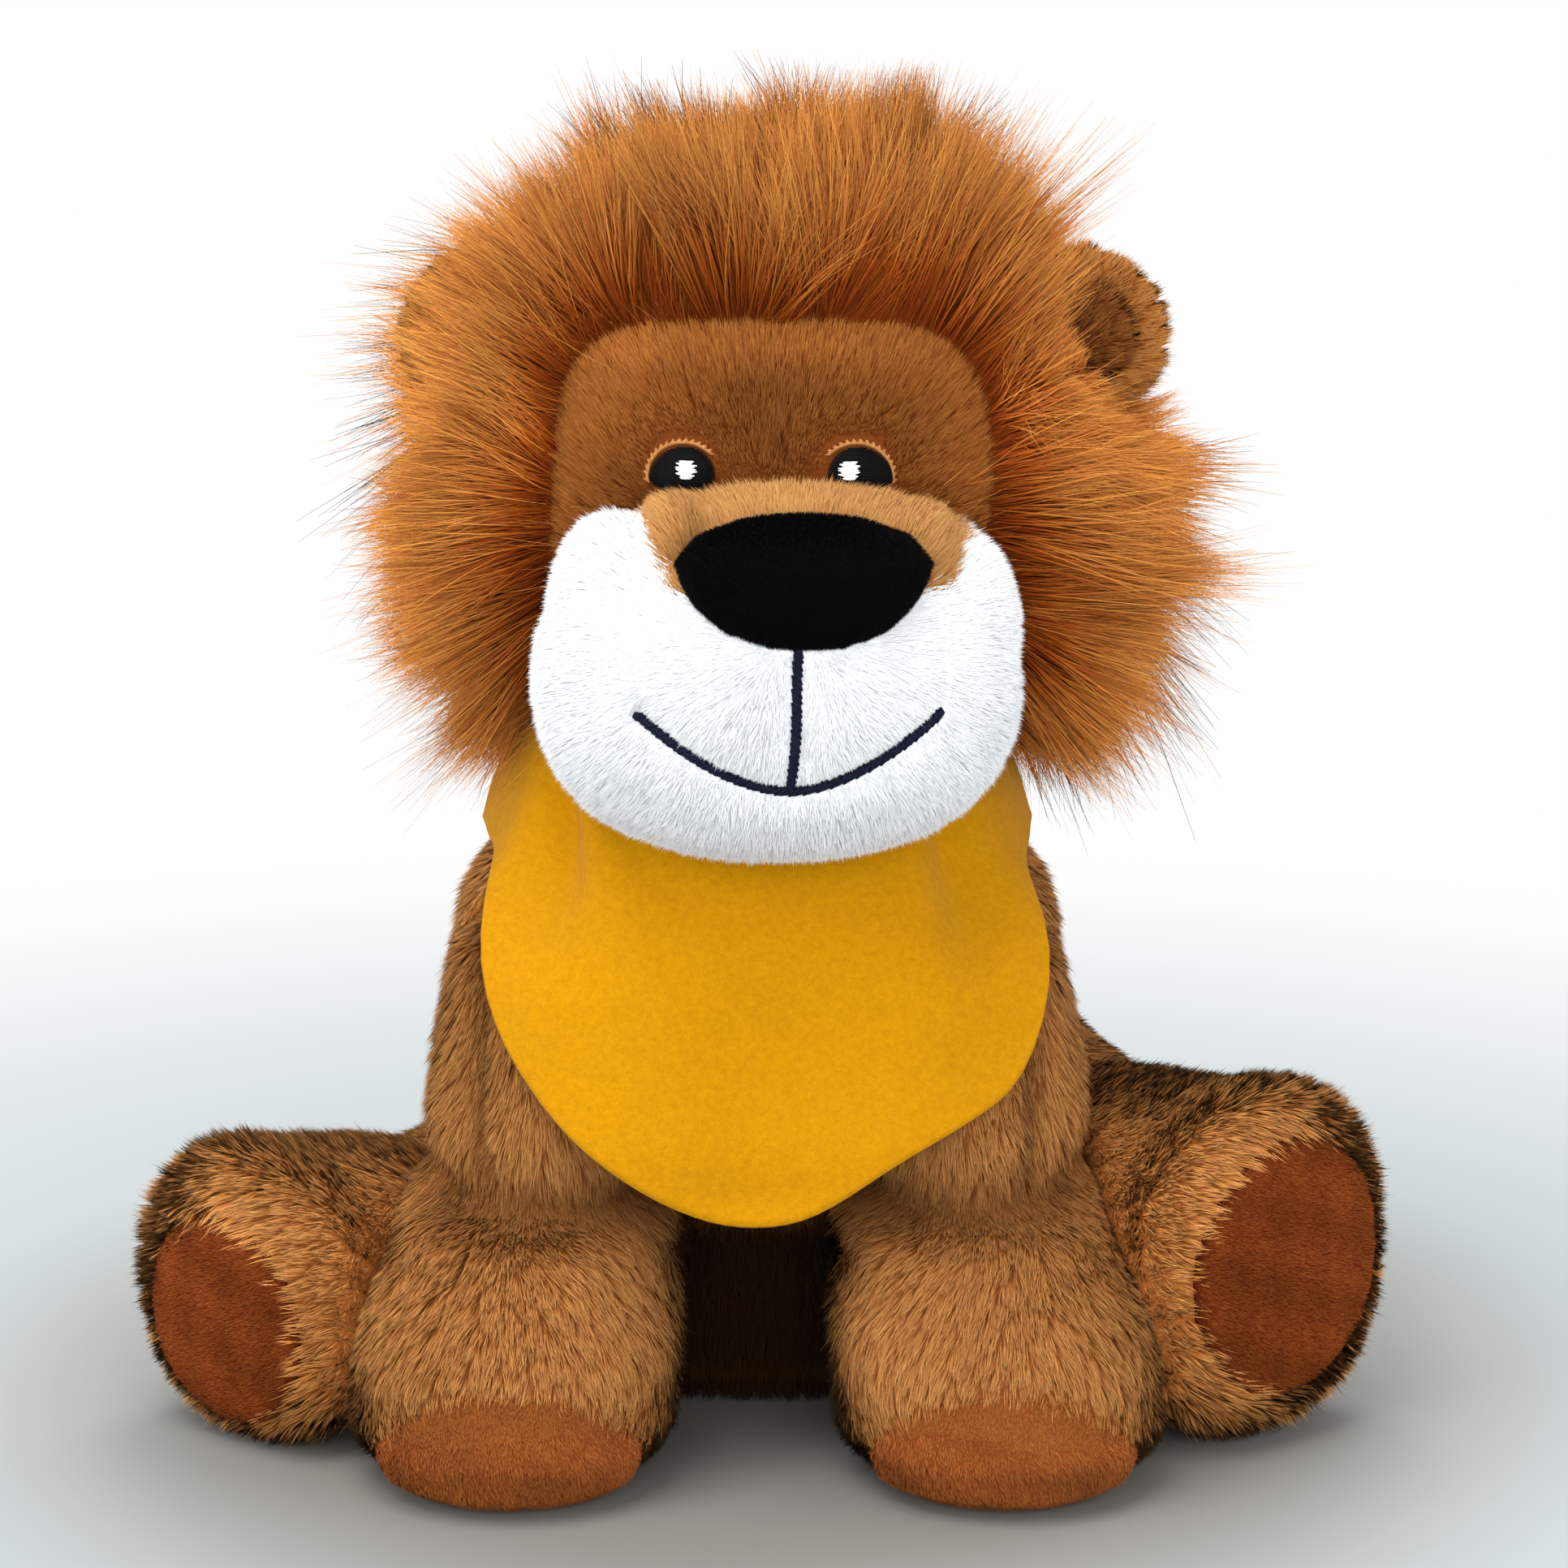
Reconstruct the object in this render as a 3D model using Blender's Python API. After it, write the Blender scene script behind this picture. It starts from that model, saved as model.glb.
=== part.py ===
"""A sitting plush lion with a felt neckerchief, as its sewn covers, stuffing, pads, mane panels and stitching.

Metres, +Z up. The lion faces -Y and its left side is +X. The origin lies on the flat that it sits on.
Every stuffed shape is a Form: rounded rings threaded on its own Z. A Form can be drawn larger or smaller
by an outset, so a cover, its lining space, its stuffing and the patches sewn on it share one description.
"""

import math
from dataclasses import dataclass, replace

import bmesh
import bpy
from mathutils import Matrix, Vector

LEFT = 1
RIGHT = -1
SIDE_NAMES = {LEFT: "left", RIGHT: "right"}

# Cloth and fits
SEAM_GAP = 0.0003
SWING_GAP = 0.0006
PILE_CLOTH = 0.0018
FELT = 0.0015
PAD_CLOTH = 0.0014
STITCH_PROUD = 0.0011
OVERRUN = 0.010
SEAT_CUT = 0.0005

# Torso
BODY_X = -0.001
TORSO_Y = 0.008
TORSO_HEIGHT = 0.113
TORSO_HALF_WIDTH = 0.0505
TORSO_HALF_DEPTH = 0.045
TORSO_SEAT_ROUND = 0.026
TORSO_TOP_ROUND = 0.026

# Pellet bag in the seat
BAG_Y = -0.002
BAG_BASE_Z = 0.0042
BAG_HALF_WIDTH = 0.015
BAG_HALF_DEPTH = 0.014
BAG_HEIGHT = 0.015

# Forelegs
SHOULDER_X = 0.0305
SHOULDER_Y = -0.025
SHOULDER_DROP = 0.039
SHOULDER_Z = TORSO_HEIGHT - SHOULDER_DROP
SHOULDER_RADIUS = 0.0195
FORELEG_HALF_WIDTH = 0.0205
FORELEG_HALF_DEPTH = 0.020
PAW_ROUND = 0.010
PAW_PAD_HALF_WIDTH = 0.021
PAW_PAD_HALF_HEIGHT = 0.0115
PAW_PAD_Z = 0.0085
PAW_PAD_OUT = 0.009
PAW_PAD_BACK_Y = 2 * SHOULDER_Y
PAW_PAD_FRONT_Y = 2 * PAW_PAD_BACK_Y

# Hind legs
HIP_X = 0.036
HIP_Y = 0.024
HIND_SPLAY_DEGREES = 40.0
HIND_REACH = 0.081
LEFT_THIGH_RADIUS = 0.029
RIGHT_THIGH_RADIUS = 0.0255
THIGH_RADIUS = {LEFT: LEFT_THIGH_RADIUS, RIGHT: RIGHT_THIGH_RADIUS}
LEFT_THIGH_HALF_HEIGHT = 0.0320
RIGHT_THIGH_HALF_HEIGHT = 0.0215
THIGH_HALF_HEIGHT = {LEFT: LEFT_THIGH_HALF_HEIGHT, RIGHT: RIGHT_THIGH_HALF_HEIGHT}
LEFT_FOOT_HALF_WIDTH = 0.0245
RIGHT_FOOT_HALF_WIDTH = 0.0220
FOOT_HALF_WIDTH = {LEFT: LEFT_FOOT_HALF_WIDTH, RIGHT: RIGHT_FOOT_HALF_WIDTH}
LEFT_FOOT_HALF_HEIGHT = 0.0280
RIGHT_FOOT_HALF_HEIGHT = 0.0232
FOOT_HALF_HEIGHT = {LEFT: LEFT_FOOT_HALF_HEIGHT, RIGHT: RIGHT_FOOT_HALF_HEIGHT}
LEFT_FOOT_LIFT = 0.003
RIGHT_FOOT_LIFT = 0.0015
FOOT_LIFT = {LEFT: LEFT_FOOT_LIFT, RIGHT: RIGHT_FOOT_LIFT}
FOOT_ROUND = 0.010
FOOT_START_SHARE = 0.86
LEFT_SOLE_HALF_WIDTH = 0.0205
RIGHT_SOLE_HALF_WIDTH = 0.0170
SOLE_HALF_WIDTH = {LEFT: LEFT_SOLE_HALF_WIDTH, RIGHT: RIGHT_SOLE_HALF_WIDTH}
LEFT_SOLE_HALF_HEIGHT = 0.0215
RIGHT_SOLE_HALF_HEIGHT = 0.0175
SOLE_HALF_HEIGHT = {LEFT: LEFT_SOLE_HALF_HEIGHT, RIGHT: RIGHT_SOLE_HALF_HEIGHT}
LEFT_SOLE_Z = 0.0310
RIGHT_SOLE_Z = 0.0215
SOLE_Z = {LEFT: LEFT_SOLE_Z, RIGHT: RIGHT_SOLE_Z}

# Tail
TAIL_ROOT_Y = 0.0512
TAIL_ROOT_Z = 0.013
TAIL_ROOT_RADIUS = 0.0065
TAIL_LENGTH = 0.062
TAIL_TURN_DEGREES = 38.0
TUFT_LENGTH = 0.034
TUFT_RADIUS = 0.0095
TUFT_SEAT = 0.008
TAIL_TIP_ROUND = 0.004
TAIL_NEAR_END_SHARE = 0.85
TUFT_ROOT_ROUND = 0.006
TUFT_TIP_ROUND = 0.018
FLOOR_GAP = 0.0006

# Neck
NECK_X = 0.0012
NECK_Y = -0.001
NECK_SINK = 0.001
NECK_Z = TORSO_HEIGHT - NECK_SINK
NECK_RADIUS = 0.024

# Head
HEAD_X = 0.0035
HEAD_Y = -0.005
HEAD_RISE = 0.002
HEAD_BASE_Z = NECK_Z + HEAD_RISE
HEAD_HEIGHT = 0.084
HEAD_HALF_WIDTH = 0.042
HEAD_HALF_DEPTH = 0.041
HEAD_CHIN_ROUND = 0.030
HEAD_CROWN_ROUND = 0.034

# Muzzle, bridge and nose
MUZZLE_Y = -0.022
MUZZLE_UP = 0.0165
MUZZLE_Z = HEAD_BASE_Z + MUZZLE_UP
MUZZLE_LENGTH = 0.052
MUZZLE_HALF_WIDTH = 0.0380
MUZZLE_HALF_HEIGHT = 0.0255
MUZZLE_BACK_ROUND = 0.006
MUZZLE_FRONT_ROUND = 0.025
CHIN_ROOM = 0.0060
BRIDGE_SHIFT = 0.002
BRIDGE_Y = -0.028
BRIDGE_UP = 0.0355
BRIDGE_Z = HEAD_BASE_Z + BRIDGE_UP
BRIDGE_LENGTH = 0.034
BRIDGE_HALF_WIDTH = 0.029
BRIDGE_HALF_HEIGHT = 0.0115
BRIDGE_BACK_ROUND = 0.006
BRIDGE_FRONT_ROUND = 0.024
NOSE_SHIFT = 0.003
NOSE_Y = -0.0685
NOSE_UP = 0.0255
NOSE_BASE_Z = HEAD_BASE_Z + NOSE_UP
NOSE_HEIGHT = 0.0205
NOSE_HALF_WIDTH = 0.0195
NOSE_HALF_DEPTH = 0.0085
NOSE_TIP_ROUND = 0.004
NOSE_TOP_ROUND = 0.007

# Eyes and stitching
EYE_MIDDLE_X = 0.0013
EYE_SPACING = 0.0270
EYE_UP = 0.0490
EYE_Z = HEAD_BASE_Z + EYE_UP
EYE_HALF_WIDTH = 0.0050
EYE_DOME = 0.0058
EYE_SAG = 0.0020
GLINT_RADIUS = 0.0011
GLINT_SHIFT = 0.0004
GLINT_UP = 0.0017
LID_WIDTH = 0.0012
LID_RISE = 0.0006
LID_OPEN_DEGREES = 12.0
MOUTH_X = 0.0044
MOUTH_HALF_WIDTH = 0.0240
MOUTH_UP = 0.0038
MOUTH_LOW_Z = HEAD_BASE_Z + MOUTH_UP
MOUTH_RISE = 0.0125
MOUTH_LINE = 0.0016
MOUTH_BEND = 1.7
PHILTRUM_TOP_X = 0.0059
PHILTRUM_TOP_UP = 0.0245
PHILTRUM_TOP_Z = HEAD_BASE_Z + PHILTRUM_TOP_UP
PHILTRUM_LINE = 0.0016

# Mane
MANE_FRONT_Y = -0.042
MANE_UP = 0.037
MANE_Z = HEAD_BASE_Z + MANE_UP
MANE_DEPTH = 0.100
MANE_RADIUS = 0.0695
MANE_FRONT_ROUND_SHARE = 0.41
MANE_BACK_ROUND_SHARE = 0.47
MANE_FRONT_FLATNESS = 3.2
MANE_SPLIT_Y = 0.008
NAPE_DROP = 0.0015
MANE_NAPE_Z = HEAD_BASE_Z - NAPE_DROP
MANE_MUZZLE_ROOM = 0.0025
RUFF_LOW_DEGREES = -39.0
EAR_LOW_DEGREES = 11.0
EAR_HIGH_DEGREES = 50.0
EAR_ROOM_Y = 0.019
NECK_ROOM_HALF_WIDTH = 0.0495
NECK_ROOM_HALF_DEPTH = 0.0485
NECK_ROOM_DROP = 0.034
NECK_ROOM_BASE_Z = HEAD_BASE_Z - NECK_ROOM_DROP
NECK_ROOM_HEIGHT = 0.044
NECK_ROOM_ROUND = 0.018

# Ears
EAR_TILT_DEGREES = 31.0
EAR_Y = 0.0
EAR_LENGTH = 0.0275
EAR_HALF_WIDTH = 0.0160
EAR_HALF_THICKNESS = 0.0036
EAR_TIP_ROUND = 0.014
LINING_LENGTH = 0.018
LINING_HALF_WIDTH = 0.0112
LINING_HALF_THICKNESS = 0.0026
LINING_FORWARD = 0.0021
LINING_START = 0.0045
LINING_ROUND = 0.0085

# Neckerchief
COLLAR_LIFT = 0.0005
COLLAR_HOLE = 0.0268
COLLAR_FRONT_DROP = 0.0215
COLLAR_BACK_DROP = 0.0165
COLLAR_FRONT_Z = TORSO_HEIGHT - COLLAR_FRONT_DROP
COLLAR_BACK_Z = TORSO_HEIGHT - COLLAR_BACK_DROP
FLAP_HINGE_Y = -0.0472
FLAP_LAP = 0.0020
FLAP_LENGTH = 0.0510
FLAP_HINGE_Z = COLLAR_FRONT_Z + FLAP_LAP
FLAP_HALF_WIDTH = 0.0415
FLAP_SWING_OUT = 0.0075
FLAP_WRAP = 0.0085
FLAP_FOLD = 0.0010
FLAP_FOLD_WAVES = 1.5
FLAP_HANG_SHARE = 0.5
FLAP_TIP_CROWDING = 1.15
KNOT_UP = 0.0010
KNOT_Z = COLLAR_BACK_Z + KNOT_UP
KNOT_HALF_WIDTH = 0.0075
KNOT_HALF_DEPTH = 0.0060
KNOT_HEIGHT = 0.0130
KNOT_ROUND = 0.006
KNOT_END_LENGTH = 0.032
KNOT_END_HALF_WIDTH = 0.0075
KNOT_END_HALF_THICKNESS = 0.0013
KNOT_END_ROUND = 0.003
KNOT_END_TILT_DEGREES = 14.0
KNOT_END_LEAN_DEGREES = 24.0

# Facets and search
REACH_HALVINGS = 30
BIG_SIDES = 26
LIMB_SIDES = 20
SMALL_SIDES = 14
INNER_SIDES = 16
INNER_CAP_RINGS = 3
INNER_BODY_RINGS = 4
EXACT_ROUND_SIDES = 22
THIN_SIDES = 12
EYE_POINTS = 20
LID_POINTS = 14
GLINT_POINTS = 10
SMILE_STEPS = 18
PHILTRUM_STEPS = 3
SECTOR_STEPS = 8
FLAP_ROWS = 10
FLAP_COLUMNS = 10

# Swell of each form, as rows of (along, width, depth, sideways, forward).
# Along is a share of the form's length. Width and sideways are shares of its half width, and depth and
# forward are shares of its half depth.
TORSO_SWELL_SHARES = (
    (0.00, 0.90, 0.88, 0.0, 0.00),
    (0.22, 0.96, 0.93, 0.0, 0.00),
    (0.40, 0.97, 0.92, 0.0, -0.03),
    (0.53, 0.99, 0.96, 0.0, -0.12),
    (0.66, 1.00, 1.02, 0.0, -0.23),
    (0.77, 0.96, 1.00, 0.0, -0.25),
    (1.00, 0.84, 0.88, 0.0, -0.22),
)
PAW_TO_SHOULDER_SHARES = (
    (0.00, 1.10, 1.15, 0.44, -1.25),
    (0.11, 1.20, 1.24, 0.44, -1.25),
    (0.23, 1.14, 1.12, 0.38, -1.08),
    (0.37, 1.02, 1.00, 0.26, -0.68),
    (0.56, 1.00, 0.99, 0.15, -0.30),
    (0.70, 0.97, 0.98, 0.05, -0.07),
)
# Along a hind leg: how far its section has become the foot's, and how much of its height it keeps.
THIGH_TO_FOOT_SHARES = (
    (0.50, 0.45, 0.88),
    (0.68, 0.86, 0.97),
)
HEAD_SWELL_SHARES = (
    (0.00, 0.92, 0.92, 0.0, 0.03),
    (0.45, 1.00, 1.00, 0.0, 0.00),
    (0.70, 0.99, 0.98, 0.0, 0.00),
    (1.00, 0.93, 0.93, 0.0, 0.04),
)
MUZZLE_SWELL_SHARES = (
    (0.00, 0.90, 0.86, 0.0, 0.00),
    (0.45, 1.00, 1.00, 0.0, 0.00),
    (1.00, 0.99, 0.97, 0.0, 0.00),
)
NOSE_SWELL_SHARES = (
    (0.00, 0.45, 0.72, 0.0, 0.00),
    (0.20, 0.68, 0.88, 0.0, 0.00),
    (0.42, 0.89, 0.97, 0.0, 0.00),
    (0.68, 1.00, 1.00, 0.0, 0.00),
    (1.00, 0.94, 0.86, 0.0, 0.12),
)
MANE_SWELL_SHARES = (
    (0.00, 1.00, 0.98, 0.0, 0.00),
    (0.45, 1.00, 1.00, 0.0, 0.00),
    (1.00, 0.92, 0.96, 0.0, -0.05),
)
EAR_SWELL_SHARES = (
    (0.10, 0.70, 1.00, 0.0, 0.00),
    (0.35, 0.94, 1.00, 0.0, 0.10),
    (0.62, 1.00, 0.92, 0.0, 0.05),
    (1.00, 0.94, 0.80, 0.0, -0.25),
)
TAIL_SWELL_SHARES = (
    (0.10, 1.00, 1.00, 0.0, 0.00),
    (0.30, 0.82, 0.82, 0.0, -0.55),
    (0.65, 0.76, 0.76, 0.8, -1.08),
    (1.00, 0.70, 0.70, 2.6, -1.14),
)
TUFT_SWELL_SHARES = (
    (0.00, 0.60, 0.60, 0.0, 0.00),
    (0.45, 1.00, 1.00, 0.0, 0.00),
    (1.00, 0.70, 0.70, 0.0, -0.10),
)
KNOT_END_SWELL_SHARES = (
    (0.00, 0.45, 1.00, 0.0, 0.00),
    (0.55, 1.00, 1.00, 0.0, 0.00),
    (1.00, 0.55, 1.00, 0.0, 0.00),
)
EVEN_SHARES = ((0.00, 1.00, 1.00, 0.0, 0.00), (1.00, 1.00, 1.00, 0.0, 0.00))

# Half width of the neckerchief's flap down its length, as a share of its widest half width.
FLAP_OUTLINE_SHARES = (
    (0.00, 0.80),
    (0.09, 0.96),
    (0.19, 1.00),
    (0.42, 0.92),
    (0.66, 0.68),
    (0.85, 0.41),
    (0.94, 0.23),
    (1.00, 0.03),
)

# How fully the flap wraps round the chest down its length.
FLAP_WRAP_SHARES = ((0.0, 0.4), (0.4, 1.0), (1.0, 1.0))

# Rounding of an eased limb against what it swings beside, as a share of its half width.
LIMB_EASE_SHARE = 0.09
PELLET_FLAT = 2.6


def smooth_share(rows, along, column):
    """A column of the rows at a share of the length, on a smooth curve that never overshoots a row."""
    if along <= rows[0][0]:
        return rows[0][column]
    if along >= rows[-1][0]:
        return rows[-1][column]
    climbs = [(high[column] - low[column]) / (high[0] - low[0]) for low, high in zip(rows, rows[1:])]
    slopes = [0.0]
    for before, after in zip(climbs, climbs[1:]):
        same_way = before * after > 0
        slopes.append(2 * before * after / (before + after) if same_way else 0.0)
    slopes.append(0.0)
    for index, (low, high) in enumerate(zip(rows, rows[1:])):
        if along <= high[0]:
            span = high[0] - low[0]
            share = (along - low[0]) / span
            rise = share * share * (3 - 2 * share)
            start = share * (1 - share) ** 2 * span * slopes[index]
            finish = share * share * (share - 1) * span * slopes[index + 1]
            return low[column] + rise * (high[column] - low[column]) + start + finish
    return rows[-1][column]


@dataclass(frozen=True)
class Form:
    """A stuffed shape: rounded rings threaded on its own Z, closed by a rounded cap at each end."""

    length: float
    half_width: float
    half_depth: float
    start_round: float
    end_round: float
    swell_shares: tuple = EVEN_SHARES
    sides: int = LIMB_SIDES
    cap_rings: int = 4
    body_rings: int = 5
    squareness: float = 2.0
    start_flatness: float = 2.0
    end_flatness: float = 2.0

    def stations(self):
        """(share of the length, share of the full ring) for each ring, from the start pole to the end pole."""
        start = self.start_round / self.length
        end = 1 - self.end_round / self.length
        found = []
        for index in range(self.cap_rings):
            turn = math.pi / 2 * index / self.cap_rings
            rise = start * (1 - math.cos(turn) ** (2 / self.start_flatness))
            found.append((rise, math.sin(turn) ** (2 / self.start_flatness)))
        for index in range(self.body_rings + 1):
            found.append((start + (end - start) * index / self.body_rings, 1.0))
        for index in reversed(range(self.cap_rings)):
            turn = math.pi / 2 * index / self.cap_rings
            drop = (1 - end) * (1 - math.cos(turn) ** (2 / self.end_flatness))
            found.append((1 - drop, math.sin(turn) ** (2 / self.end_flatness)))
        return found

    def ring(self, along, full):
        """(height, sideways, forward, half width, half depth) of the ring at a share of the length."""
        width, depth, sideways, forward = (smooth_share(self.swell_shares, along, c) for c in (1, 2, 3, 4))
        return (
            along * self.length,
            sideways * self.half_width,
            forward * self.half_depth,
            full * width * self.half_width,
            full * depth * self.half_depth,
        )

    def rings(self, outset):
        """Every ring, moved square to the form's profile by the outset."""
        bare = [self.ring(along, full) for along, full in self.stations()]
        last = len(bare) - 1
        grown = []
        for index, (height, x, y, width, depth) in enumerate(bare):
            below = bare[max(index - 1, 0)]
            above = bare[min(index + 1, last)]
            rise = above[0] - below[0]
            spread = (above[3] + above[4] - below[3] - below[4]) / 2
            if index in (0, last):
                rise, spread = 0.0, 1.0 if index == 0 else -1.0
            slant = math.hypot(rise, spread)
            grow = outset * rise / slant
            grown.append((height - outset * spread / slant, x, y, width + grow, depth + grow))
        return grown

    def ring_points(self, ring):
        """The corners of one ring, or its single point at a pole."""
        height, x, y, width, depth = ring
        if min(width, depth) <= 0:
            return [(x, y, height)]
        points = []
        for index in range(self.sides):
            turn = 2 * math.pi * index / self.sides
            across = math.copysign(abs(math.cos(turn)) ** (2 / self.squareness), math.cos(turn))
            along = math.copysign(abs(math.sin(turn)) ** (2 / self.squareness), math.sin(turn))
            points.append((x + width * across, y + depth * along, height))
        return points

    def mesh(self, outset=0.0):
        """The closed mesh of the form, in its own frame."""
        work = bmesh.new()
        loops = []
        for ring in self.rings(outset):
            loops.append([work.verts.new(point) for point in self.ring_points(ring)])
        for low, high in zip(loops, loops[1:]):
            for index in range(self.sides):
                step = index + 1
                corners = (
                    low[index % len(low)],
                    low[step % len(low)],
                    high[step % len(high)],
                    high[index % len(high)],
                )
                work.faces.new(list(dict.fromkeys(corners)))
        return finished_mesh(work)

    def inner(self):
        """The same form with fewer facets, for what lies inside it."""
        return replace(self, sides=INNER_SIDES, cap_rings=INNER_CAP_RINGS, body_rings=INNER_BODY_RINGS)

    def holds(self, point):
        """Whether a point in the form's own frame is inside it."""
        share = point.z / self.length
        start = self.start_round / self.length
        end = 1 - self.end_round / self.length
        if not 0 < share < 1:
            return False
        full = 1.0
        if share < start:
            full = (1 - (1 - share / start) ** self.start_flatness) ** (1 / self.start_flatness)
        if share > end:
            full = (1 - ((share - end) / (1 - end)) ** self.end_flatness) ** (1 / self.end_flatness)
        _, x, y, width, depth = self.ring(share, full)
        across = abs(point.x - x) / width
        along = abs(point.y - y) / depth
        return across**self.squareness + along**self.squareness < 1

    def reach(self, start, direction, farthest):
        """How far the form's surface lies from a point inside it, in one direction of its own frame."""
        near, far = 0.0, farthest
        for _ in range(REACH_HALVINGS):
            middle = (near + far) / 2
            if self.holds(start + direction * middle):
                near = middle
            else:
                far = middle
        return near


def finished_mesh(work):
    """A mesh from a bmesh, shaded smooth, with its faces pointing outwards."""
    bmesh.ops.recalc_face_normals(work, faces=work.faces)
    mesh = bpy.data.meshes.new("form")
    work.to_mesh(mesh)
    work.free()
    mesh.shade_smooth()
    return mesh


def clear_scene():
    """Removes whatever the scene holds."""
    for thing in list(bpy.data.objects):
        bpy.data.objects.remove(thing, do_unlink=True)


def linear(colour):
    """A colour as seen on a screen, from 0 to 255, as the shader's linear values."""
    shares = [value / 255 for value in colour]
    return [s / 12.92 if s <= 0.04045 else ((s + 0.055) / 1.055) ** 2.4 for s in shares] + [1.0]


def cloth(name, colour, roughness=0.9):
    """A cloth's material."""
    material = bpy.data.materials.get(name)
    if material is None:
        material = bpy.data.materials.new(name)
        material.use_nodes = True
        surface = material.node_tree.nodes["Principled BSDF"]
        surface.inputs["Base Color"].default_value = linear(colour)
        surface.inputs["Roughness"].default_value = roughness
        surface.inputs["Metallic"].default_value = 0.0
        material.diffuse_color = linear(colour)
    return material


def brown_pile():
    return cloth("brown_short_pile", (165, 115, 70))


def face_pile():
    return cloth("face_short_pile", (150, 98, 55))


def tan_pile():
    return cloth("tan_short_pile", (212, 165, 112))


def white_pile():
    return cloth("white_short_pile", (243, 245, 247))


def mane_pile():
    return cloth("rust_long_pile", (160, 85, 30))


def ear_pile():
    return cloth("ear_lining_pile", (120, 66, 30))


def pad_cloth():
    return cloth("rust_pad_cloth", (168, 86, 44))


def sole_cloth():
    return cloth("dark_rust_sole_cloth", (140, 68, 32))


def nose_velour():
    return cloth("black_velour", (12, 13, 15), 0.8)


def black_thread():
    return cloth("black_thread", (14, 15, 18), 0.55)


def navy_thread():
    return cloth("navy_thread", (24, 30, 48), 0.7)


def white_thread():
    return cloth("white_thread", (235, 238, 242), 0.6)


def tan_thread():
    return cloth("tan_thread", (198, 150, 100), 0.7)


def mustard_felt():
    return cloth("mustard_felt", (226, 168, 16))


def white_fibre():
    return cloth("white_fibre_filling", (236, 234, 226))


def pellet_cloth():
    return cloth("calico_bag", (214, 204, 182))


class Body:
    """A group of pieces that move together, under an empty that stands on their joint's axis."""

    def __init__(self, name, pivot=(0.0, 0.0, 0.0), parent=None):
        self.pivot = Matrix.Translation(Vector(pivot))
        self.empty = bpy.data.objects.new(name + "_axis", None)
        bpy.context.scene.collection.objects.link(self.empty)
        if parent is not None:
            self.empty.parent = parent.empty
            self.empty.matrix_parent_inverse = parent.pivot.inverted()
        self.empty.matrix_basis = self.pivot

    def add(self, name, mesh, place, material):
        """Adds one piece to the body and returns its object."""
        piece = bpy.data.objects.new(name, mesh)
        bpy.context.scene.collection.objects.link(piece)
        piece.parent = self.empty
        piece.matrix_parent_inverse = self.pivot.inverted()
        piece.matrix_basis = place
        mesh.name = name
        mesh.materials.append(material)
        return piece


def cutter(mesh, place):
    """A helper object that shapes other pieces and isn't one itself."""
    helper = bpy.data.objects.new("cutter", mesh)
    bpy.context.scene.collection.objects.link(helper)
    helper.matrix_basis = place
    helper.hide_render = True
    helper.display_type = "WIRE"
    return helper


def shaped(piece, operation, helper):
    """Adds an exact Boolean to a piece."""
    modifier = piece.modifiers.new(operation.lower(), "BOOLEAN")
    modifier.operation = operation
    modifier.solver = "EXACT"
    modifier.object = helper
    return piece


def cut(piece, *helpers):
    for helper in helpers:
        shaped(piece, "DIFFERENCE", helper)
    return piece


def keep(piece, *helpers):
    for helper in helpers:
        shaped(piece, "INTERSECT", helper)
    return piece


def box_mesh(low, high):
    """A closed box between two corners."""
    work = bmesh.new()
    bmesh.ops.create_cube(work, size=1.0)
    middle = [(a + b) / 2 for a, b in zip(low, high)]
    sizes = [b - a for a, b in zip(low, high)]
    bmesh.ops.transform(work, matrix=Matrix.Translation(middle) @ Matrix.Diagonal((*sizes, 1.0)), verts=work.verts)
    return finished_mesh(work)


def prism_mesh(outline, low, high):
    """An outline in X and Z, drawn out along Y from low to high."""
    work = bmesh.new()
    face = work.faces.new([work.verts.new((x, low, z)) for x, z in outline])
    drawn = bmesh.ops.extrude_face_region(work, geom=[face])
    moved = [item for item in drawn["geom"] if isinstance(item, bmesh.types.BMVert)]
    bmesh.ops.translate(work, verts=moved, vec=(0.0, high - low, 0.0))
    return finished_mesh(work)


def ellipse(middle_x, middle_z, half_width, half_height, count=EXACT_ROUND_SIDES):
    """An ellipse's outline in X and Z."""
    turns = [2 * math.pi * index / count for index in range(count)]
    return [(middle_x + half_width * math.cos(t), middle_z + half_height * math.sin(t)) for t in turns]


def ribbon(line, width):
    """The outline of a line of stitching of even width."""
    one_side, other_side = [], []
    for index, (x, z) in enumerate(line):
        before = line[max(index - 1, 0)]
        after = line[min(index + 1, len(line) - 1)]
        run_x, run_z = after[0] - before[0], after[1] - before[1]
        slant = math.hypot(run_x, run_z)
        off_x, off_z = -run_z / slant * width / 2, run_x / slant * width / 2
        one_side.append((x + off_x, z + off_z))
        other_side.append((x - off_x, z - off_z))
    return one_side + other_side[::-1]


def turned(origin, forward_axis, up_axis):
    """A placement whose own Z points along forward_axis and whose own Y points along up_axis."""
    z_axis = Vector(forward_axis).normalized()
    y_axis = Vector(up_axis).normalized()
    x_axis = y_axis.cross(z_axis)
    turn = Matrix((x_axis, y_axis, z_axis)).transposed().to_4x4()
    return Matrix.Translation(Vector(origin)) @ turn


def below_floor():
    """Cuts the flats that the toy sits on."""
    reach = TORSO_HEIGHT + HIND_REACH
    return cutter(box_mesh((-reach, -reach, -OVERRUN), (reach, reach, 0.0)), Matrix.Identity(4))


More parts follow.
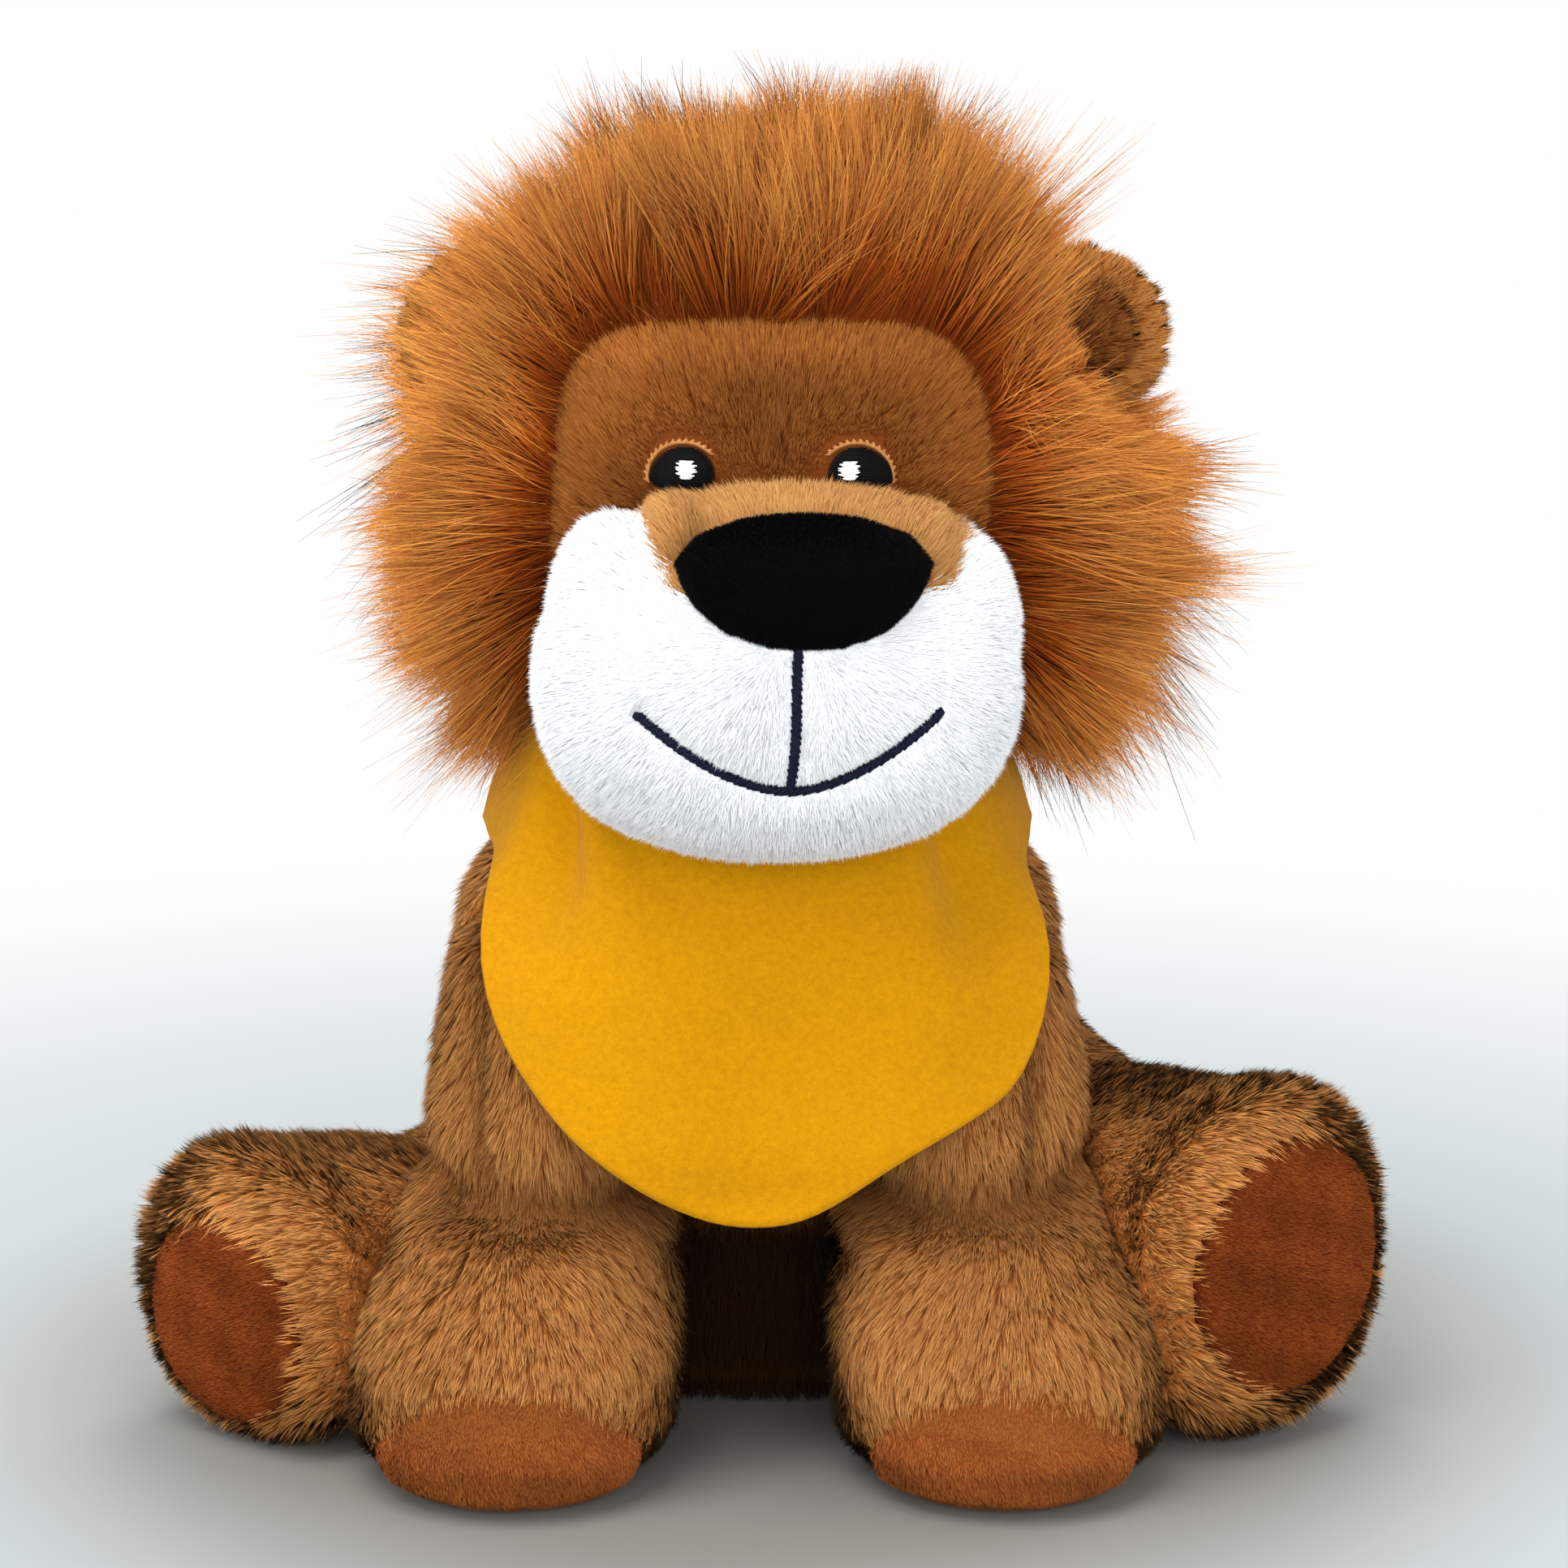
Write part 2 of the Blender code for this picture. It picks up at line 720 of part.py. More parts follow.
TORSO = Form(
    length=TORSO_HEIGHT + SEAT_CUT,
    half_width=TORSO_HALF_WIDTH,
    half_depth=TORSO_HALF_DEPTH,
    start_round=TORSO_SEAT_ROUND,
    end_round=TORSO_TOP_ROUND,
    swell_shares=TORSO_SWELL_SHARES,
    sides=BIG_SIDES,
    body_rings=7,
    squareness=2.5,
    start_flatness=3.0,
)
TORSO_PLACE = Matrix.Translation((BODY_X, TORSO_Y, -SEAT_CUT))

NECK = Form(
    length=2 * NECK_RADIUS,
    half_width=NECK_RADIUS,
    half_depth=NECK_RADIUS,
    start_round=NECK_RADIUS,
    end_round=NECK_RADIUS,
    sides=EXACT_ROUND_SIDES,
    cap_rings=5,
    body_rings=1,
)
NECK_PLACE = Matrix.Translation((NECK_X, NECK_Y, NECK_Z - NECK_RADIUS))

HEAD = Form(
    length=HEAD_HEIGHT,
    half_width=HEAD_HALF_WIDTH,
    half_depth=HEAD_HALF_DEPTH,
    start_round=HEAD_CHIN_ROUND,
    end_round=HEAD_CROWN_ROUND,
    swell_shares=HEAD_SWELL_SHARES,
    sides=BIG_SIDES,
    body_rings=3,
    squareness=2.4,
    start_flatness=2.2,
    end_flatness=2.3,
)
HEAD_PLACE = Matrix.Translation((HEAD_X, HEAD_Y, HEAD_BASE_Z))

MUZZLE = Form(
    length=MUZZLE_LENGTH,
    half_width=MUZZLE_HALF_WIDTH,
    half_depth=MUZZLE_HALF_HEIGHT,
    start_round=MUZZLE_BACK_ROUND,
    end_round=MUZZLE_FRONT_ROUND,
    swell_shares=MUZZLE_SWELL_SHARES,
    sides=BIG_SIDES,
    cap_rings=5,
    body_rings=2,
    squareness=2.3,
    end_flatness=2.3,
)
MUZZLE_PLACE = turned((HEAD_X, MUZZLE_Y, MUZZLE_Z), (0, -1, 0), (0, 0, 1))

BRIDGE = Form(
    length=BRIDGE_LENGTH,
    half_width=BRIDGE_HALF_WIDTH,
    half_depth=BRIDGE_HALF_HEIGHT,
    start_round=BRIDGE_BACK_ROUND,
    end_round=BRIDGE_FRONT_ROUND,
    sides=LIMB_SIDES,
    body_rings=1,
)
BRIDGE_PLACE = turned((HEAD_X + BRIDGE_SHIFT, BRIDGE_Y, BRIDGE_Z), (0, -1, 0), (0, 0, 1))

NOSE = Form(
    length=NOSE_HEIGHT,
    half_width=NOSE_HALF_WIDTH,
    half_depth=NOSE_HALF_DEPTH,
    start_round=NOSE_TIP_ROUND,
    end_round=NOSE_TOP_ROUND,
    swell_shares=NOSE_SWELL_SHARES,
    sides=SMALL_SIDES,
    cap_rings=3,
    body_rings=3,
    squareness=2.2,
)
NOSE_PLACE = Matrix.Translation((HEAD_X + NOSE_SHIFT, NOSE_Y, NOSE_BASE_Z))

MANE = Form(
    length=MANE_DEPTH,
    half_width=MANE_RADIUS,
    half_depth=MANE_RADIUS,
    start_round=MANE_DEPTH * MANE_FRONT_ROUND_SHARE,
    end_round=MANE_DEPTH * MANE_BACK_ROUND_SHARE,
    swell_shares=MANE_SWELL_SHARES,
    sides=BIG_SIDES,
    cap_rings=5,
    body_rings=1,
    start_flatness=MANE_FRONT_FLATNESS,
)
MANE_PLACE = turned((HEAD_X, MANE_FRONT_Y, MANE_Z), (0, 1, 0), (0, 0, 1))


def foreleg_form(side, ease=0.0):
    """A foreleg from its paw up to the ball that turns in the shoulder. Ease widens all but the ball."""
    length = SHOULDER_Z + SHOULDER_RADIUS + SEAT_CUT
    rows = [
        (along, width + ease, depth + ease, side * sideways, forward)
        for along, width, depth, sideways, forward in PAW_TO_SHOULDER_SHARES
    ]
    ball = (SHOULDER_RADIUS / FORELEG_HALF_WIDTH, SHOULDER_RADIUS / FORELEG_HALF_DEPTH, 0.0, 0.0)
    rows.append((1 - SHOULDER_RADIUS / length, *ball))
    rows.append((1.0, *ball))
    return Form(
        length=length,
        half_width=FORELEG_HALF_WIDTH,
        half_depth=FORELEG_HALF_DEPTH,
        start_round=PAW_ROUND,
        end_round=SHOULDER_RADIUS,
        swell_shares=tuple(rows),
        cap_rings=4,
        body_rings=6,
        start_flatness=2.4,
    )


def foreleg_place(side):
    return Matrix.Translation((BODY_X + side * SHOULDER_X, SHOULDER_Y, -SEAT_CUT))


def hind_form(side, ease=0.0):
    """A hind leg from its rounded hip to its upright sole. Ease widens all but the hip."""
    radius, half_height = THIGH_RADIUS[side], THIGH_HALF_HEIGHT[side]
    length = radius + HIND_REACH
    foot_width = FOOT_HALF_WIDTH[side] / radius
    foot_height = FOOT_HALF_HEIGHT[side] / half_height
    lift = FOOT_LIFT[side] / half_height
    rows = [(radius / length, 1.0, 1.0, 0.0, 0.0)]
    for along, share, waist in THIGH_TO_FOOT_SHARES:
        width = 1 + (foot_width - 1) * share
        height = (1 + (foot_height - 1) * share) * waist
        rows.append((along, width + ease, height + ease, 0.0, height - 1))
    rows.append((FOOT_START_SHARE, foot_width + ease, foot_height + ease, 0.0, foot_height - 1 + lift / 2))
    rows.append((1.0, foot_width + ease, foot_height + ease, 0.0, foot_height - 1 + lift))
    return Form(
        length=length,
        half_width=radius,
        half_depth=half_height,
        start_round=radius,
        end_round=FOOT_ROUND,
        swell_shares=tuple(rows),
        cap_rings=4,
        body_rings=5,
        squareness=2.2,
        end_flatness=2.6,
    )


def hind_axis(side):
    """The level direction from a hip to its sole."""
    splay = math.radians(HIND_SPLAY_DEGREES)
    return Vector((side * math.sin(splay), -math.cos(splay), 0.0))


def hip(side):
    return Vector((BODY_X + side * HIP_X, HIP_Y, THIGH_HALF_HEIGHT[side] - SEAT_CUT))


def hind_place(side):
    axis = hind_axis(side)
    return turned(hip(side) - axis * THIGH_RADIUS[side], axis, (0, 0, 1))


def ear_axis(side):
    """The direction in which an ear stands out from the head."""
    tilt = math.radians(EAR_TILT_DEGREES)
    return Vector((side * math.cos(tilt), 0.0, math.sin(tilt)))


def ear_root(side):
    """The point on the head's surface where an ear's middle line leaves it."""
    start = Vector((HEAD_X, EAR_Y, MANE_Z))
    local = HEAD_PLACE.inverted() @ start
    return start + ear_axis(side) * HEAD.reach(local, ear_axis(side), HEAD_HEIGHT)


EAR = Form(
    length=EAR_LENGTH,
    half_width=EAR_HALF_WIDTH,
    half_depth=EAR_HALF_THICKNESS,
    start_round=EAR_HALF_THICKNESS,
    end_round=EAR_TIP_ROUND,
    swell_shares=EAR_SWELL_SHARES,
    sides=SMALL_SIDES,
    cap_rings=3,
    body_rings=3,
    squareness=2.2,
)


def ear_place(side):
    return turned(ear_root(side) + ear_axis(side) * SWING_GAP, ear_axis(side), (0, 1, 0))


def ear_hinge(side):
    """The middle of the ear's rounded root edge, about which it folds."""
    return ear_root(side) + ear_axis(side) * (SWING_GAP + EAR_HALF_THICKNESS)


TAIL = Form(
    length=TAIL_LENGTH,
    half_width=TAIL_ROOT_RADIUS,
    half_depth=TAIL_ROOT_RADIUS,
    start_round=TAIL_ROOT_RADIUS,
    end_round=TAIL_TIP_ROUND,
    swell_shares=TAIL_SWELL_SHARES,
    sides=THIN_SIDES,
    cap_rings=3,
    body_rings=7,
)


def tail_axis():
    turn = math.radians(TAIL_TURN_DEGREES)
    return Vector((math.sin(turn), math.cos(turn), 0.0))


def tail_root():
    return Vector((BODY_X, TAIL_ROOT_Y, TAIL_ROOT_Z))


def tail_place():
    return turned(tail_root() - tail_axis() * TAIL_ROOT_RADIUS, tail_axis(), (0, 0, 1))


def limb_cutters(outset, inner=False):
    """Room in the torso for every limb root, larger than the limb by the outset."""
    found = [cutter(TAIL.mesh(outset), tail_place())]
    for side in (LEFT, RIGHT):
        foreleg, hind_leg = foreleg_form(side, LIMB_EASE_SHARE), hind_form(side, LIMB_EASE_SHARE)
        if inner:
            foreleg, hind_leg = foreleg.inner(), hind_leg.inner()
        found.append(cutter(foreleg.mesh(outset), foreleg_place(side)))
        found.append(cutter(hind_leg.mesh(outset), hind_place(side)))
    return found


def beyond(point, direction, distance):
    """Everything past a plane that faces a direction, at a distance from a point."""
    reach = TORSO_HEIGHT
    facing = Vector(direction).normalized()
    level = facing.cross(Vector((0.0, 0.0, 1.0)))
    place = turned(Vector(point) + facing * distance, facing, level)
    return cutter(box_mesh((-reach, -reach, 0.0), (reach, reach, reach)), place)


def make_torso(body, floor):
    """The torso's cover, open at the neck, its stuffing and the pellet bag under it."""
    neck_room = cutter(NECK.mesh(SWING_GAP), NECK_PLACE)
    inner = TORSO.inner()
    lining = cut(cutter(inner.mesh(-PILE_CLOTH), TORSO_PLACE), *limb_cutters(SWING_GAP + PILE_CLOTH, True))
    raised_floor = cutter(floor.data, Matrix.Translation((0.0, 0.0, PILE_CLOTH)))
    cut(lining, raised_floor)
    cover = body.add("torso_cover", TORSO.mesh(), TORSO_PLACE, brown_pile())
    cut(cover, floor, *limb_cutters(SWING_GAP), neck_room, lining)
    inset = PILE_CLOTH + SEAM_GAP
    stuffing = body.add("torso_stuffing", inner.mesh(-inset), TORSO_PLACE, white_fibre())
    stuffing_floor = cutter(floor.data, Matrix.Translation((0.0, 0.0, inset)))
    cut(stuffing, stuffing_floor, *limb_cutters(SWING_GAP + inset, True), neck_room)
    bag_form = Form(
        length=BAG_HEIGHT,
        half_width=BAG_HALF_WIDTH,
        half_depth=BAG_HALF_DEPTH,
        start_round=BAG_HEIGHT / 2,
        end_round=BAG_HEIGHT / 2,
        sides=SMALL_SIDES,
        cap_rings=3,
        body_rings=1,
        start_flatness=PELLET_FLAT,
        end_flatness=PELLET_FLAT,
    )
    bag_place = Matrix.Translation((BODY_X, BAG_Y, BAG_BASE_Z))
    pocket_form = replace(bag_form, length=OVERRUN + BAG_BASE_Z + BAG_HEIGHT, start_round=SEAM_GAP)
    pocket_place = Matrix.Translation((BODY_X, BAG_Y, -OVERRUN))
    cut(stuffing, cutter(pocket_form.mesh(SEAM_GAP), pocket_place))
    body.add("seat_pellet_bag", bag_form.mesh(), bag_place, pellet_cloth())


def make_limb(body, names, form, place, root_room, floor, pile):
    """A limb's cover, open where its root meets the torso, and its stuffing."""
    cover = body.add(names[0], form.mesh(), place, pile)
    raised_floor = cutter(floor.data, Matrix.Translation((0.0, 0.0, PILE_CLOTH)))
    lining = cut(cutter(form.inner().mesh(-PILE_CLOTH), place), raised_floor)
    cut(cover, floor, lining, root_room)
    inset = PILE_CLOTH + SEAM_GAP
    stuffing_floor = cutter(floor.data, Matrix.Translation((0.0, 0.0, inset)))
    stuffing = body.add(names[1], form.inner().mesh(-inset), place, white_fibre())
    return cover, cut(stuffing, stuffing_floor)


def make_foreleg(body, side, floor):
    """A foreleg and the pad sewn on its paw."""
    name = SIDE_NAMES[side]
    form, place = foreleg_form(side), foreleg_place(side)
    inwards = (-side * SHOULDER_X, -SHOULDER_Y, SHOULDER_RADIUS)
    root_room = beyond((BODY_X + side * SHOULDER_X, SHOULDER_Y, SHOULDER_Z), inwards, SHOULDER_RADIUS / 2)
    names = (name + "_foreleg_cover", name + "_foreleg_stuffing")
    make_limb(body, names, form, place, root_room, floor, brown_pile())
    pad_x = BODY_X + side * (SHOULDER_X + PAW_PAD_OUT)
    outline = ellipse(pad_x, PAW_PAD_Z, PAW_PAD_HALF_WIDTH, PAW_PAD_HALF_HEIGHT)
    front = cutter(prism_mesh(outline, PAW_PAD_FRONT_Y, PAW_PAD_BACK_Y), Matrix.Identity(4))
    pad = body.add(name + "_paw_pad", form.mesh(SEAM_GAP + PAD_CLOTH), place, pad_cloth())
    keep(pad, front)
    cut(pad, cutter(form.mesh(SEAM_GAP), place), floor)


def make_hind_leg(body, side, floor):
    """A hind leg and the sole sewn on its foot."""
    name = SIDE_NAMES[side]
    form, place = hind_form(side), hind_place(side)
    root_room = beyond(hip(side), (-side * HIP_X, 0.0, HIP_Y / 2), THIGH_RADIUS[side] / 2)
    names = (name + "_hind_leg_cover", name + "_hind_leg_stuffing")
    limbs = make_limb(body, names, form, place, root_room, floor, brown_pile())
    for limb, inset in zip(limbs, (0.0, PILE_CLOTH)):
        foreleg_room = foreleg_form(side, LIMB_EASE_SHARE / 2).mesh(SEAM_GAP + inset)
        cut(limb, cutter(foreleg_room, foreleg_place(side)))
    sole = body.add(name + "_sole", form.mesh(SEAM_GAP + PAD_CLOTH), place, sole_cloth())
    outline = ellipse(0.0, 0.0, SOLE_HALF_WIDTH[side], SOLE_HALF_HEIGHT[side])
    end = hip(side) + hind_axis(side) * HIND_REACH
    end.z = SOLE_Z[side]
    away = turned(end, (0, 0, 1), -hind_axis(side))
    half = OVERRUN
    stand = cutter(prism_mesh(outline, -half, half), away)
    keep(sole, stand)
    cut(sole, cutter(form.mesh(SEAM_GAP), place), floor)


def make_tail(body):
    """The tail, lying just over the floor, and the tuft that its end goes into."""
    place = tail_place()
    tail = body.add("tail", TAIL.mesh(), place, brown_pile())
    end_height, sideways, forward, _, _ = TAIL.ring(1.0, 1.0)
    end = place @ Vector((sideways, forward, end_height))
    before = TAIL.ring(TAIL_NEAR_END_SHARE, 1.0)
    run = (end - place @ Vector((before[1], before[2], before[0]))).normalized()
    run.z = 0.0
    run.normalize()
    tuft_form = Form(
        length=TUFT_LENGTH,
        half_width=TUFT_RADIUS,
        half_depth=TUFT_RADIUS,
        start_round=TUFT_ROOT_ROUND,
        end_round=TUFT_TIP_ROUND,
        swell_shares=TUFT_SWELL_SHARES,
        sides=SMALL_SIDES,
        cap_rings=3,
        body_rings=3,
    )
    start = end - run * TUFT_SEAT
    start.z = TUFT_RADIUS + FLOOR_GAP
    tuft = body.add("tail_tuft", tuft_form.mesh(), turned(start, run, (0, 0, 1)), mane_pile())
    cut(tuft, cutter(TAIL.mesh(SEAM_GAP), place))
    return tail, tuft


def make_neck(body):
    """The stuffed ball that joins the head to the torso."""
    body.add("neck_stuffing", NECK.mesh(), NECK_PLACE, white_fibre())


def make_head(body):
    """The head's cover, open at the neck, and its stuffing."""
    neck_room = cutter(NECK.mesh(SWING_GAP), NECK_PLACE)
    cover = body.add("head_cover", HEAD.mesh(), HEAD_PLACE, face_pile())
    cut(cover, neck_room, cutter(HEAD.inner().mesh(-PILE_CLOTH), HEAD_PLACE))
    inset = PILE_CLOTH + SEAM_GAP
    stuffing = body.add("head_stuffing", HEAD.inner().mesh(-inset), HEAD_PLACE, white_fibre())
    cut(stuffing, neck_room)


def make_snout(body):
    """The muzzle, the bridge over it and the nose at its top."""
    head_room = cutter(HEAD.mesh(SEAM_GAP), HEAD_PLACE)
    muzzle = body.add("muzzle", MUZZLE.mesh(), MUZZLE_PLACE, white_pile())
    neck_room = cutter(NECK.mesh(SWING_GAP), NECK_PLACE)
    cut(muzzle, head_room, neck_room, cutter(TORSO.mesh(CHIN_ROOM), TORSO_PLACE))
    muzzle_room = cutter(MUZZLE.mesh(SEAM_GAP), MUZZLE_PLACE)
    nose = body.add("nose", NOSE.mesh(), NOSE_PLACE, nose_velour())
    cut(nose, muzzle_room)
    bridge = body.add("nose_bridge", BRIDGE.mesh(), BRIDGE_PLACE, tan_pile())
    cut(bridge, head_room, muzzle_room, cutter(NOSE.mesh(SEAM_GAP), NOSE_PLACE))


def sewn_on(body, name, carrier, place, outline, low, high, material, lift=0.0):
    """A patch of thread that follows a form's surface inside an outline drawn in X and Z."""
    inner, outer = SEAM_GAP + lift, SEAM_GAP + lift + STITCH_PROUD
    patch = body.add(name, carrier.mesh(outer), place, material)
    keep(patch, cutter(prism_mesh(outline, low, high), Matrix.Identity(4)))
    return cut(patch, cutter(carrier.mesh(inner), place))


def eye_outline(middle_x, grow=0.0, start=0.0, finish=360.0, count=EYE_POINTS):
    """The eye's edge: a dome over a shallow sag."""
    points = []
    for index in range(count):
        turn = math.radians(start + (finish - start) * index / count)
        height = EYE_DOME if math.sin(turn) > 0 else EYE_SAG
        rise = (height + grow) * math.sin(turn)
        points.append((middle_x + (EYE_HALF_WIDTH + grow) * math.cos(turn), EYE_Z + rise))
    return points


def make_eyes(body):
    """Each embroidered eye with its glint and lid line."""
    low, high = HEAD_Y - HEAD_HALF_DEPTH - OVERRUN, HEAD_Y - HEAD_HALF_DEPTH / 2
    for side in (LEFT, RIGHT):
        name = SIDE_NAMES[side]
        middle = EYE_MIDDLE_X + side * EYE_SPACING / 2
        sewn_on(body, name + "_eye", HEAD, HEAD_PLACE, eye_outline(middle), low, high, black_thread())
        glint = ellipse(middle + GLINT_SHIFT, EYE_Z + GLINT_UP, GLINT_RADIUS, GLINT_RADIUS, GLINT_POINTS)
        sewn_on(
            body,
            name + "_eye_glint",
            HEAD,
            HEAD_PLACE,
            glint,
            low,
            high,
            white_thread(),
            STITCH_PROUD + SEAM_GAP,
        )
        grow = LID_RISE + LID_WIDTH / 2
        span = (LID_OPEN_DEGREES, 180 - LID_OPEN_DEGREES)
        line = eye_outline(middle, grow, *span, LID_POINTS)
        sewn_on(body, name + "_lid_line", HEAD, HEAD_PLACE, ribbon(line, LID_WIDTH), low, high, tan_thread())


def mouth_height(x):
    """The smile's height at a distance from its middle."""
    share = abs(x - MOUTH_X) / MOUTH_HALF_WIDTH
    return MOUTH_LOW_Z + MOUTH_RISE * share**MOUTH_BEND


def make_mouth(body):
    """The stitched smile and the line down to it from the nose."""
    low, high = MUZZLE_Y - MUZZLE_LENGTH - OVERRUN, MUZZLE_Y - MUZZLE_LENGTH / 2
    line = []
    for index in range(SMILE_STEPS + 1):
        x = MOUTH_X + MOUTH_HALF_WIDTH * (2 * index / SMILE_STEPS - 1)
        line.append((x, mouth_height(x)))
    smile = ribbon(line, MOUTH_LINE)
    sewn_on(body, "smile_stitch", MUZZLE, MUZZLE_PLACE, smile, low, high, navy_thread())
    foot = (MOUTH_X, MOUTH_LOW_Z + MOUTH_LINE / 2 + SEAM_GAP)
    top = (PHILTRUM_TOP_X, PHILTRUM_TOP_Z)
    shares = [index / PHILTRUM_STEPS for index in range(PHILTRUM_STEPS + 1)]
    run = [tuple(a + (b - a) * share for a, b in zip(foot, top)) for share in shares]
    seam = ribbon(run, PHILTRUM_LINE)
    piece = sewn_on(body, "philtrum_stitch", MUZZLE, MUZZLE_PLACE, seam, low, high, navy_thread())
    cut(piece, cutter(NOSE.mesh(SEAM_GAP), NOSE_PLACE))


def sector(low_degrees, high_degrees, low_y, high_y):
    """A wedge round the mane's middle, between two angles from the lion's left."""
    far = 2 * MANE_RADIUS
    outline = [(HEAD_X, MANE_Z)]
    for index in range(SECTOR_STEPS + 1):
        turn = math.radians(low_degrees + (high_degrees - low_degrees) * index / SECTOR_STEPS)
        outline.append((HEAD_X + far * math.cos(turn), MANE_Z + far * math.sin(turn)))
    return cutter(prism_mesh(outline, low_y, high_y), Matrix.Identity(4))


def make_mane(body):
    """The mane's four panels: a crown tuft, two side ruffs and the back."""
    head_room = cutter(HEAD.mesh(SEAM_GAP), HEAD_PLACE)
    muzzle_room = cutter(MUZZLE.mesh(MANE_MUZZLE_ROOM), MUZZLE_PLACE)
    bridge_room = cutter(BRIDGE.mesh(SEAM_GAP), BRIDGE_PLACE)
    neck_form = Form(
        length=NECK_ROOM_HEIGHT,
        half_width=NECK_ROOM_HALF_WIDTH,
        half_depth=NECK_ROOM_HALF_DEPTH,
        start_round=SEAM_GAP,
        end_round=NECK_ROOM_ROUND,
        sides=BIG_SIDES,
        cap_rings=4,
        body_rings=1,
    )
    neck_room = cutter(neck_form.mesh(), Matrix.Translation((NECK_X, NECK_Y, NECK_ROOM_BASE_Z)))
    front = MANE_FRONT_Y - OVERRUN
    panels = {
        "mane_crown": (EAR_HIGH_DEGREES, 180 - EAR_HIGH_DEGREES),
        "mane_left_ruff": (RUFF_LOW_DEGREES, EAR_LOW_DEGREES),
        "mane_right_ruff": (180 - EAR_LOW_DEGREES, 180 - RUFF_LOW_DEGREES),
    }
    for name, (low, high) in panels.items():
        panel = body.add(name, MANE.mesh(), MANE_PLACE, mane_pile())
        keep(panel, sector(low, high, front, MANE_SPLIT_Y))
        cut(panel, head_room, muzzle_room, bridge_room, neck_room)
    back = body.add("mane_back", MANE.mesh(), MANE_PLACE, mane_pile())
    wide = 2 * MANE_RADIUS
    split = MANE_SPLIT_Y + SEAM_GAP
    behind = box_mesh((HEAD_X - wide, split, MANE_NAPE_Z), (HEAD_X + wide, split + wide, MANE_Z + wide))
    keep(back, cutter(behind, Matrix.Identity(4)))
    cut(back, head_room, neck_room)
    for low, high in ((EAR_LOW_DEGREES, EAR_HIGH_DEGREES), (180 - EAR_HIGH_DEGREES, 180 - EAR_LOW_DEGREES)):
        cut(back, sector(low, high, -OVERRUN, EAR_ROOM_Y))


def make_ear(body, side):
    """A round ear and the darker lining on its front."""
    name = SIDE_NAMES[side]
    place = ear_place(side)
    body.add(name + "_ear", EAR.mesh(), place, brown_pile())
    lining_form = Form(
        length=LINING_LENGTH,
        half_width=LINING_HALF_WIDTH,
        half_depth=LINING_HALF_THICKNESS,
        start_round=LINING_ROUND,
        end_round=LINING_ROUND,
        sides=SMALL_SIDES,
        cap_rings=3,
        body_rings=1,
    )
    lining_place = place @ Matrix.Translation((0.0, -LINING_FORWARD, LINING_START))
    lining = body.add(name + "_ear_lining", lining_form.mesh(), lining_place, ear_pile())
    cut(lining, cutter(EAR.mesh(SEAM_GAP), place))


def make_collar(body):
    """The neckerchief's band, lying on the shoulders round the neck."""
    collar = body.add("neckerchief_collar", TORSO.mesh(COLLAR_LIFT + FELT), TORSO_PLACE, mustard_felt())
    back_y = TORSO_Y + TORSO_HALF_DEPTH
    hem = turned(
        (BODY_X, FLAP_HINGE_Y, COLLAR_FRONT_Z),
        (0.0, COLLAR_FRONT_Z - COLLAR_BACK_Z, back_y - FLAP_HINGE_Y),
        (0.0, back_y - FLAP_HINGE_Y, COLLAR_BACK_Z - COLLAR_FRONT_Z),
    )
    wide = 2 * TORSO_HALF_WIDTH
    above = box_mesh((-wide, -wide, 0.0), (wide, 2 * wide, TORSO_HEIGHT))
    keep(collar, cutter(above, hem))
    hole = Form(
        length=TORSO_HEIGHT,
        half_width=COLLAR_HOLE,
        half_depth=COLLAR_HOLE,
        start_round=SEAM_GAP,
        end_round=SEAM_GAP,
        sides=BIG_SIDES,
        cap_rings=1,
        body_rings=1,
    )
    hole_place = Matrix.Translation((NECK_X, NECK_Y, TORSO_HEIGHT / 2))
    cut(collar, cutter(TORSO.mesh(COLLAR_LIFT), TORSO_PLACE), cutter(hole.mesh(), hole_place))


def flap_point(down, across):
    """A point of the flap's inner face, at a share of its length and a share of its width there."""
    half_width = FLAP_HALF_WIDTH * smooth_share(FLAP_OUTLINE_SHARES, down, 1)
    x = half_width * across
    swing = FLAP_SWING_OUT * math.sin(math.pi / 2 * min(1.0, down / FLAP_HANG_SHARE))
    wrap = FLAP_WRAP * (x / FLAP_HALF_WIDTH) ** 2 * smooth_share(FLAP_WRAP_SHARES, down, 1)
    fold = FLAP_FOLD * math.sin(2 * math.pi * FLAP_FOLD_WAVES * x / FLAP_HALF_WIDTH) * down
    z = FLAP_HINGE_Z - FLAP_LENGTH * down
    return (BODY_X + x, FLAP_HINGE_Y - swing + wrap + fold, z)


def make_flap(body):
    """The neckerchief's front, hanging from the collar to a round tip."""
    work = bmesh.new()
    grid = []
    shares = [2 * column / FLAP_COLUMNS - 1 for column in range(FLAP_COLUMNS + 1)]
    for row in range(FLAP_ROWS + 1):
        down = 1 - (1 - row / FLAP_ROWS) ** FLAP_TIP_CROWDING
        grid.append([work.verts.new(flap_point(down, across)) for across in shares])
    for above, below in zip(grid, grid[1:]):
        for c in range(FLAP_COLUMNS):
            work.faces.new((above[c], below[c], below[c + 1], above[c + 1]))
    mesh = bpy.data.meshes.new("flap")
    work.to_mesh(mesh)
    work.free()
    mesh.shade_smooth()
    flap = body.add("neckerchief_flap", mesh, Matrix.Identity(4), mustard_felt())
    thick = flap.modifiers.new("felt", "SOLIDIFY")
    thick.thickness = FELT
    thick.offset = 1.0


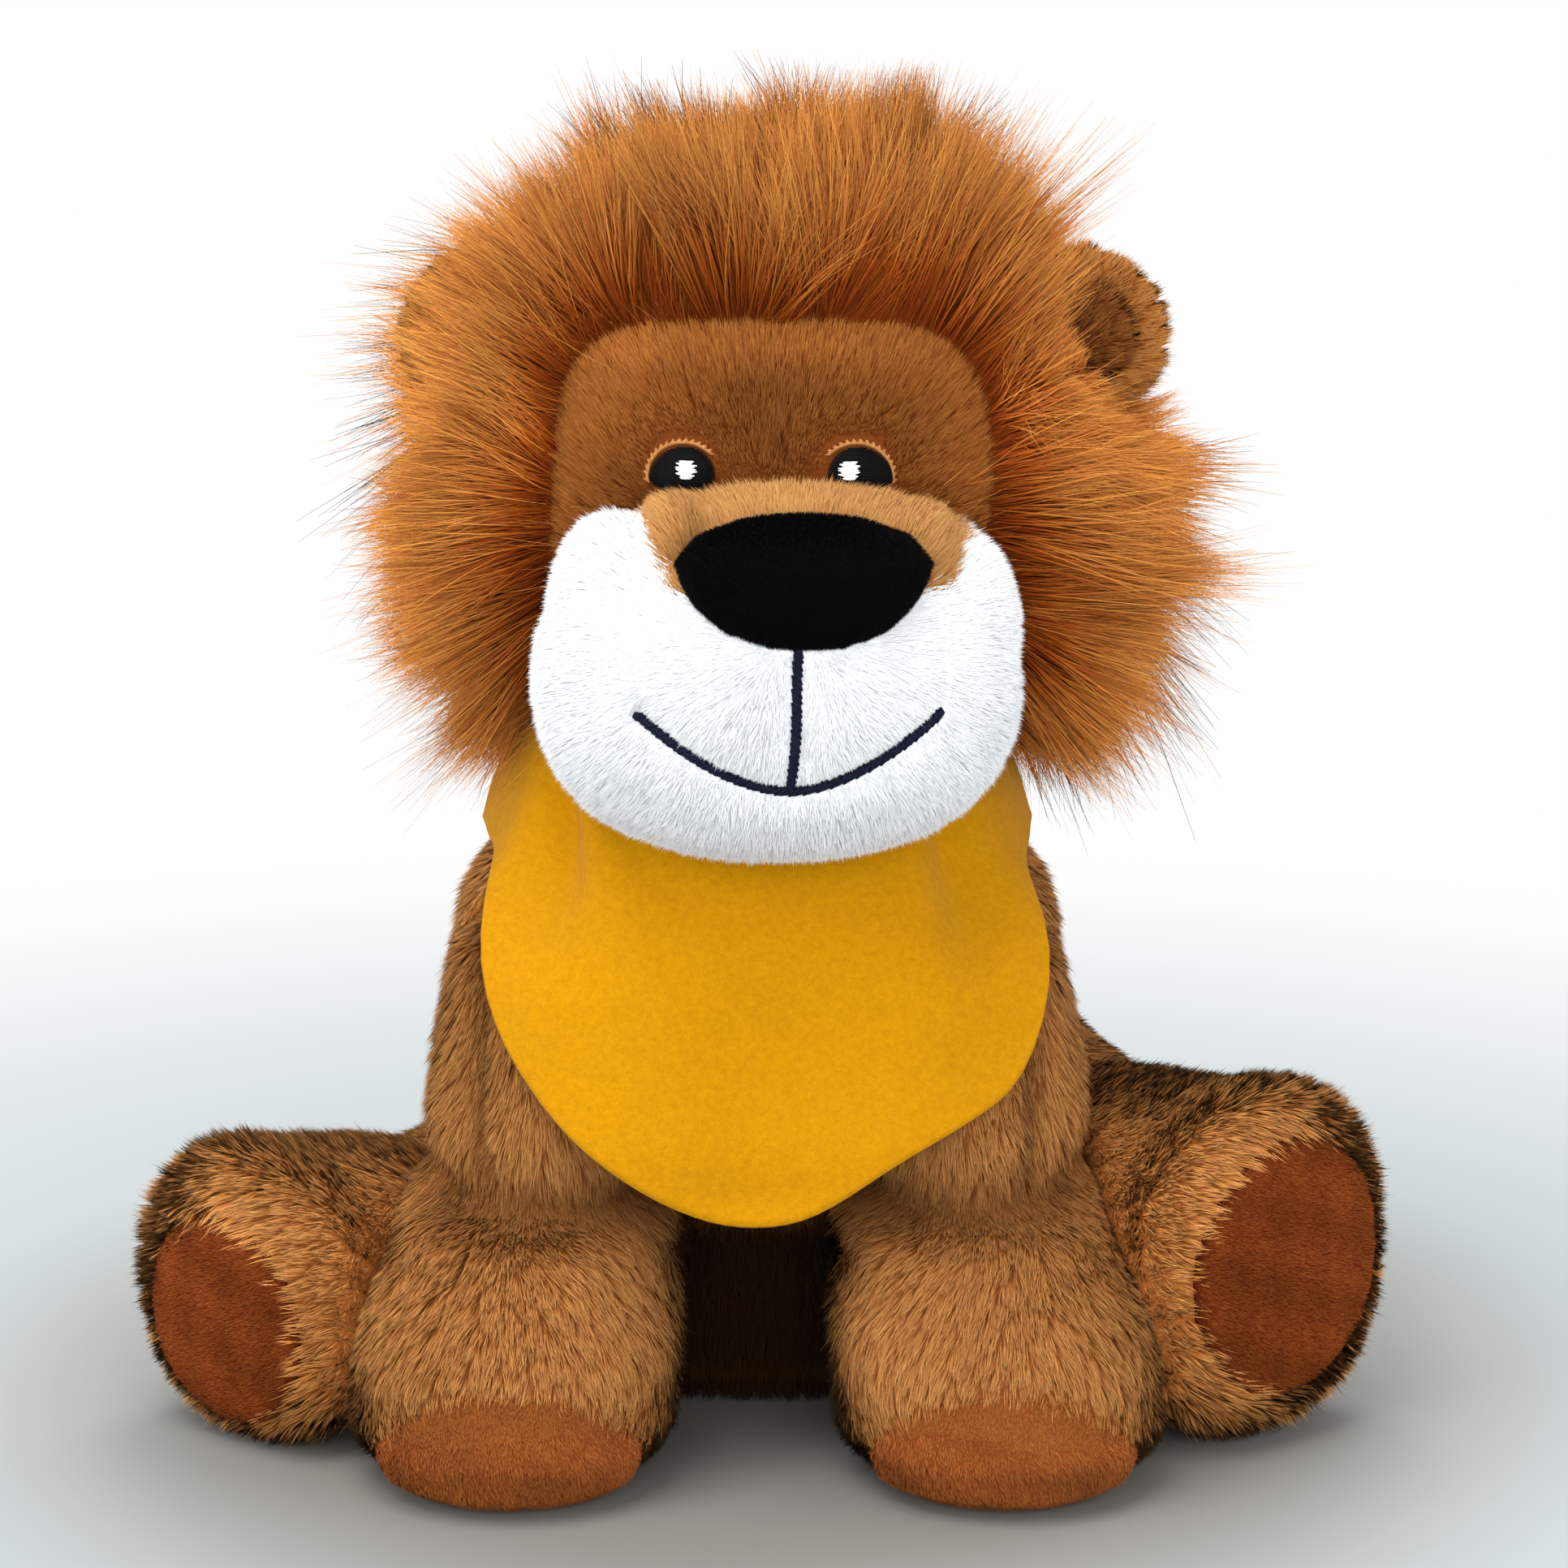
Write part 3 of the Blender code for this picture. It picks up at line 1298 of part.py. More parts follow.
def make_knot(body):
    """The knot at the nape and the two ends that hang from it."""
    knot_form = Form(
        length=KNOT_HEIGHT,
        half_width=KNOT_HALF_WIDTH,
        half_depth=KNOT_HALF_DEPTH,
        start_round=KNOT_ROUND,
        end_round=KNOT_ROUND,
        sides=SMALL_SIDES,
        cap_rings=3,
        body_rings=1,
        squareness=2.3,
    )
    local = TORSO_PLACE.inverted() @ Vector((BODY_X, TORSO_Y, KNOT_Z))
    back = TORSO.reach(local, Vector((0.0, 1.0, 0.0)), TORSO_HEIGHT)
    seat = back + COLLAR_LIFT + FELT + SEAM_GAP
    middle = Vector((BODY_X, TORSO_Y + seat + KNOT_HALF_DEPTH, KNOT_Z))
    knot = body.add(
        "neckerchief_knot",
        knot_form.mesh(),
        Matrix.Translation(middle - Vector((0.0, 0.0, KNOT_HEIGHT / 2))),
        mustard_felt(),
    )
    end_form = Form(
        length=KNOT_END_LENGTH,
        half_width=KNOT_END_HALF_WIDTH,
        half_depth=KNOT_END_HALF_THICKNESS,
        start_round=KNOT_END_ROUND,
        end_round=KNOT_END_ROUND,
        swell_shares=KNOT_END_SWELL_SHARES,
        sides=THIN_SIDES,
        cap_rings=2,
        body_rings=4,
    )
    tilt = math.radians(KNOT_END_TILT_DEGREES)
    for side in (LEFT, RIGHT):
        lean = side * math.radians(KNOT_END_LEAN_DEGREES)
        axis = Vector((math.sin(lean), math.sin(tilt), -math.cos(lean) * math.cos(tilt))).normalized()
        across = Vector((0.0, 1.0, 0.0)) - axis * axis.y
        shaped(knot, "UNION", cutter(end_form.mesh(), turned(middle, axis, across)))
    clear = cutter(TORSO.mesh(COLLAR_LIFT + FELT + SEAM_GAP), TORSO_PLACE)
    cut(knot, clear)


def make_lion():
    """Every piece, under the body that it moves with."""
    clear_scene()
    floor = below_floor()
    torso = Body("torso")
    make_torso(torso, floor)
    make_collar(torso)
    make_knot(torso)
    make_flap(Body("neckerchief_flap", (BODY_X, FLAP_HINGE_Y, FLAP_HINGE_Z), torso))
    for side in (LEFT, RIGHT):
        name = SIDE_NAMES[side]
        shoulder = (BODY_X + side * SHOULDER_X, SHOULDER_Y, SHOULDER_Z)
        make_foreleg(Body(name + "_foreleg", shoulder, torso), side, floor)
        make_hind_leg(Body(name + "_hind_leg", hip(side), torso), side, floor)
    make_tail(Body("tail", tail_root(), torso))
    neck = Body("neck", (NECK_X, NECK_Y, NECK_Z), torso)
    make_neck(neck)
    head = Body("head", (NECK_X, NECK_Y, NECK_Z), neck)
    make_head(head)
    make_snout(head)
    make_eyes(head)
    make_mouth(head)
    make_mane(head)
    for side in (LEFT, RIGHT):
        make_ear(Body(SIDE_NAMES[side] + "_ear", ear_hinge(side), head), side)


make_lion()
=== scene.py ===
"""A sitting plush lion with a felt neckerchief: short and long pile, velour nose, stitched face, felt cloth.

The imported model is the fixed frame. Every stuffed solid gets a smooth cover made from a copy of it, and pile
grows on that cover: many thin blades, laid along a nap that each part gives. Metres, +Z up, face along -Y.
"""

import logging
import math
from collections.abc import Iterable
from dataclasses import dataclass, field, replace
from enum import Enum

import bmesh
import bpy
import numpy as np
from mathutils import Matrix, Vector
from mathutils.bvhtree import BVHTree


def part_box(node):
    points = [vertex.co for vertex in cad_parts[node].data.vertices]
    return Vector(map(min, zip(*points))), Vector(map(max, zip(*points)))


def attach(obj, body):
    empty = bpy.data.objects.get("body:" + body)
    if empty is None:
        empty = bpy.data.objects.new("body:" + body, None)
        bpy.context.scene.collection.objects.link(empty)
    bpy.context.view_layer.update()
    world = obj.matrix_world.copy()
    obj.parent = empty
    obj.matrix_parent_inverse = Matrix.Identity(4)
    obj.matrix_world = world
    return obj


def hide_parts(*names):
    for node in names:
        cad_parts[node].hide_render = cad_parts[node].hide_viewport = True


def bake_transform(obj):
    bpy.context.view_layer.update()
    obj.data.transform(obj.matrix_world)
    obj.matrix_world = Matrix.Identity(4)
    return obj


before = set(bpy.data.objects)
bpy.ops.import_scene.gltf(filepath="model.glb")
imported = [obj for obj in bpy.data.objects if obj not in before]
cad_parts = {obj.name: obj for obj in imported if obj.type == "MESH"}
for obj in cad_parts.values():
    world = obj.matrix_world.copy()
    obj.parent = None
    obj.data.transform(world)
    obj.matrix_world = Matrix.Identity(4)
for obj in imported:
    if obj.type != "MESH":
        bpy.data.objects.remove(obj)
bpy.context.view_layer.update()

log = logging.getLogger("lion")

FLOOR_CLEARANCE = 0.0004
WISP_CEILING = 0.224
SMILE_X, SMILE_Z = 0.0044, 0.1178
SMILE_HALF, SMILE_RISE, SMILE_BOW = 0.024, 0.0125, 1.7
NOSE_X, NOSE_Z = 0.0065, 0.1395
NOSE_HALF, NOSE_TALL = 0.0195, 0.0205
FAR = 9.0
Colour = tuple[int, int, int]
LEGS = ("left_foreleg", "right_foreleg", "left_hind_leg", "right_hind_leg")


class Side(Enum):
    """The lion's own sides, with their sign along X."""

    LEFT = 1
    RIGHT = -1

    @property
    def word(self) -> str:
        """The side's name as the CAD nodes have it."""
        return self.name.lower()


def linear(colour: Colour) -> tuple[float, float, float, float]:
    """Turns a screen colour into the shader's linear values.

    Args:
        colour: red, green and blue, each from 0 to 255.
    Returns:
        Red, green, blue and alpha as a shader takes them.
    """
    shares = [value / 255 for value in colour]
    red, green, blue = (s / 12.92 if s <= 0.04045 else ((s + 0.055) / 1.055) ** 2.4 for s in shares)
    return (red, green, blue, 1.0)


def smooth(values: np.ndarray, low: float, high: float) -> np.ndarray:
    """Rises smoothly from 0 at low to 1 at high.

    Args:
        values: where to read the rise.
        low: the value that gives 0.
        high: the value that gives 1.
    Returns:
        The rise at each value.
    """
    share = np.clip((values - low) / (high - low), 0.0, 1.0)
    return share * share * (3 - 2 * share)


def unit(vectors: np.ndarray) -> np.ndarray:
    """Scales each row to length 1."""
    return vectors / np.maximum(np.linalg.norm(vectors, axis=1, keepdims=True), 1e-9)


def along_surface(vectors: np.ndarray, normals: np.ndarray) -> np.ndarray:
    """Lays each vector flat on the surface whose normal it is given with."""
    return unit(vectors - normals * np.sum(vectors * normals, axis=1, keepdims=True))


class Graph:
    """A node tree that is filled by short calls."""

    def __init__(self, tree: bpy.types.NodeTree) -> None:
        """Takes the tree to fill."""
        self.tree = tree

    def add(self, kind: str, values: dict | Iterable = (), **settings: object) -> bpy.types.Node:
        """Adds a node.

        Args:
            kind: the node's type.
            values: for each input, by name or number, a value or an output to link.
            settings: the node's own properties.
        Returns:
            The node.
        """
        node = self.tree.nodes.new(kind)
        for name, value in settings.items():
            setattr(node, name, value)
        for key, value in dict(values).items():
            self.feed(node.inputs[key], value)
        return node

    def attribute(self, name: str, output: str) -> bpy.types.NodeSocket:
        """Reads a mesh attribute in a shader."""
        return self.add("ShaderNodeAttribute", attribute_name=name).outputs[output]

    def feed(self, socket: bpy.types.NodeSocket, value: object) -> None:
        """Links an output to an input, or sets the input's value."""
        if isinstance(value, bpy.types.NodeSocket):
            self.tree.links.new(value, socket)
        else:
            socket.default_value = value

    def maths(self, operation: str, *values: object) -> bpy.types.NodeSocket:
        """A number worked out from others."""
        return self.add("ShaderNodeMath", enumerate(values), operation=operation).outputs[0]

    def vectors(self, operation: str, *values: object) -> bpy.types.NodeSocket:
        """A vector, or for a product or a length a number, worked out from vectors."""
        node = self.add("ShaderNodeVectorMath", enumerate(values), operation=operation)
        return node.outputs["Value" if operation in ("DOT_PRODUCT", "LENGTH") else "Vector"]

    def scaled(self, vector: object, factor: object) -> bpy.types.NodeSocket:
        """A vector times a number."""
        return self.add("ShaderNodeVectorMath", {0: vector, 3: factor}, operation="SCALE").outputs[0]

    def total(self, *vectors: object) -> bpy.types.NodeSocket:
        """The sum of vectors."""
        found = vectors[0]
        for vector in vectors[1:]:
            found = self.vectors("ADD", found, vector)
        return found

    def named(self, name: str, kind: str = "FLOAT") -> bpy.types.NodeSocket:
        """An attribute that the geometry carries."""
        return self.add("GeometryNodeInputNamedAttribute", {"Name": name}, data_type=kind).outputs["Attribute"]

    def store(self, geometry: object, name: str, value: object, kind: str, domain: str) -> bpy.types.NodeSocket:
        """Writes an attribute on the geometry.

        Args:
            geometry: the geometry so far.
            name: the attribute's name.
            value: what to write.
            kind: its data type.
            domain: where it lives.
        Returns:
            The geometry with the attribute.
        """
        values = {"Geometry": geometry, "Name": name, "Value": value}
        return self.add("GeometryNodeStoreNamedAttribute", values, data_type=kind, domain=domain).outputs[0]

    def dice(self, seed: int, low: object, high: object, kind: str = "FLOAT") -> bpy.types.NodeSocket:
        """A random number or vector for each element."""
        first, out = (0, 0) if kind == "FLOAT_VECTOR" else (2, 1)
        values = {first: low, first + 1: high, "Seed": seed}
        return self.add("FunctionNodeRandomValue", values, data_type=kind).outputs[out]


class PileTree:
    """The Geometry Nodes tree that grows pile on a cover: one bent, tapering blade for each hair."""

    FLOATS = (
        "Density",
        "Length",
        "Width",
        "Lift",
        "Lay",
        "Droop",
        "Stray",
        "Wave",
        "Clump Size",
        "Clump Share",
        "Uneven",
        "Patchy",
        "Curl",
        "Wisps",
        "Flat",
    )

    def __init__(self) -> None:
        """Builds the tree."""
        tree = bpy.data.node_groups.new("Pile", "GeometryNodeTree")
        self.tree = tree
        self.graph = Graph(tree)
        socket = tree.interface.new_socket
        self.sockets = {}
        socket(name="Cover", in_out="INPUT", socket_type="NodeSocketGeometry")
        for name in self.FLOATS:
            self.sockets[name] = socket(name=name, in_out="INPUT", socket_type="NodeSocketFloat").identifier
        for name in ("Pieces", "Seed"):
            self.sockets[name] = socket(name=name, in_out="INPUT", socket_type="NodeSocketInt").identifier
        made = socket(name="Material", in_out="INPUT", socket_type="NodeSocketMaterial")
        self.sockets["Material"] = made.identifier
        socket(name="Pile", in_out="OUTPUT", socket_type="NodeSocketGeometry")
        self.inputs = self.graph.add("NodeGroupInput").outputs
        blades = self.blades(self.roots())
        bent = self.bent(blades)
        output = self.graph.add("NodeGroupOutput")
        dressed = self.graph.add("GeometryNodeSetMaterial", {"Geometry": bent, "Material": self.inputs["Material"]})
        self.graph.feed(output.inputs[0], dressed.outputs[0])

    def roots(self) -> bpy.types.NodeSocket:
        """Scatters the hairs' roots and notes on each where it stands.

        Returns:
            The points.
        """
        g, inputs = self.graph, self.inputs
        density = g.maths("MULTIPLY", inputs["Density"], g.named("pile_density"))
        values = {"Mesh": inputs["Cover"], "Density": density, "Seed": inputs["Seed"]}
        points = g.add("GeometryNodeDistributePointsOnFaces", values, distribute_method="RANDOM").outputs["Points"]
        place = g.add("GeometryNodeInputPosition").outputs[0]
        points = g.store(points, "root", place, "FLOAT_VECTOR", "POINT")
        points = g.store(points, "hair", g.add("GeometryNodeInputIndex").outputs[0], "INT", "POINT")
        points = g.store(points, "chance", g.dice(3, 0.0, 1.0), "FLOAT", "POINT")
        points = g.store(points, "reach", g.dice(5, 0.0, 1.0), "FLOAT", "POINT")
        corner = (-1.0, -1.0, -1.0), (1.0, 1.0, 1.0)
        points = g.store(points, "stray", g.dice(7, *corner, "FLOAT_VECTOR"), "FLOAT_VECTOR", "POINT")
        points = g.store(points, "wave", g.dice(9, *corner, "FLOAT_VECTOR"), "FLOAT_VECTOR", "POINT")
        return g.store(points, "facing", g.dice(11, *corner, "FLOAT_VECTOR"), "FLOAT_VECTOR", "POINT")

    def blades(self, points: bpy.types.NodeSocket) -> bpy.types.NodeSocket:
        """Sets a flat strip on every root and gives it its own cell of the picture that a bake fills.

        Args:
            points: the roots.
        Returns:
            The strips, made real.
        """
        g = self.graph
        short = g.maths("LESS_THAN", self.inputs["Pieces"], 0.5)
        forms = {0: short, 1: self.strip(), 2: self.spike()}
        shape = g.add("GeometryNodeSwitch", forms, input_type="GEOMETRY").outputs[0]
        count = g.add("GeometryNodeAttributeDomainSize", {0: points}, component="POINTCLOUD").outputs["Point Count"]
        columns = g.maths("CEIL", g.maths("SQRT", count))
        placed = g.add("GeometryNodeInstanceOnPoints", {"Points": points, "Instance": shape}).outputs[0]
        real = g.add("GeometryNodeRealizeInstances", {0: placed}).outputs[0]
        hair = g.named("hair", "INT")
        column = g.maths("MODULO", hair, columns)
        row = g.maths("FLOOR", g.maths("DIVIDE", g.maths("ADD", hair, 0.5), columns))
        u = g.maths("ADD", column, g.maths("MULTIPLY_ADD", g.named("across"), 0.8, 0.5))
        v = g.maths("ADD", row, g.maths("MULTIPLY_ADD", g.named("along"), 0.8, 0.1))
        cell = g.add("ShaderNodeCombineXYZ", {0: g.maths("DIVIDE", u, columns), 1: g.maths("DIVIDE", v, columns)})
        return g.store(real, "OFBake", cell.outputs[0], "FLOAT2", "CORNER")

    def strip(self) -> bpy.types.NodeSocket:
        """A long hair's shape: a flat strip of quads.

        Returns:
            The shape, with where each point is along and across it.
        """
        g = self.graph
        rows = g.maths("ADD", self.inputs["Pieces"], 1.0)
        grid = g.add("GeometryNodeMeshGrid", {"Size X": 1.0, "Size Y": 1.0, "Vertices X": 2, "Vertices Y": rows})
        parts = g.add("ShaderNodeSeparateXYZ", {0: g.add("GeometryNodeInputPosition").outputs[0]}).outputs
        shape = g.store(grid.outputs[0], "across", parts[0], "FLOAT", "POINT")
        return g.store(shape, "along", g.maths("ADD", parts[1], 0.5), "FLOAT", "POINT")

    def spike(self) -> bpy.types.NodeSocket:
        """A short hair's shape: one triangle, two corners at its root and one at its tip.

        Returns:
            The shape, with where each point is along and across it.
        """
        g = self.graph
        corners = g.add("GeometryNodeMeshCircle", {"Vertices": 3, "Radius": 1.0}, fill_type="NGON")
        index = g.add("GeometryNodeInputIndex").outputs[0]
        tip = g.maths("GREATER_THAN", index, 1.5)
        across = g.maths("MULTIPLY", g.maths("SUBTRACT", index, 0.5), g.maths("SUBTRACT", 1.0, tip))
        shape = g.store(corners.outputs[0], "across", across, "FLOAT", "POINT")
        return g.store(shape, "along", tip, "FLOAT", "POINT")

    def pulled(self, root: object, normal: object, size: object) -> bpy.types.NodeSocket:
        """How far each hair's tip is drawn towards the middle of its tuft.

        Args:
            root: where the hair stands.
            normal: the cover's normal there.
            size: how wide a tuft is.
        Returns:
            The way to the tuft's middle, along the cover.
        """
        g = self.graph
        spaced = g.scaled(root, g.maths("DIVIDE", 1.0, size))
        cells = g.add("ShaderNodeTexVoronoi", {"Vector": spaced, "Scale": 1.0}).outputs["Position"]
        way = g.vectors("SUBTRACT", g.scaled(cells, size), root)
        return g.vectors("SUBTRACT", way, g.scaled(normal, g.vectors("DOT_PRODUCT", way, normal)))

    def drift(self, root: object, scale: float) -> bpy.types.NodeSocket:
        """A vector that neighbouring hairs share and that changes slowly over the cover."""
        noise = self.graph.add("ShaderNodeTexNoise", {"Vector": root, "Scale": scale, "Detail": 1.0}).outputs["Color"]
        return self.graph.vectors("SUBTRACT", noise, (0.5, 0.5, 0.5))

    def bent(self, blades: bpy.types.NodeSocket) -> bpy.types.NodeSocket:
        """Bends every strip along its hair's path.

        Args:
            blades: the strips.
        Returns:
            The bent strips.
        """
        g, inputs = self.graph, self.inputs
        along, across = g.named("along"), g.named("across")
        root, normal = g.named("root", "FLOAT_VECTOR"), g.named("stand", "FLOAT_VECTOR")
        flow = g.named("nap", "FLOAT_VECTOR")
        broad = g.scaled(self.drift(root, 42.0), inputs["Uneven"])
        fine = g.scaled(self.drift(root, 170.0), g.maths("MULTIPLY", inputs["Uneven"], 0.45))
        flow = g.total(flow, broad, fine)
        reach = g.named("reach")
        tufts = g.add("ShaderNodeTexNoise", {"Vector": root, "Scale": 120.0, "Detail": 1.0}).outputs[0]
        tufts = g.maths("MULTIPLY", g.maths("SUBTRACT", tufts, 0.5), inputs["Patchy"])
        shorter = g.maths("ADD", g.maths("MULTIPLY_ADD", reach, 0.35, 0.65), tufts)
        longer = g.maths("MULTIPLY", g.maths("POWER", g.named("chance"), 9.0), inputs["Wisps"])
        size = g.maths("MULTIPLY", g.maths("ADD", shorter, longer), inputs["Length"])
        size = g.maths("MULTIPLY", size, g.named("pile_length"))
        square = g.maths("MULTIPLY", along, along)
        laid = g.maths("MULTIPLY", inputs["Lay"], g.maths("MULTIPLY_ADD", square, 0.4, g.maths("MULTIPLY", along, 0.6)))
        risen = g.maths("MULTIPLY", inputs["Lift"], g.maths("MULTIPLY_ADD", square, -0.35, along))
        down = g.maths("MULTIPLY", square, g.maths("MULTIPLY", inputs["Droop"], -1.0))
        hang = g.add("ShaderNodeCombineXYZ", {2: down}).outputs[0]
        hump = g.maths("MULTIPLY", along, g.maths("SUBTRACT", 1.0, along))
        stray = g.scaled(g.named("stray", "FLOAT_VECTOR"), g.maths("MULTIPLY", square, inputs["Stray"]))
        wave = g.scaled(g.named("wave", "FLOAT_VECTOR"), g.maths("MULTIPLY", hump, inputs["Wave"]))
        curl = g.scaled(self.drift(root, 85.0), g.maths("MULTIPLY", square, inputs["Curl"]))
        path = g.scaled(g.total(g.scaled(flow, laid), g.scaled(normal, risen), hang, stray, wave, curl), size)
        gather = g.maths("MULTIPLY", g.maths("POWER", along, 1.3), inputs["Clump Share"])
        gathered = g.scaled(self.pulled(root, normal, inputs["Clump Size"]), gather)
        heading = g.total(flow, g.scaled(normal, 0.6))
        faced = g.total(g.named("facing", "FLOAT_VECTOR"), g.scaled(normal, inputs["Flat"]))
        sideways = g.vectors("NORMALIZE", g.vectors("CROSS_PRODUCT", heading, faced))
        taper = g.maths("SUBTRACT", 1.0, g.maths("MULTIPLY", g.maths("POWER", along, 1.7), 0.86))
        width = g.maths("MULTIPLY", g.maths("MULTIPLY", across, inputs["Width"]), taper)
        place = g.total(root, path, gathered, g.scaled(sideways, width))
        place = g.vectors("MAXIMUM", place, (-1.0, -1.0, FLOOR_CLEARANCE))
        lower = g.vectors("MULTIPLY_ADD", place, (1.0, 1.0, 0.45), (0.0, 0.0, 0.55 * WISP_CEILING))
        place = g.vectors("MINIMUM", place, lower)
        return g.add("GeometryNodeSetPosition", {"Geometry": blades, "Position": place}).outputs[0]


class ThreadTree:
    """The Geometry Nodes tree that lays a round thread along every line of a mesh, thinner at its ends."""

    def __init__(self) -> None:
        """Builds the tree."""
        tree = bpy.data.node_groups.new("Threads", "GeometryNodeTree")
        self.tree = tree
        g = Graph(tree)
        socket = tree.interface.new_socket
        socket(name="Lines", in_out="INPUT", socket_type="NodeSocketGeometry")
        self.sockets = {
            "Radius": socket(name="Radius", in_out="INPUT", socket_type="NodeSocketFloat").identifier,
            "Material": socket(name="Material", in_out="INPUT", socket_type="NodeSocketMaterial").identifier,
        }
        socket(name="Threads", in_out="OUTPUT", socket_type="NodeSocketGeometry")
        given = g.add("NodeGroupInput").outputs
        curves = g.add("GeometryNodeMeshToCurve", {"Mesh": given["Lines"]}).outputs[0]
        share = g.add("GeometryNodeSplineParameter").outputs["Factor"]
        ends = g.maths("MULTIPLY", g.maths("MULTIPLY", share, g.maths("SUBTRACT", 1.0, share)), 5.0)
        scale = g.maths("MINIMUM", 1.0, g.maths("ADD", ends, 0.45))
        circle = g.add("GeometryNodeCurvePrimitiveCircle", {"Resolution": 6, "Radius": given["Radius"]}).outputs[0]
        values = {"Curve": curves, "Profile Curve": circle, "Scale": scale, "Fill Caps": True}
        threads = g.add("GeometryNodeCurveToMesh", values).outputs[0]
        real = g.add("GeometryNodeRealizeInstances", {0: threads}).outputs[0]
        dressed = g.add("GeometryNodeSetMaterial", {"Geometry": real, "Material": given["Material"]}).outputs[0]
        g.feed(g.add("NodeGroupOutput").inputs[0], dressed)


@dataclass(frozen=True)
class Pile:
    """One kind of pile: its colours, how its hairs stand and how they gather."""

    name: str
    slot: str
    # root, mid and tip: the colours along a hair; the darker root is partly painted shade deep in the pile and the
    # lighter tip partly painted light through the hair, most in the mane.
    root: Colour
    mid: Colour
    tip: Colour
    length: float
    width: float = 0.00027
    per_mm2: float = 5.6
    pieces: int = 0
    lift: float = 0.72
    lay: float = 0.66
    droop: float = 0.0
    stray: float = 0.16
    wave: float = 0.12
    clump_size: float = 0.0032
    clump_share: float = 0.35
    uneven: float = 0.8
    patchy: float = 0.25
    curl: float = 0.0
    wisps: float = 0.25
    flat: float = 1.4
    spread: float = 0.30
    softness: float = 0.80
    roughness: float = 0.85
    sheen: float = 0.0

    def inputs(self) -> dict[str, float]:
        """The tree's inputs for this pile.

        Returns:
            Each input's label and value.
        """
        return {
            "Density": self.per_mm2 * 1e6,
            "Length": self.length,
            "Width": self.width,
            "Lift": self.lift,
            "Lay": self.lay,
            "Droop": self.droop,
            "Stray": self.stray,
            "Wave": self.wave,
            "Clump Size": self.clump_size,
            "Clump Share": self.clump_share,
            "Uneven": self.uneven,
            "Patchy": self.patchy,
            "Curl": self.curl,
            "Wisps": self.wisps,
            "Flat": self.flat,
            "Pieces": self.pieces,
        }


@dataclass(frozen=True)
class Thread:
    """A sewing thread: its slot and its two shades."""

    slot: str
    dark: Colour
    light: Colour


BLACK_THREAD = Thread("black_thread", (2, 2, 3), (9, 9, 11))
NAVY_THREAD = Thread("navy_thread", (6, 9, 20), (22, 28, 48))
WHITE_THREAD = Thread("white_thread", (216, 219, 224), (252, 252, 254))
TAN_THREAD = Thread("tan_thread", (136, 84, 42), (184, 128, 76))

BROWN = Pile(
    "brown pile",
    "brown_short_pile",
    (136, 80, 36),
    (155, 96, 46),
    (188, 133, 79),
    0.0054,
    width=0.00026,
    per_mm2=12.0,
    lift=0.58,
    lay=0.78,
    stray=0.12,
    spread=0.16,
    softness=0.9,
    sheen=0.35,
)
FACE = Pile(
    "face pile",
    "face_short_pile",
    (86, 40, 10),
    (124, 66, 23),
    (162, 100, 47),
    0.0046,
    width=0.00021,
    per_mm2=18.0,
    clump_share=0.2,
    stray=0.12,
    spread=0.16,
    softness=0.88,
    sheen=0.25,
)
BRIDGE = Pile(
    "bridge pile",
    "tan_short_pile",
    (154, 99, 47),
    (171, 117, 62),
    (194, 144, 90),
    0.0038,
    width=0.00020,
    per_mm2=22.0,
    clump_share=0.15,
    spread=0.12,
    softness=0.92,
    sheen=0.2,
)
WHITE = Pile(
    "white pile",
    "white_short_pile",
    (232, 236, 239),
    (239, 242, 245),
    (246, 248, 250),
    0.0034,
    width=0.00020,
    per_mm2=16.0,
    lift=0.66,
    clump_share=0.2,
    spread=0.02,
    softness=0.95,
    sheen=0.3,
)
EAR = Pile(
    "ear pile",
    "brown_short_pile",
    (124, 62, 20),
    (166, 98, 40),
    (204, 142, 82),
    0.0036,
    per_mm2=16.0,
    spread=0.16,
    softness=0.9,
    sheen=0.35,
)
HOLLOW = Pile(
    "ear lining pile",
    "ear_lining_pile",
    (76, 36, 12),
    (118, 64, 26),
    (156, 96, 48),
    0.0036,
    per_mm2=14.0,
    spread=0.16,
)
PAD = Pile(
    "pad nap",
    "rust_pad_cloth",
    (114, 55, 22),
    (140, 74, 32),
    (166, 97, 50),
    0.0013,
    width=0.00018,
    per_mm2=24.0,
    clump_share=0.1,
    uneven=1.1,
    spread=0.2,
)
SOLE = Pile(
    "sole nap",
    "dark_rust_sole_cloth",
    (84, 33, 9),
    (111, 48, 16),
    (138, 71, 31),
    0.0013,
    width=0.00018,
    per_mm2=24.0,
    clump_share=0.1,
    uneven=1.1,
    spread=0.2,
)
VELOUR = Pile(
    "nose velour nap",
    "black_velour",
    (1, 1, 2),
    (2, 2, 3),
    (7, 7, 8),
    0.0010,
    width=0.00016,
    per_mm2=30.0,
    lift=0.8,
    lay=0.4,
    clump_share=0.0,
    spread=0.2,
)
TUFT = Pile(
    "tuft pile",
    "rust_long_pile",
    (104, 40, 4),
    (152, 72, 15),
    (212, 138, 66),
    0.0125,
    width=0.00024,
    per_mm2=5.0,
    pieces=4,
    lay=0.95,
    lift=0.35,
    clump_size=0.005,
    clump_share=0.55,
    curl=0.5,
)
MANE = Pile(
    "mane pile",
    "rust_long_pile",
    (104, 40, 4),
    (152, 70, 13),
    (216, 142, 70),
    0.037,
    width=0.00024,
    per_mm2=3.0,
    pieces=5,
    lift=0.10,
    lay=1.0,
    stray=0.15,
    wave=0.14,
    clump_size=0.0070,
    clump_share=0.42,
    uneven=1.8,
    patchy=0.60,
    curl=0.9,
    flat=0.3,
    wisps=0.15,
    spread=0.26,
    softness=0.68,
    roughness=0.7,
    sheen=0.1,
)


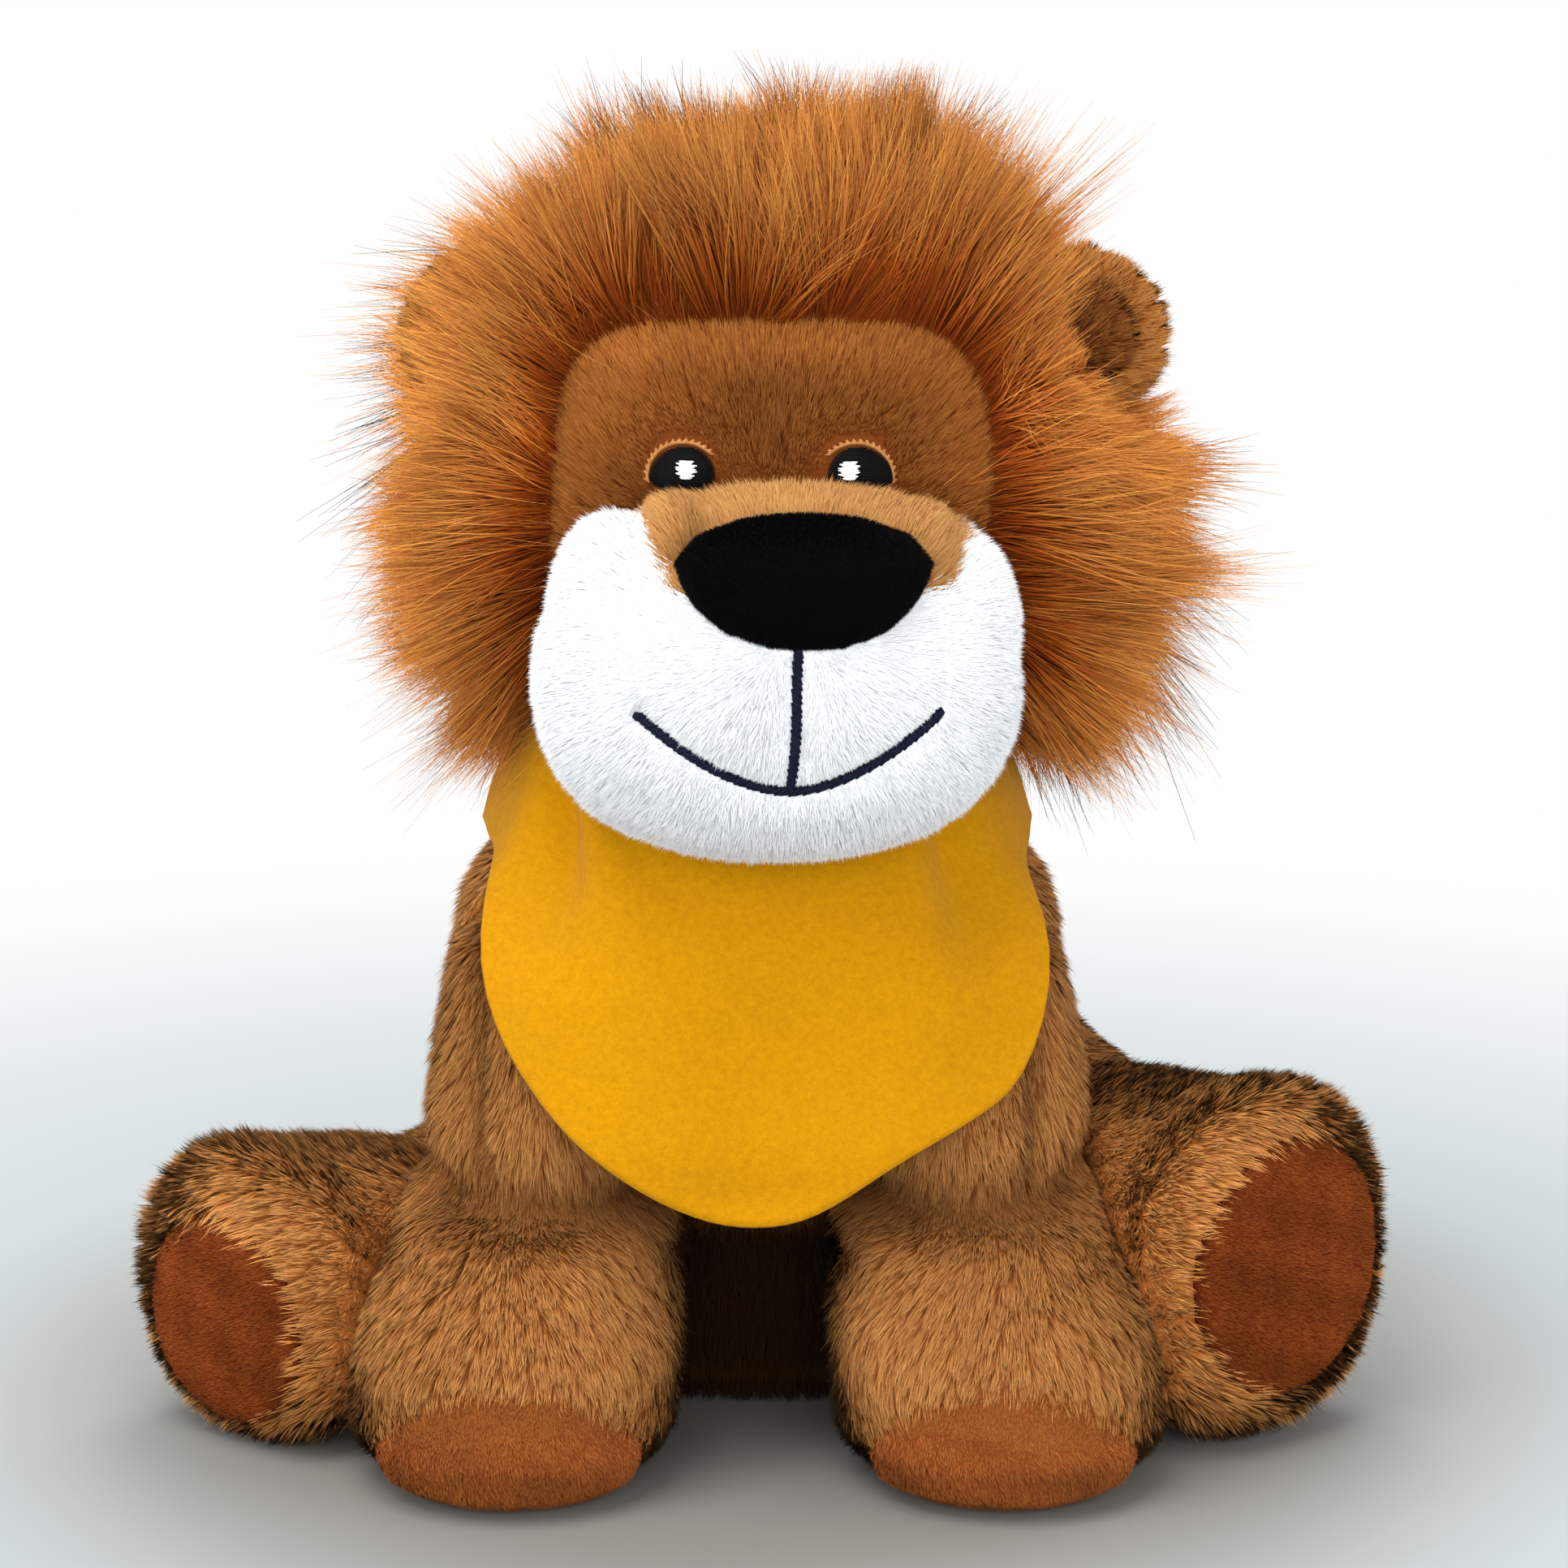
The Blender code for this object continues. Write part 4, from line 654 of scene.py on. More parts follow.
@dataclass(frozen=True)
class Cloth:
    """A brushed cloth's finish: two colours, how fine its grain and patches are, and how it takes light."""

    name: str
    dark: Colour
    light: Colour
    grain: float = 1400.0
    patch: float = 90.0
    roughness: float = 0.9
    depth: float = 0.0003
    sheen: float = 0.15


FELT = Cloth(
    "mustard felt", (160, 108, 1), (184, 127, 3), grain=2600.0, patch=900.0, roughness=0.95, depth=0.00022, sheen=0.04
)


class Shades:
    """The shader groups and materials, each built once."""

    def __init__(self) -> None:
        """Builds the groups that the materials share."""
        self.made: dict[str, bpy.types.Material] = {}
        self.pile_tint = self.build_pile_tint()
        self.nap_mottle = self.build_nap_mottle()

    @staticmethod
    def group(
        name: str, inputs: dict[str, tuple[str, object]], outputs: dict[str, str]
    ) -> tuple[Graph, bpy.types.Node, bpy.types.Node]:
        """Starts a shader group.

        Args:
            name: the group's name.
            inputs: for each input, its socket type and value.
            outputs: for each output, its socket type.
        Returns:
            The group's graph, its input node and its output node.
        """
        tree = bpy.data.node_groups.new(name, "ShaderNodeTree")
        for label, (kind, value) in inputs.items():
            tree.interface.new_socket(name=label, in_out="INPUT", socket_type=kind).default_value = value
        for label, kind in outputs.items():
            tree.interface.new_socket(name=label, in_out="OUTPUT", socket_type=kind)
        graph = Graph(tree)
        return graph, graph.add("NodeGroupInput"), graph.add("NodeGroupOutput")

    def build_pile_tint(self) -> bpy.types.NodeTree:
        """The colour along a hair, and the cover's soft normal for it.

        Returns:
            The group.
        """
        black = (0.0, 0.0, 0.0, 1.0)
        inputs = {
            "Root": ("NodeSocketColor", black),
            "Mid": ("NodeSocketColor", black),
            "Tip": ("NodeSocketColor", black),
            "Spread": ("NodeSocketFloat", 0.3),
            "Softness": ("NodeSocketFloat", 0.6),
        }
        outputs = {"Color": "NodeSocketColor", "Normal": "NodeSocketVector"}
        g, given, out = self.group("Pile Tint", inputs, outputs)
        along, chance, tone = (g.attribute(name, "Fac") for name in ("along", "chance", "tone"))
        # The root-to-tip blend is partly the hair's own colour, partly painted shade at the root and painted light at
        # the tip.
        low = g.add("ShaderNodeMapRange", {0: along, 1: 0.0, 2: 0.55}, interpolation_type="SMOOTHSTEP").outputs[0]
        high = g.add("ShaderNodeMapRange", {0: along, 1: 0.35, 2: 1.0}).outputs[0]
        high = g.maths("MULTIPLY", high, g.maths("MULTIPLY_ADD", chance, 0.8, 0.35))
        lower = self.mixed(g, low, given.outputs["Root"], given.outputs["Mid"])
        colour = self.mixed(g, high, lower, given.outputs["Tip"])
        swing = g.maths("MULTIPLY", g.maths("SUBTRACT", chance, 0.5), given.outputs["Spread"])
        # tone carries random patches and the painted shade and painted light that each part sets.
        light = g.maths("MULTIPLY", g.maths("ADD", swing, 1.0), tone)
        hue = g.maths("MULTIPLY_ADD", chance, 0.014, 0.493)
        tinted = g.add("ShaderNodeHueSaturation", {"Hue": hue, "Value": light, "Color": colour}).outputs[0]
        soft = g.attribute("soft_normal", "Vector")
        ways = {"vector_type": "NORMAL", "convert_from": "OBJECT", "convert_to": "WORLD"}
        turned = g.add("ShaderNodeVectorTransform", {0: soft}, **ways).outputs[0]
        own = g.add("ShaderNodeNewGeometry").outputs["Normal"]
        facing = g.vectors("DOT_PRODUCT", own, turned)
        own = g.scaled(own, g.maths("SIGN", g.maths("ADD", facing, 0.001)))
        blend = {0: given.outputs["Softness"], 4: own, 5: turned}
        normal = g.add("ShaderNodeMix", blend, data_type="VECTOR").outputs[1]
        g.feed(out.inputs["Color"], tinted)
        g.feed(out.inputs["Normal"], g.vectors("NORMALIZE", normal))
        return g.tree

    @staticmethod
    def mixed(graph: Graph, share: object, first: object, second: object) -> bpy.types.NodeSocket:
        """A colour between two others."""
        node = graph.add("ShaderNodeMix", {0: share, 6: first, 7: second}, data_type="RGBA")
        return node.outputs[2]

    def build_nap_mottle(self) -> bpy.types.NodeTree:
        """The uneven light and dark of brushed cloth, at two sizes, with its height.

        Returns:
            The group.
        """
        inputs = {
            "Dark": ("NodeSocketColor", (0.0, 0.0, 0.0, 1.0)),
            "Light": ("NodeSocketColor", (1.0, 1.0, 1.0, 1.0)),
            "Grain": ("NodeSocketFloat", 1400.0),
            "Patch": ("NodeSocketFloat", 90.0),
        }
        outputs = {"Color": "NodeSocketColor", "Height": "NodeSocketFloat"}
        g, given, out = self.group("Nap Mottle", inputs, outputs)
        place = g.add("ShaderNodeTexCoord").outputs["Object"]
        grain = {"Vector": place, "Scale": given.outputs["Grain"], "Detail": 3.0, "Roughness": 0.65}
        fine = g.add("ShaderNodeTexNoise", grain).outputs[0]
        patch = {"Vector": place, "Scale": given.outputs["Patch"], "Detail": 2.0}
        broad = g.add("ShaderNodeTexNoise", patch).outputs[0]
        share = g.maths("MULTIPLY_ADD", broad, 0.55, g.maths("MULTIPLY", fine, 0.6))
        share = g.add("ShaderNodeMapRange", {0: share, 1: 0.35, 2: 0.8}).outputs[0]
        g.feed(out.inputs["Color"], self.mixed(g, share, given.outputs["Dark"], given.outputs["Light"]))
        g.feed(out.inputs["Height"], fine)
        return g.tree

    def start(
        self, name: str, roughness: float, sheen: float = 0.0
    ) -> tuple[bpy.types.Material, Graph, bpy.types.Node]:
        """Starts a material with its Principled shader.

        Args:
            name: the material's name.
            roughness: the shader's roughness.
            sheen: how much fuzz lights up at a glance.
        Returns:
            The material, its graph and its shader node.
        """
        material = bpy.data.materials.new(name)
        material.use_nodes = True
        graph = Graph(material.node_tree)
        surface = material.node_tree.nodes["Principled BSDF"]
        surface.inputs["Roughness"].default_value = roughness
        surface.inputs["Specular IOR Level"].default_value = 0.05
        surface.inputs["Sheen Weight"].default_value = sheen
        self.made[name] = material
        return material, graph, surface

    def pile(self, kind: Pile) -> bpy.types.Material:
        """The material of a pile's hairs.

        Args:
            kind: the pile.
        Returns:
            The material.
        """
        if kind.name in self.made:
            return self.made[kind.name]
        material, g, surface = self.start(kind.name, kind.roughness, kind.sheen)
        surface.inputs["Sheen Tint"].default_value = linear(kind.tip)
        values = {
            "Root": linear(kind.root),
            "Mid": linear(kind.mid),
            "Tip": linear(kind.tip),
            "Spread": kind.spread,
            "Softness": kind.softness,
        }
        tint = self.place(g, self.pile_tint, values)
        g.feed(surface.inputs["Base Color"], tint.outputs["Color"])
        g.feed(surface.inputs["Normal"], tint.outputs["Normal"])
        return material

    @staticmethod
    def place(graph: Graph, group: bpy.types.NodeTree, values: dict[str, object]) -> bpy.types.Node:
        """Places a shared group in a material with its own values."""
        node = graph.tree.nodes.new("ShaderNodeGroup")
        node.node_tree = group
        for name, value in values.items():
            graph.feed(node.inputs[name], value)
        return node

    def cloth(self, kind: Cloth) -> bpy.types.Material:
        """The material of a brushed cloth.

        Args:
            kind: the cloth's finish.
        Returns:
            The material.
        """
        if kind.name in self.made:
            return self.made[kind.name]
        material, g, surface = self.start(kind.name, kind.roughness, kind.sheen)
        values = {"Dark": linear(kind.dark), "Light": linear(kind.light), "Grain": kind.grain, "Patch": kind.patch}
        mottle = self.place(g, self.nap_mottle, values)
        g.feed(surface.inputs["Base Color"], mottle.outputs["Color"])
        bump = g.add("ShaderNodeBump", {"Height": mottle.outputs["Height"], "Distance": kind.depth, "Strength": 0.7})
        g.feed(surface.inputs["Normal"], bump.outputs[0])
        return material

    def backing(self, kind: Pile, shade: float = 1.0) -> bpy.types.Material:
        """The knitted cloth that a pile grows on, in a share of the pile's own colours."""
        darker = tuple(int(value * shade) for value in kind.root)
        lighter = tuple(int((low + high) / 2 * shade) for low, high in zip(kind.root, kind.mid))
        name = f"{kind.name} backing {round(100 * shade)}"
        return self.cloth(Cloth(name, darker, lighter, grain=900.0, patch=160.0, depth=0.0005, sheen=0.0))

    def thread(self, thread: Thread) -> bpy.types.Material:
        """A thread's material, with the fine dark and light of its twist."""
        twist = Cloth(
            thread.slot, thread.dark, thread.light, grain=2600.0, patch=700.0, roughness=0.5, depth=0.00008, sheen=0.0
        )
        return self.cloth(twist)


def relaxed(points: np.ndarray, edges: np.ndarray, rounds: int, pull: float = 0.5, push: float = -0.52) -> np.ndarray:
    """Smooths points along their edges without shrinking them.

    Args:
        points: the points, or any value at them.
        edges: pairs of point numbers.
        rounds: how often to smooth.
        pull: the share moved towards the neighbours.
        push: the share moved back.
    Returns:
        The smoothed points.
    """
    ends = np.concatenate([edges, edges[:, ::-1]])
    count = np.maximum(np.bincount(ends[:, 0], minlength=len(points)), 1)[:, None]
    for _ in range(rounds):
        for share in (pull, push):
            if share == 0.0:
                continue
            sums = [
                np.bincount(ends[:, 0], weights=points[ends[:, 1], k], minlength=len(points))
                for k in range(points.shape[1])
            ]
            points = points + share * (np.stack(sums, 1) / count - points)
    return points


def link(name: str, mesh: bpy.types.Mesh) -> bpy.types.Object:
    """Puts a mesh in the scene as an object."""
    thing = bpy.data.objects.new(name, mesh)
    bpy.context.scene.collection.objects.link(thing)
    return thing


def evaluated_mesh(thing: bpy.types.Object) -> bpy.types.Mesh:
    """The mesh that an object's modifiers make of it."""
    graph = bpy.context.evaluated_depsgraph_get()
    return bpy.data.meshes.new_from_object(thing.evaluated_get(graph), depsgraph=graph)


def mesh_from(points: np.ndarray, faces: list[tuple[int, ...]]) -> bpy.types.Mesh:
    """A smooth mesh from points and faces."""
    mesh = bpy.data.meshes.new("shape")
    mesh.from_pydata(points.tolist(), [], faces)
    mesh.shade_smooth()
    return mesh


def joined_nodes(nodes: dict[str, float]) -> bpy.types.Mesh:
    """Joins merged copies of CAD nodes.

    Args:
        nodes: for each node, how far its copy is moved out along its normals.
    Returns:
        One mesh with all of them.
    """
    work = bmesh.new()
    for name, out in nodes.items():
        part = bmesh.new()
        part.from_mesh(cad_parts[name].data)
        bmesh.ops.remove_doubles(part, verts=part.verts, dist=1e-6)
        part.normal_update()
        for vertex in part.verts:
            vertex.co += vertex.normal * out
        mesh = bpy.data.meshes.new("part")
        part.to_mesh(mesh)
        part.free()
        work.from_mesh(mesh)
        bpy.data.meshes.remove(mesh)
    made = bpy.data.meshes.new("joined")
    work.to_mesh(made)
    work.free()
    return made


def voxels(mesh: bpy.types.Mesh, size: float) -> bpy.types.Mesh:
    """Makes one closed skin of even small faces round everything in a mesh.

    Args:
        mesh: the mesh.
        size: how small the faces are.
    Returns:
        The skin.
    """
    thing = link("voxels", mesh)
    remesh = thing.modifiers.new("skin", "REMESH")
    remesh.mode = "VOXEL"
    remesh.voxel_size = size
    remesh.use_smooth_shade = True
    made = evaluated_mesh(thing)
    bpy.data.objects.remove(thing)
    return made


class Cover:
    """A smooth closed cover over part of the lion, with what its pile has to know at every point."""

    def __init__(self, name: str, mesh: bpy.types.Mesh, rounds: int = 6, grow: float = 0.0) -> None:
        """Smooths the mesh and links it as an object.

        Args:
            name: the piece's name.
            mesh: its first shape.
            rounds: how often to smooth it.
            grow: how far to move it out afterwards.
        """
        self.thing = link(name, mesh)
        self.read()
        if rounds:
            self.points = relaxed(self.points, self.edges, rounds)
            self.write()
        if grow:
            self.points = self.points + self.normals * grow
            self.write()
        self.density = np.ones(len(self.points))
        self.length = np.ones(len(self.points))
        # tone: how light the pile is; random patches, and the painted shade and painted light that parts set.
        self.tone = np.ones(len(self.points))
        self.lit = np.zeros((len(self.points), 3))
        self.nap = np.tile((0.0, 0.0, -1.0), (len(self.points), 1))

    def read(self) -> None:
        """Reads the points, edges and normals of the mesh."""
        mesh = self.thing.data
        self.points = np.empty(len(mesh.vertices) * 3)
        mesh.vertices.foreach_get("co", self.points)
        self.points = self.points.reshape(-1, 3)
        self.edges = np.empty(len(mesh.edges) * 2, int)
        mesh.edges.foreach_get("vertices", self.edges)
        self.edges = self.edges.reshape(-1, 2)
        self.read_normals()

    def read_normals(self) -> None:
        """Reads the normals and makes the tree that finds the nearest point."""
        mesh = self.thing.data
        normals = np.empty(len(mesh.vertices) * 3)
        mesh.vertex_normals.foreach_get("vector", normals)
        self.normals = normals.reshape(-1, 3)
        self.tree = BVHTree.FromPolygons(self.points.tolist(), [tuple(p.vertices) for p in mesh.polygons])

    def write(self) -> None:
        """Writes moved points to the mesh."""
        mesh = self.thing.data
        mesh.vertices.foreach_set("co", self.points.ravel())
        mesh.update()
        self.read_normals()

    def move(self, offsets: np.ndarray) -> None:
        """Moves every point by its offset."""
        self.points = self.points + offsets
        self.write()

    def gaps(self, other: "Cover", far: float = 0.045) -> np.ndarray:
        """How far each point is from another cover.

        Args:
            other: the other cover.
            far: the farthest to look.
        Returns:
            The distance, negative inside the other cover.
        """
        found = np.full(len(self.points), far)
        for index, point in enumerate(self.points.tolist()):
            hit, normal, _, distance = other.tree.find_nearest(point, far)
            if hit is not None:
                outside = (Vector(point) - hit).dot(normal) > 0
                found[index] = distance if outside else -distance
        return found

    def keep_off(self, others: Iterable["Cover"], bare: float = 0.0012, room: float = 0.008) -> None:
        """Grows no pile inside or against other covers, and short pile beside them."""
        for other in others:
            gap = self.gaps(other)
            self.density *= gap > bare
            self.length *= 0.35 + 0.65 * smooth(gap, bare, room)

    def lie_under(self, cloth: "Cover", pile: float, air: float = 0.0008) -> None:
        """Keeps the pile short enough to lie under a cloth.

        Args:
            cloth: the cloth.
            pile: how high the pile stands elsewhere.
            air: what stays free below the cloth.
        """
        gap = np.abs(self.gaps(cloth, 0.012))
        self.length *= np.clip((gap - air) / pile, 0.12, 1.0)

    def paint(self) -> None:
        """Writes what the pile reads as attributes on the mesh."""
        mesh = self.thing.data
        normals = unit(relaxed(self.normals, self.edges, 3, 0.5, 0.0))
        fields = {"pile_density": self.density, "pile_length": self.length, "tone": self.tone}
        for name, values in fields.items():
            attribute = mesh.attributes.get(name) or mesh.attributes.new(name, "FLOAT", "POINT")
            attribute.data.foreach_set("value", values.astype(np.float32))
        for name, vectors in {"nap": self.nap, "stand": normals, "soft_normal": unit(normals + self.lit)}.items():
            attribute = mesh.attributes.get(name) or mesh.attributes.new(name, "FLOAT_VECTOR", "POINT")
            attribute.data.foreach_set("vector", vectors.astype(np.float32).ravel())

    def mottle(self, seed: float, size: float = 0.016, amount: float = 0.10) -> None:
        """Varies the pile's tone in soft patches.

        Args:
            seed: shifts the patches.
            size: how wide a patch is.
            amount: how much the tone swings.
        """
        turns = self.points / size
        swing = np.sin(turns[:, 0] * 2.1 + seed) * np.sin(turns[:, 1] * 1.7 + 2 * seed)
        swing = swing + np.sin(turns[:, 2] * 1.9 + turns[:, 0] + seed)
        self.tone *= 1 + amount * 0.5 * swing


@dataclass
class Workshop:
    """What every part of the lion is made with: the trees, the shades and the covers made so far."""

    SPENT = (
        *("root", "hair", "reach", "stray", "wave", "facing"),
        *("nap", "stand", "pile_length", "pile_density", "across"),
    )

    tree: PileTree = field(default_factory=PileTree)
    threads: ThreadTree = field(default_factory=ThreadTree)
    shades: Shades = field(default_factory=Shades)
    covers: dict[str, Cover] = field(default_factory=dict)
    seed: int = 11

    def grow(self, cover: Cover, kind: Pile, name: str, body: str, share: float = 1.0) -> bpy.types.Object:
        """Grows pile on a cover and rides it on a body.

        Args:
            cover: the painted cover.
            kind: the pile.
            name: the new piece's name.
            body: the CAD body it moves with.
            share: the share of the hairs to grow.
        Returns:
            The piece.
        """
        self.seed += 7
        modifier = cover.thing.modifiers.new("pile", "NODES")
        modifier.node_group = self.tree.tree
        values = kind.inputs()
        values["Density"] *= share
        values["Seed"] = self.seed
        values["Material"] = self.shades.pile(kind)
        for label, value in values.items():
            modifier[self.tree.sockets[label]] = value
        mesh = evaluated_mesh(cover.thing)
        cover.thing.modifiers.remove(modifier)
        for label in self.SPENT:
            attribute = mesh.attributes.get(label)
            if attribute is not None:
                mesh.attributes.remove(attribute)
        piece = link(name, mesh)
        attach(piece, body)
        mesh.calc_loop_triangles()
        hairs = len(mesh.polygons) // max(kind.pieces, 1)
        log.info("%s: %d hairs, %d triangles", name, hairs, len(mesh.loop_triangles))
        return piece

    def backing(
        self, cover: Cover, kind: Pile, body: str, nodes: Iterable[str], fill: float, shade: float = 1.0
    ) -> None:
        """Dresses a cover's own cloth and lets it stand for its CAD nodes.

        Args:
            cover: the cover.
            kind: the pile that grows on it.
            body: the CAD body it moves with.
            nodes: the CAD nodes it replaces.
            fill: how firmly it is stuffed; not used.
            shade: how light the cloth is beside its pile's own colours: below 1 it is painted shade deep in the pile,
                above 1 painted light.
        """
        mesh = cover.thing.data
        mesh.materials.clear()
        mesh.materials.append(self.shades.backing(kind, shade))
        for label in ("pile_density", "pile_length", "tone", "nap", "stand", "soft_normal"):
            attribute = mesh.attributes.get(label)
            if attribute is not None:
                mesh.attributes.remove(attribute)
        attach(cover.thing, body)
        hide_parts(*nodes)


    def sew(
        self, name: str, lines: list[np.ndarray], radius: float, thread: Thread, body: str, nodes: Iterable[str]
    ) -> None:
        """Lays threads along lines and lets them stand for stitched CAD nodes.

        Args:
            name: the new piece's name.
            lines: the points of each thread.
            radius: half a thread's thickness.
            thread: its colour and slot.
            body: the CAD body it moves with.
            nodes: the CAD nodes it replaces.
        """
        points = np.concatenate(lines)
        edges, start = [], 0
        for line in lines:
            edges += [(start + i, start + i + 1) for i in range(len(line) - 1)]
            start += len(line)
        mesh = bpy.data.meshes.new("lines")
        mesh.from_pydata(points.tolist(), edges, [])
        source = link("lines", mesh)
        modifier = source.modifiers.new("threads", "NODES")
        modifier.node_group = self.threads.tree
        modifier[self.threads.sockets["Radius"]] = radius
        modifier[self.threads.sockets["Material"]] = self.shades.thread(thread)
        made = evaluated_mesh(source)
        bpy.data.objects.remove(source)
        made.shade_smooth()
        piece = link(name, made)
        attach(piece, body)
        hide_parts(*nodes)
        log.info("%s: %d threads, %d faces", name, len(lines), len(made.polygons))


@dataclass
class Torso:
    """The torso, its stuffing and the pellet bag in its seat."""

    shop: Workshop
    voxel: float = 0.0022

    def build(self) -> None:
        """Makes the torso's cover."""
        mesh = voxels(joined_nodes({"torso_cover": 0.0, "torso_stuffing": 0.0006, "seat_pellet_bag": 0.0}), self.voxel)
        self.cover = Cover("torso_skin", mesh)
        self.cover.move(self.hollow()[:, None] * (0.0, 0.0085, 0.0))
        self.shop.covers["torso"] = self.cover

    def hollow(self) -> np.ndarray:
        """How deep each point lies in the dark hollow between the forelegs."""
        points = self.cover.points
        between = (1 - smooth(np.abs(points[:, 0]), 0.014, 0.026)) * (1 - smooth(points[:, 2], 0.034, 0.048))
        return between * smooth(-points[:, 1], 0.005, 0.020) * smooth(points[:, 2], 0.001, 0.006)

    def dress(self) -> None:
        """Grows the torso's pile, downwards and a little outwards, with painted shade in the hollow between the
        forelegs.
        """
        cover, covers = self.cover, self.shop.covers
        guide = np.tile((0.0, 0.0, -1.0), (len(cover.points), 1))
        cover.nap = along_surface(guide, cover.normals)
        cover.keep_off([covers[name] for name in (*LEGS, "tail")])
        cover.lie_under(covers["neckerchief"], 0.0050)
        cover.density *= 1 - smooth(cover.points[:, 2], 0.098, 0.103)
        cover.density *= cover.points[:, 2] > 0.0012
        # Painted shade: the pile in the hollow between the forelegs is made almost black.
        between = 1 - smooth(np.abs(cover.points[:, 0]), 0.018, 0.032)
        between = between * (1 - smooth(cover.points[:, 2], 0.034, 0.050))
        cover.tone *= 1 - 0.97 * between * (cover.points[:, 1] < -0.005)
        cover.mottle(1.3)
        cover.paint()
        self.shop.grow(cover, replace(BROWN, width=0.00037), "torso_pile", "torso", 0.41)
        # The torso's cloth is painted a little darker than its pile, as painted shade deep in the pile.
        self.shop.backing(cover, BROWN, "torso", ("torso_cover", "torso_stuffing", "seat_pellet_bag"), 0.8, 0.85)
        # Painted shade: a near-black cloth is put on the hollow between the forelegs, where there is only shadow.
        mesh = cover.thing.data
        mesh.materials.append(self.shop.shades.backing(BROWN, 0.06))
        dark = between * (cover.points[:, 1] < -0.005)
        for polygon in mesh.polygons:
            polygon.material_index = int(dark[list(polygon.vertices)].mean() > 0.4)


@dataclass
class Foreleg:
    """A foreleg with its paw pad."""

    shop: Workshop
    side: Side
    voxel: float = 0.0018
    wrist_z: float = 0.0470
    pad_cloth: Cover = field(init=False)

    @property
    def name(self) -> str:
        """The CAD body's name."""
        return f"{self.side.word}_foreleg"

    def build(self) -> None:
        """Makes the leg's cover."""
        mesh = voxels(joined_nodes({f"{self.name}_cover": 0.0, f"{self.name}_stuffing": 0.0006}), self.voxel)
        self.cover = Cover(self.name + "_skin", mesh)
        self.shape()
        self.shop.covers[self.name] = self.cover
        node = f"{self.side.word}_paw_pad"
        self.pad_cloth = Cover(node + "_cloth", voxels(joined_nodes({node: 0.0002}), 0.0008), 4)

    def shape(self) -> None:
        """Swells the paw under a creased wrist and sinks the leg's front seam; paints shade into the crease, the seam
        and the low inner side, and makes the leg a little darker above the wrist.
        """
        cover = self.cover
        points = cover.points
        front = smooth(-cover.normals[:, 1], -0.35, 0.55)
        outer = smooth(self.side.value * cover.normals[:, 0], -0.2, 0.7)
        up = points[:, 2]
        crease = np.exp(-(((up - self.wrist_z - 0.15 * (points[:, 1] + 0.05)) / 0.0050) ** 2))
        paw = np.exp(-(((up - 0.0270) / 0.0125) ** 2))
        moved = -0.0056 * crease * np.maximum(front, 0.5 * outer) + 0.0030 * paw * front + 0.0018 * paw * outer
        low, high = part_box(f"{self.side.word}_paw_pad")
        seam_x = (low.x + high.x) / 2 + self.side.value * 0.0045
        seam = np.exp(-(((points[:, 0] - seam_x) / 0.0019) ** 2)) * smooth(up, self.wrist_z, self.wrist_z + 0.01)
        moved -= 0.0024 * seam * front
        moved += 0.0008 * smooth(up, 0.004, 0.012)
        cover.move(cover.normals * moved[:, None])
        # Painted shade: the pile is darker in the wrist crease and along the sunk seam; the next line makes it a little
        # darker above the wrist.
        cover.tone *= 1 - 0.52 * crease * front - 0.50 * seam * front
        cover.tone *= 1 - 0.12 * smooth(up, self.wrist_z, self.wrist_z + 0.03)
        cover.length *= 1 - 0.50 * seam * front - 0.25 * crease * front
        # Painted shade: the low inner side that faces the other foreleg and the hollow is darker.
        inner = smooth(-self.side.value * cover.normals[:, 0], 0.2, 0.8)
        inner = inner * (1 - smooth(cover.points[:, 2], 0.034, 0.055))
        cover.tone *= 1 - 0.55 * inner * smooth(cover.points[:, 1], -0.062, -0.045)

    def pad_share(self, points: np.ndarray) -> np.ndarray:
        """How far inside the pad each point is: below 1 is on the pad.

        Args:
            points: the points.
        Returns:
            The share at each point.
        """
        low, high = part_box(f"{self.side.word}_paw_pad")
        across = (points[:, 0] - (low.x + high.x) / 2) / ((high.x - low.x) / 2)
        up = (points[:, 2] - 0.0090) / 0.0128
        share = np.sqrt(across**2 + up**2)
        share[points[:, 1] > high.y] = FAR
        return share

    def dress(self) -> None:
        """Grows the leg's pile down to the paw and forward over it."""
        cover, covers = self.cover, self.shop.covers
        points = cover.points
        foot = 1 - smooth(points[:, 2], 0.012, 0.040)
        top = np.exp(-(((points[:, 2] - self.wrist_z + 0.009) / 0.007) ** 2))
        guide = np.stack([np.zeros(len(points)), -0.25 - 1.3 * foot, -1.0 + 0.75 * foot + 1.1 * top], 1)
        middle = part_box(f"{self.side.word}_paw_pad")
        guide[:, 0] += (points[:, 0] - (middle[0].x + middle[1].x) / 2) / 0.022 * (0.25 + 0.7 * foot)
        cover.nap = along_surface(guide, cover.normals)
        others = [name for name in ("torso", *LEGS) if name != self.name]
        cover.keep_off([covers[n] for n in others])
        pad = self.pad_share(points)
        cover.density *= smooth(pad, 0.93, 1.03)
        cover.length *= 0.55 + 0.45 * smooth(pad, 1.0, 1.35)
        cover.density *= (points[:, 2] > 0.0012) | (cover.normals[:, 2] > -0.8)
        cover.lie_under(covers["neckerchief"], 0.0050)
        cover.mottle(2.0 + self.side.value)
        cover.paint()
        self.shop.grow(cover, replace(BROWN, width=0.00028), self.name + "_pile", self.name, 0.86)
        self.pad_edge(pad)
        self.shop.backing(cover, BROWN, self.name, (f"{self.name}_cover", f"{self.name}_stuffing"), 0.75)
        self.pad()

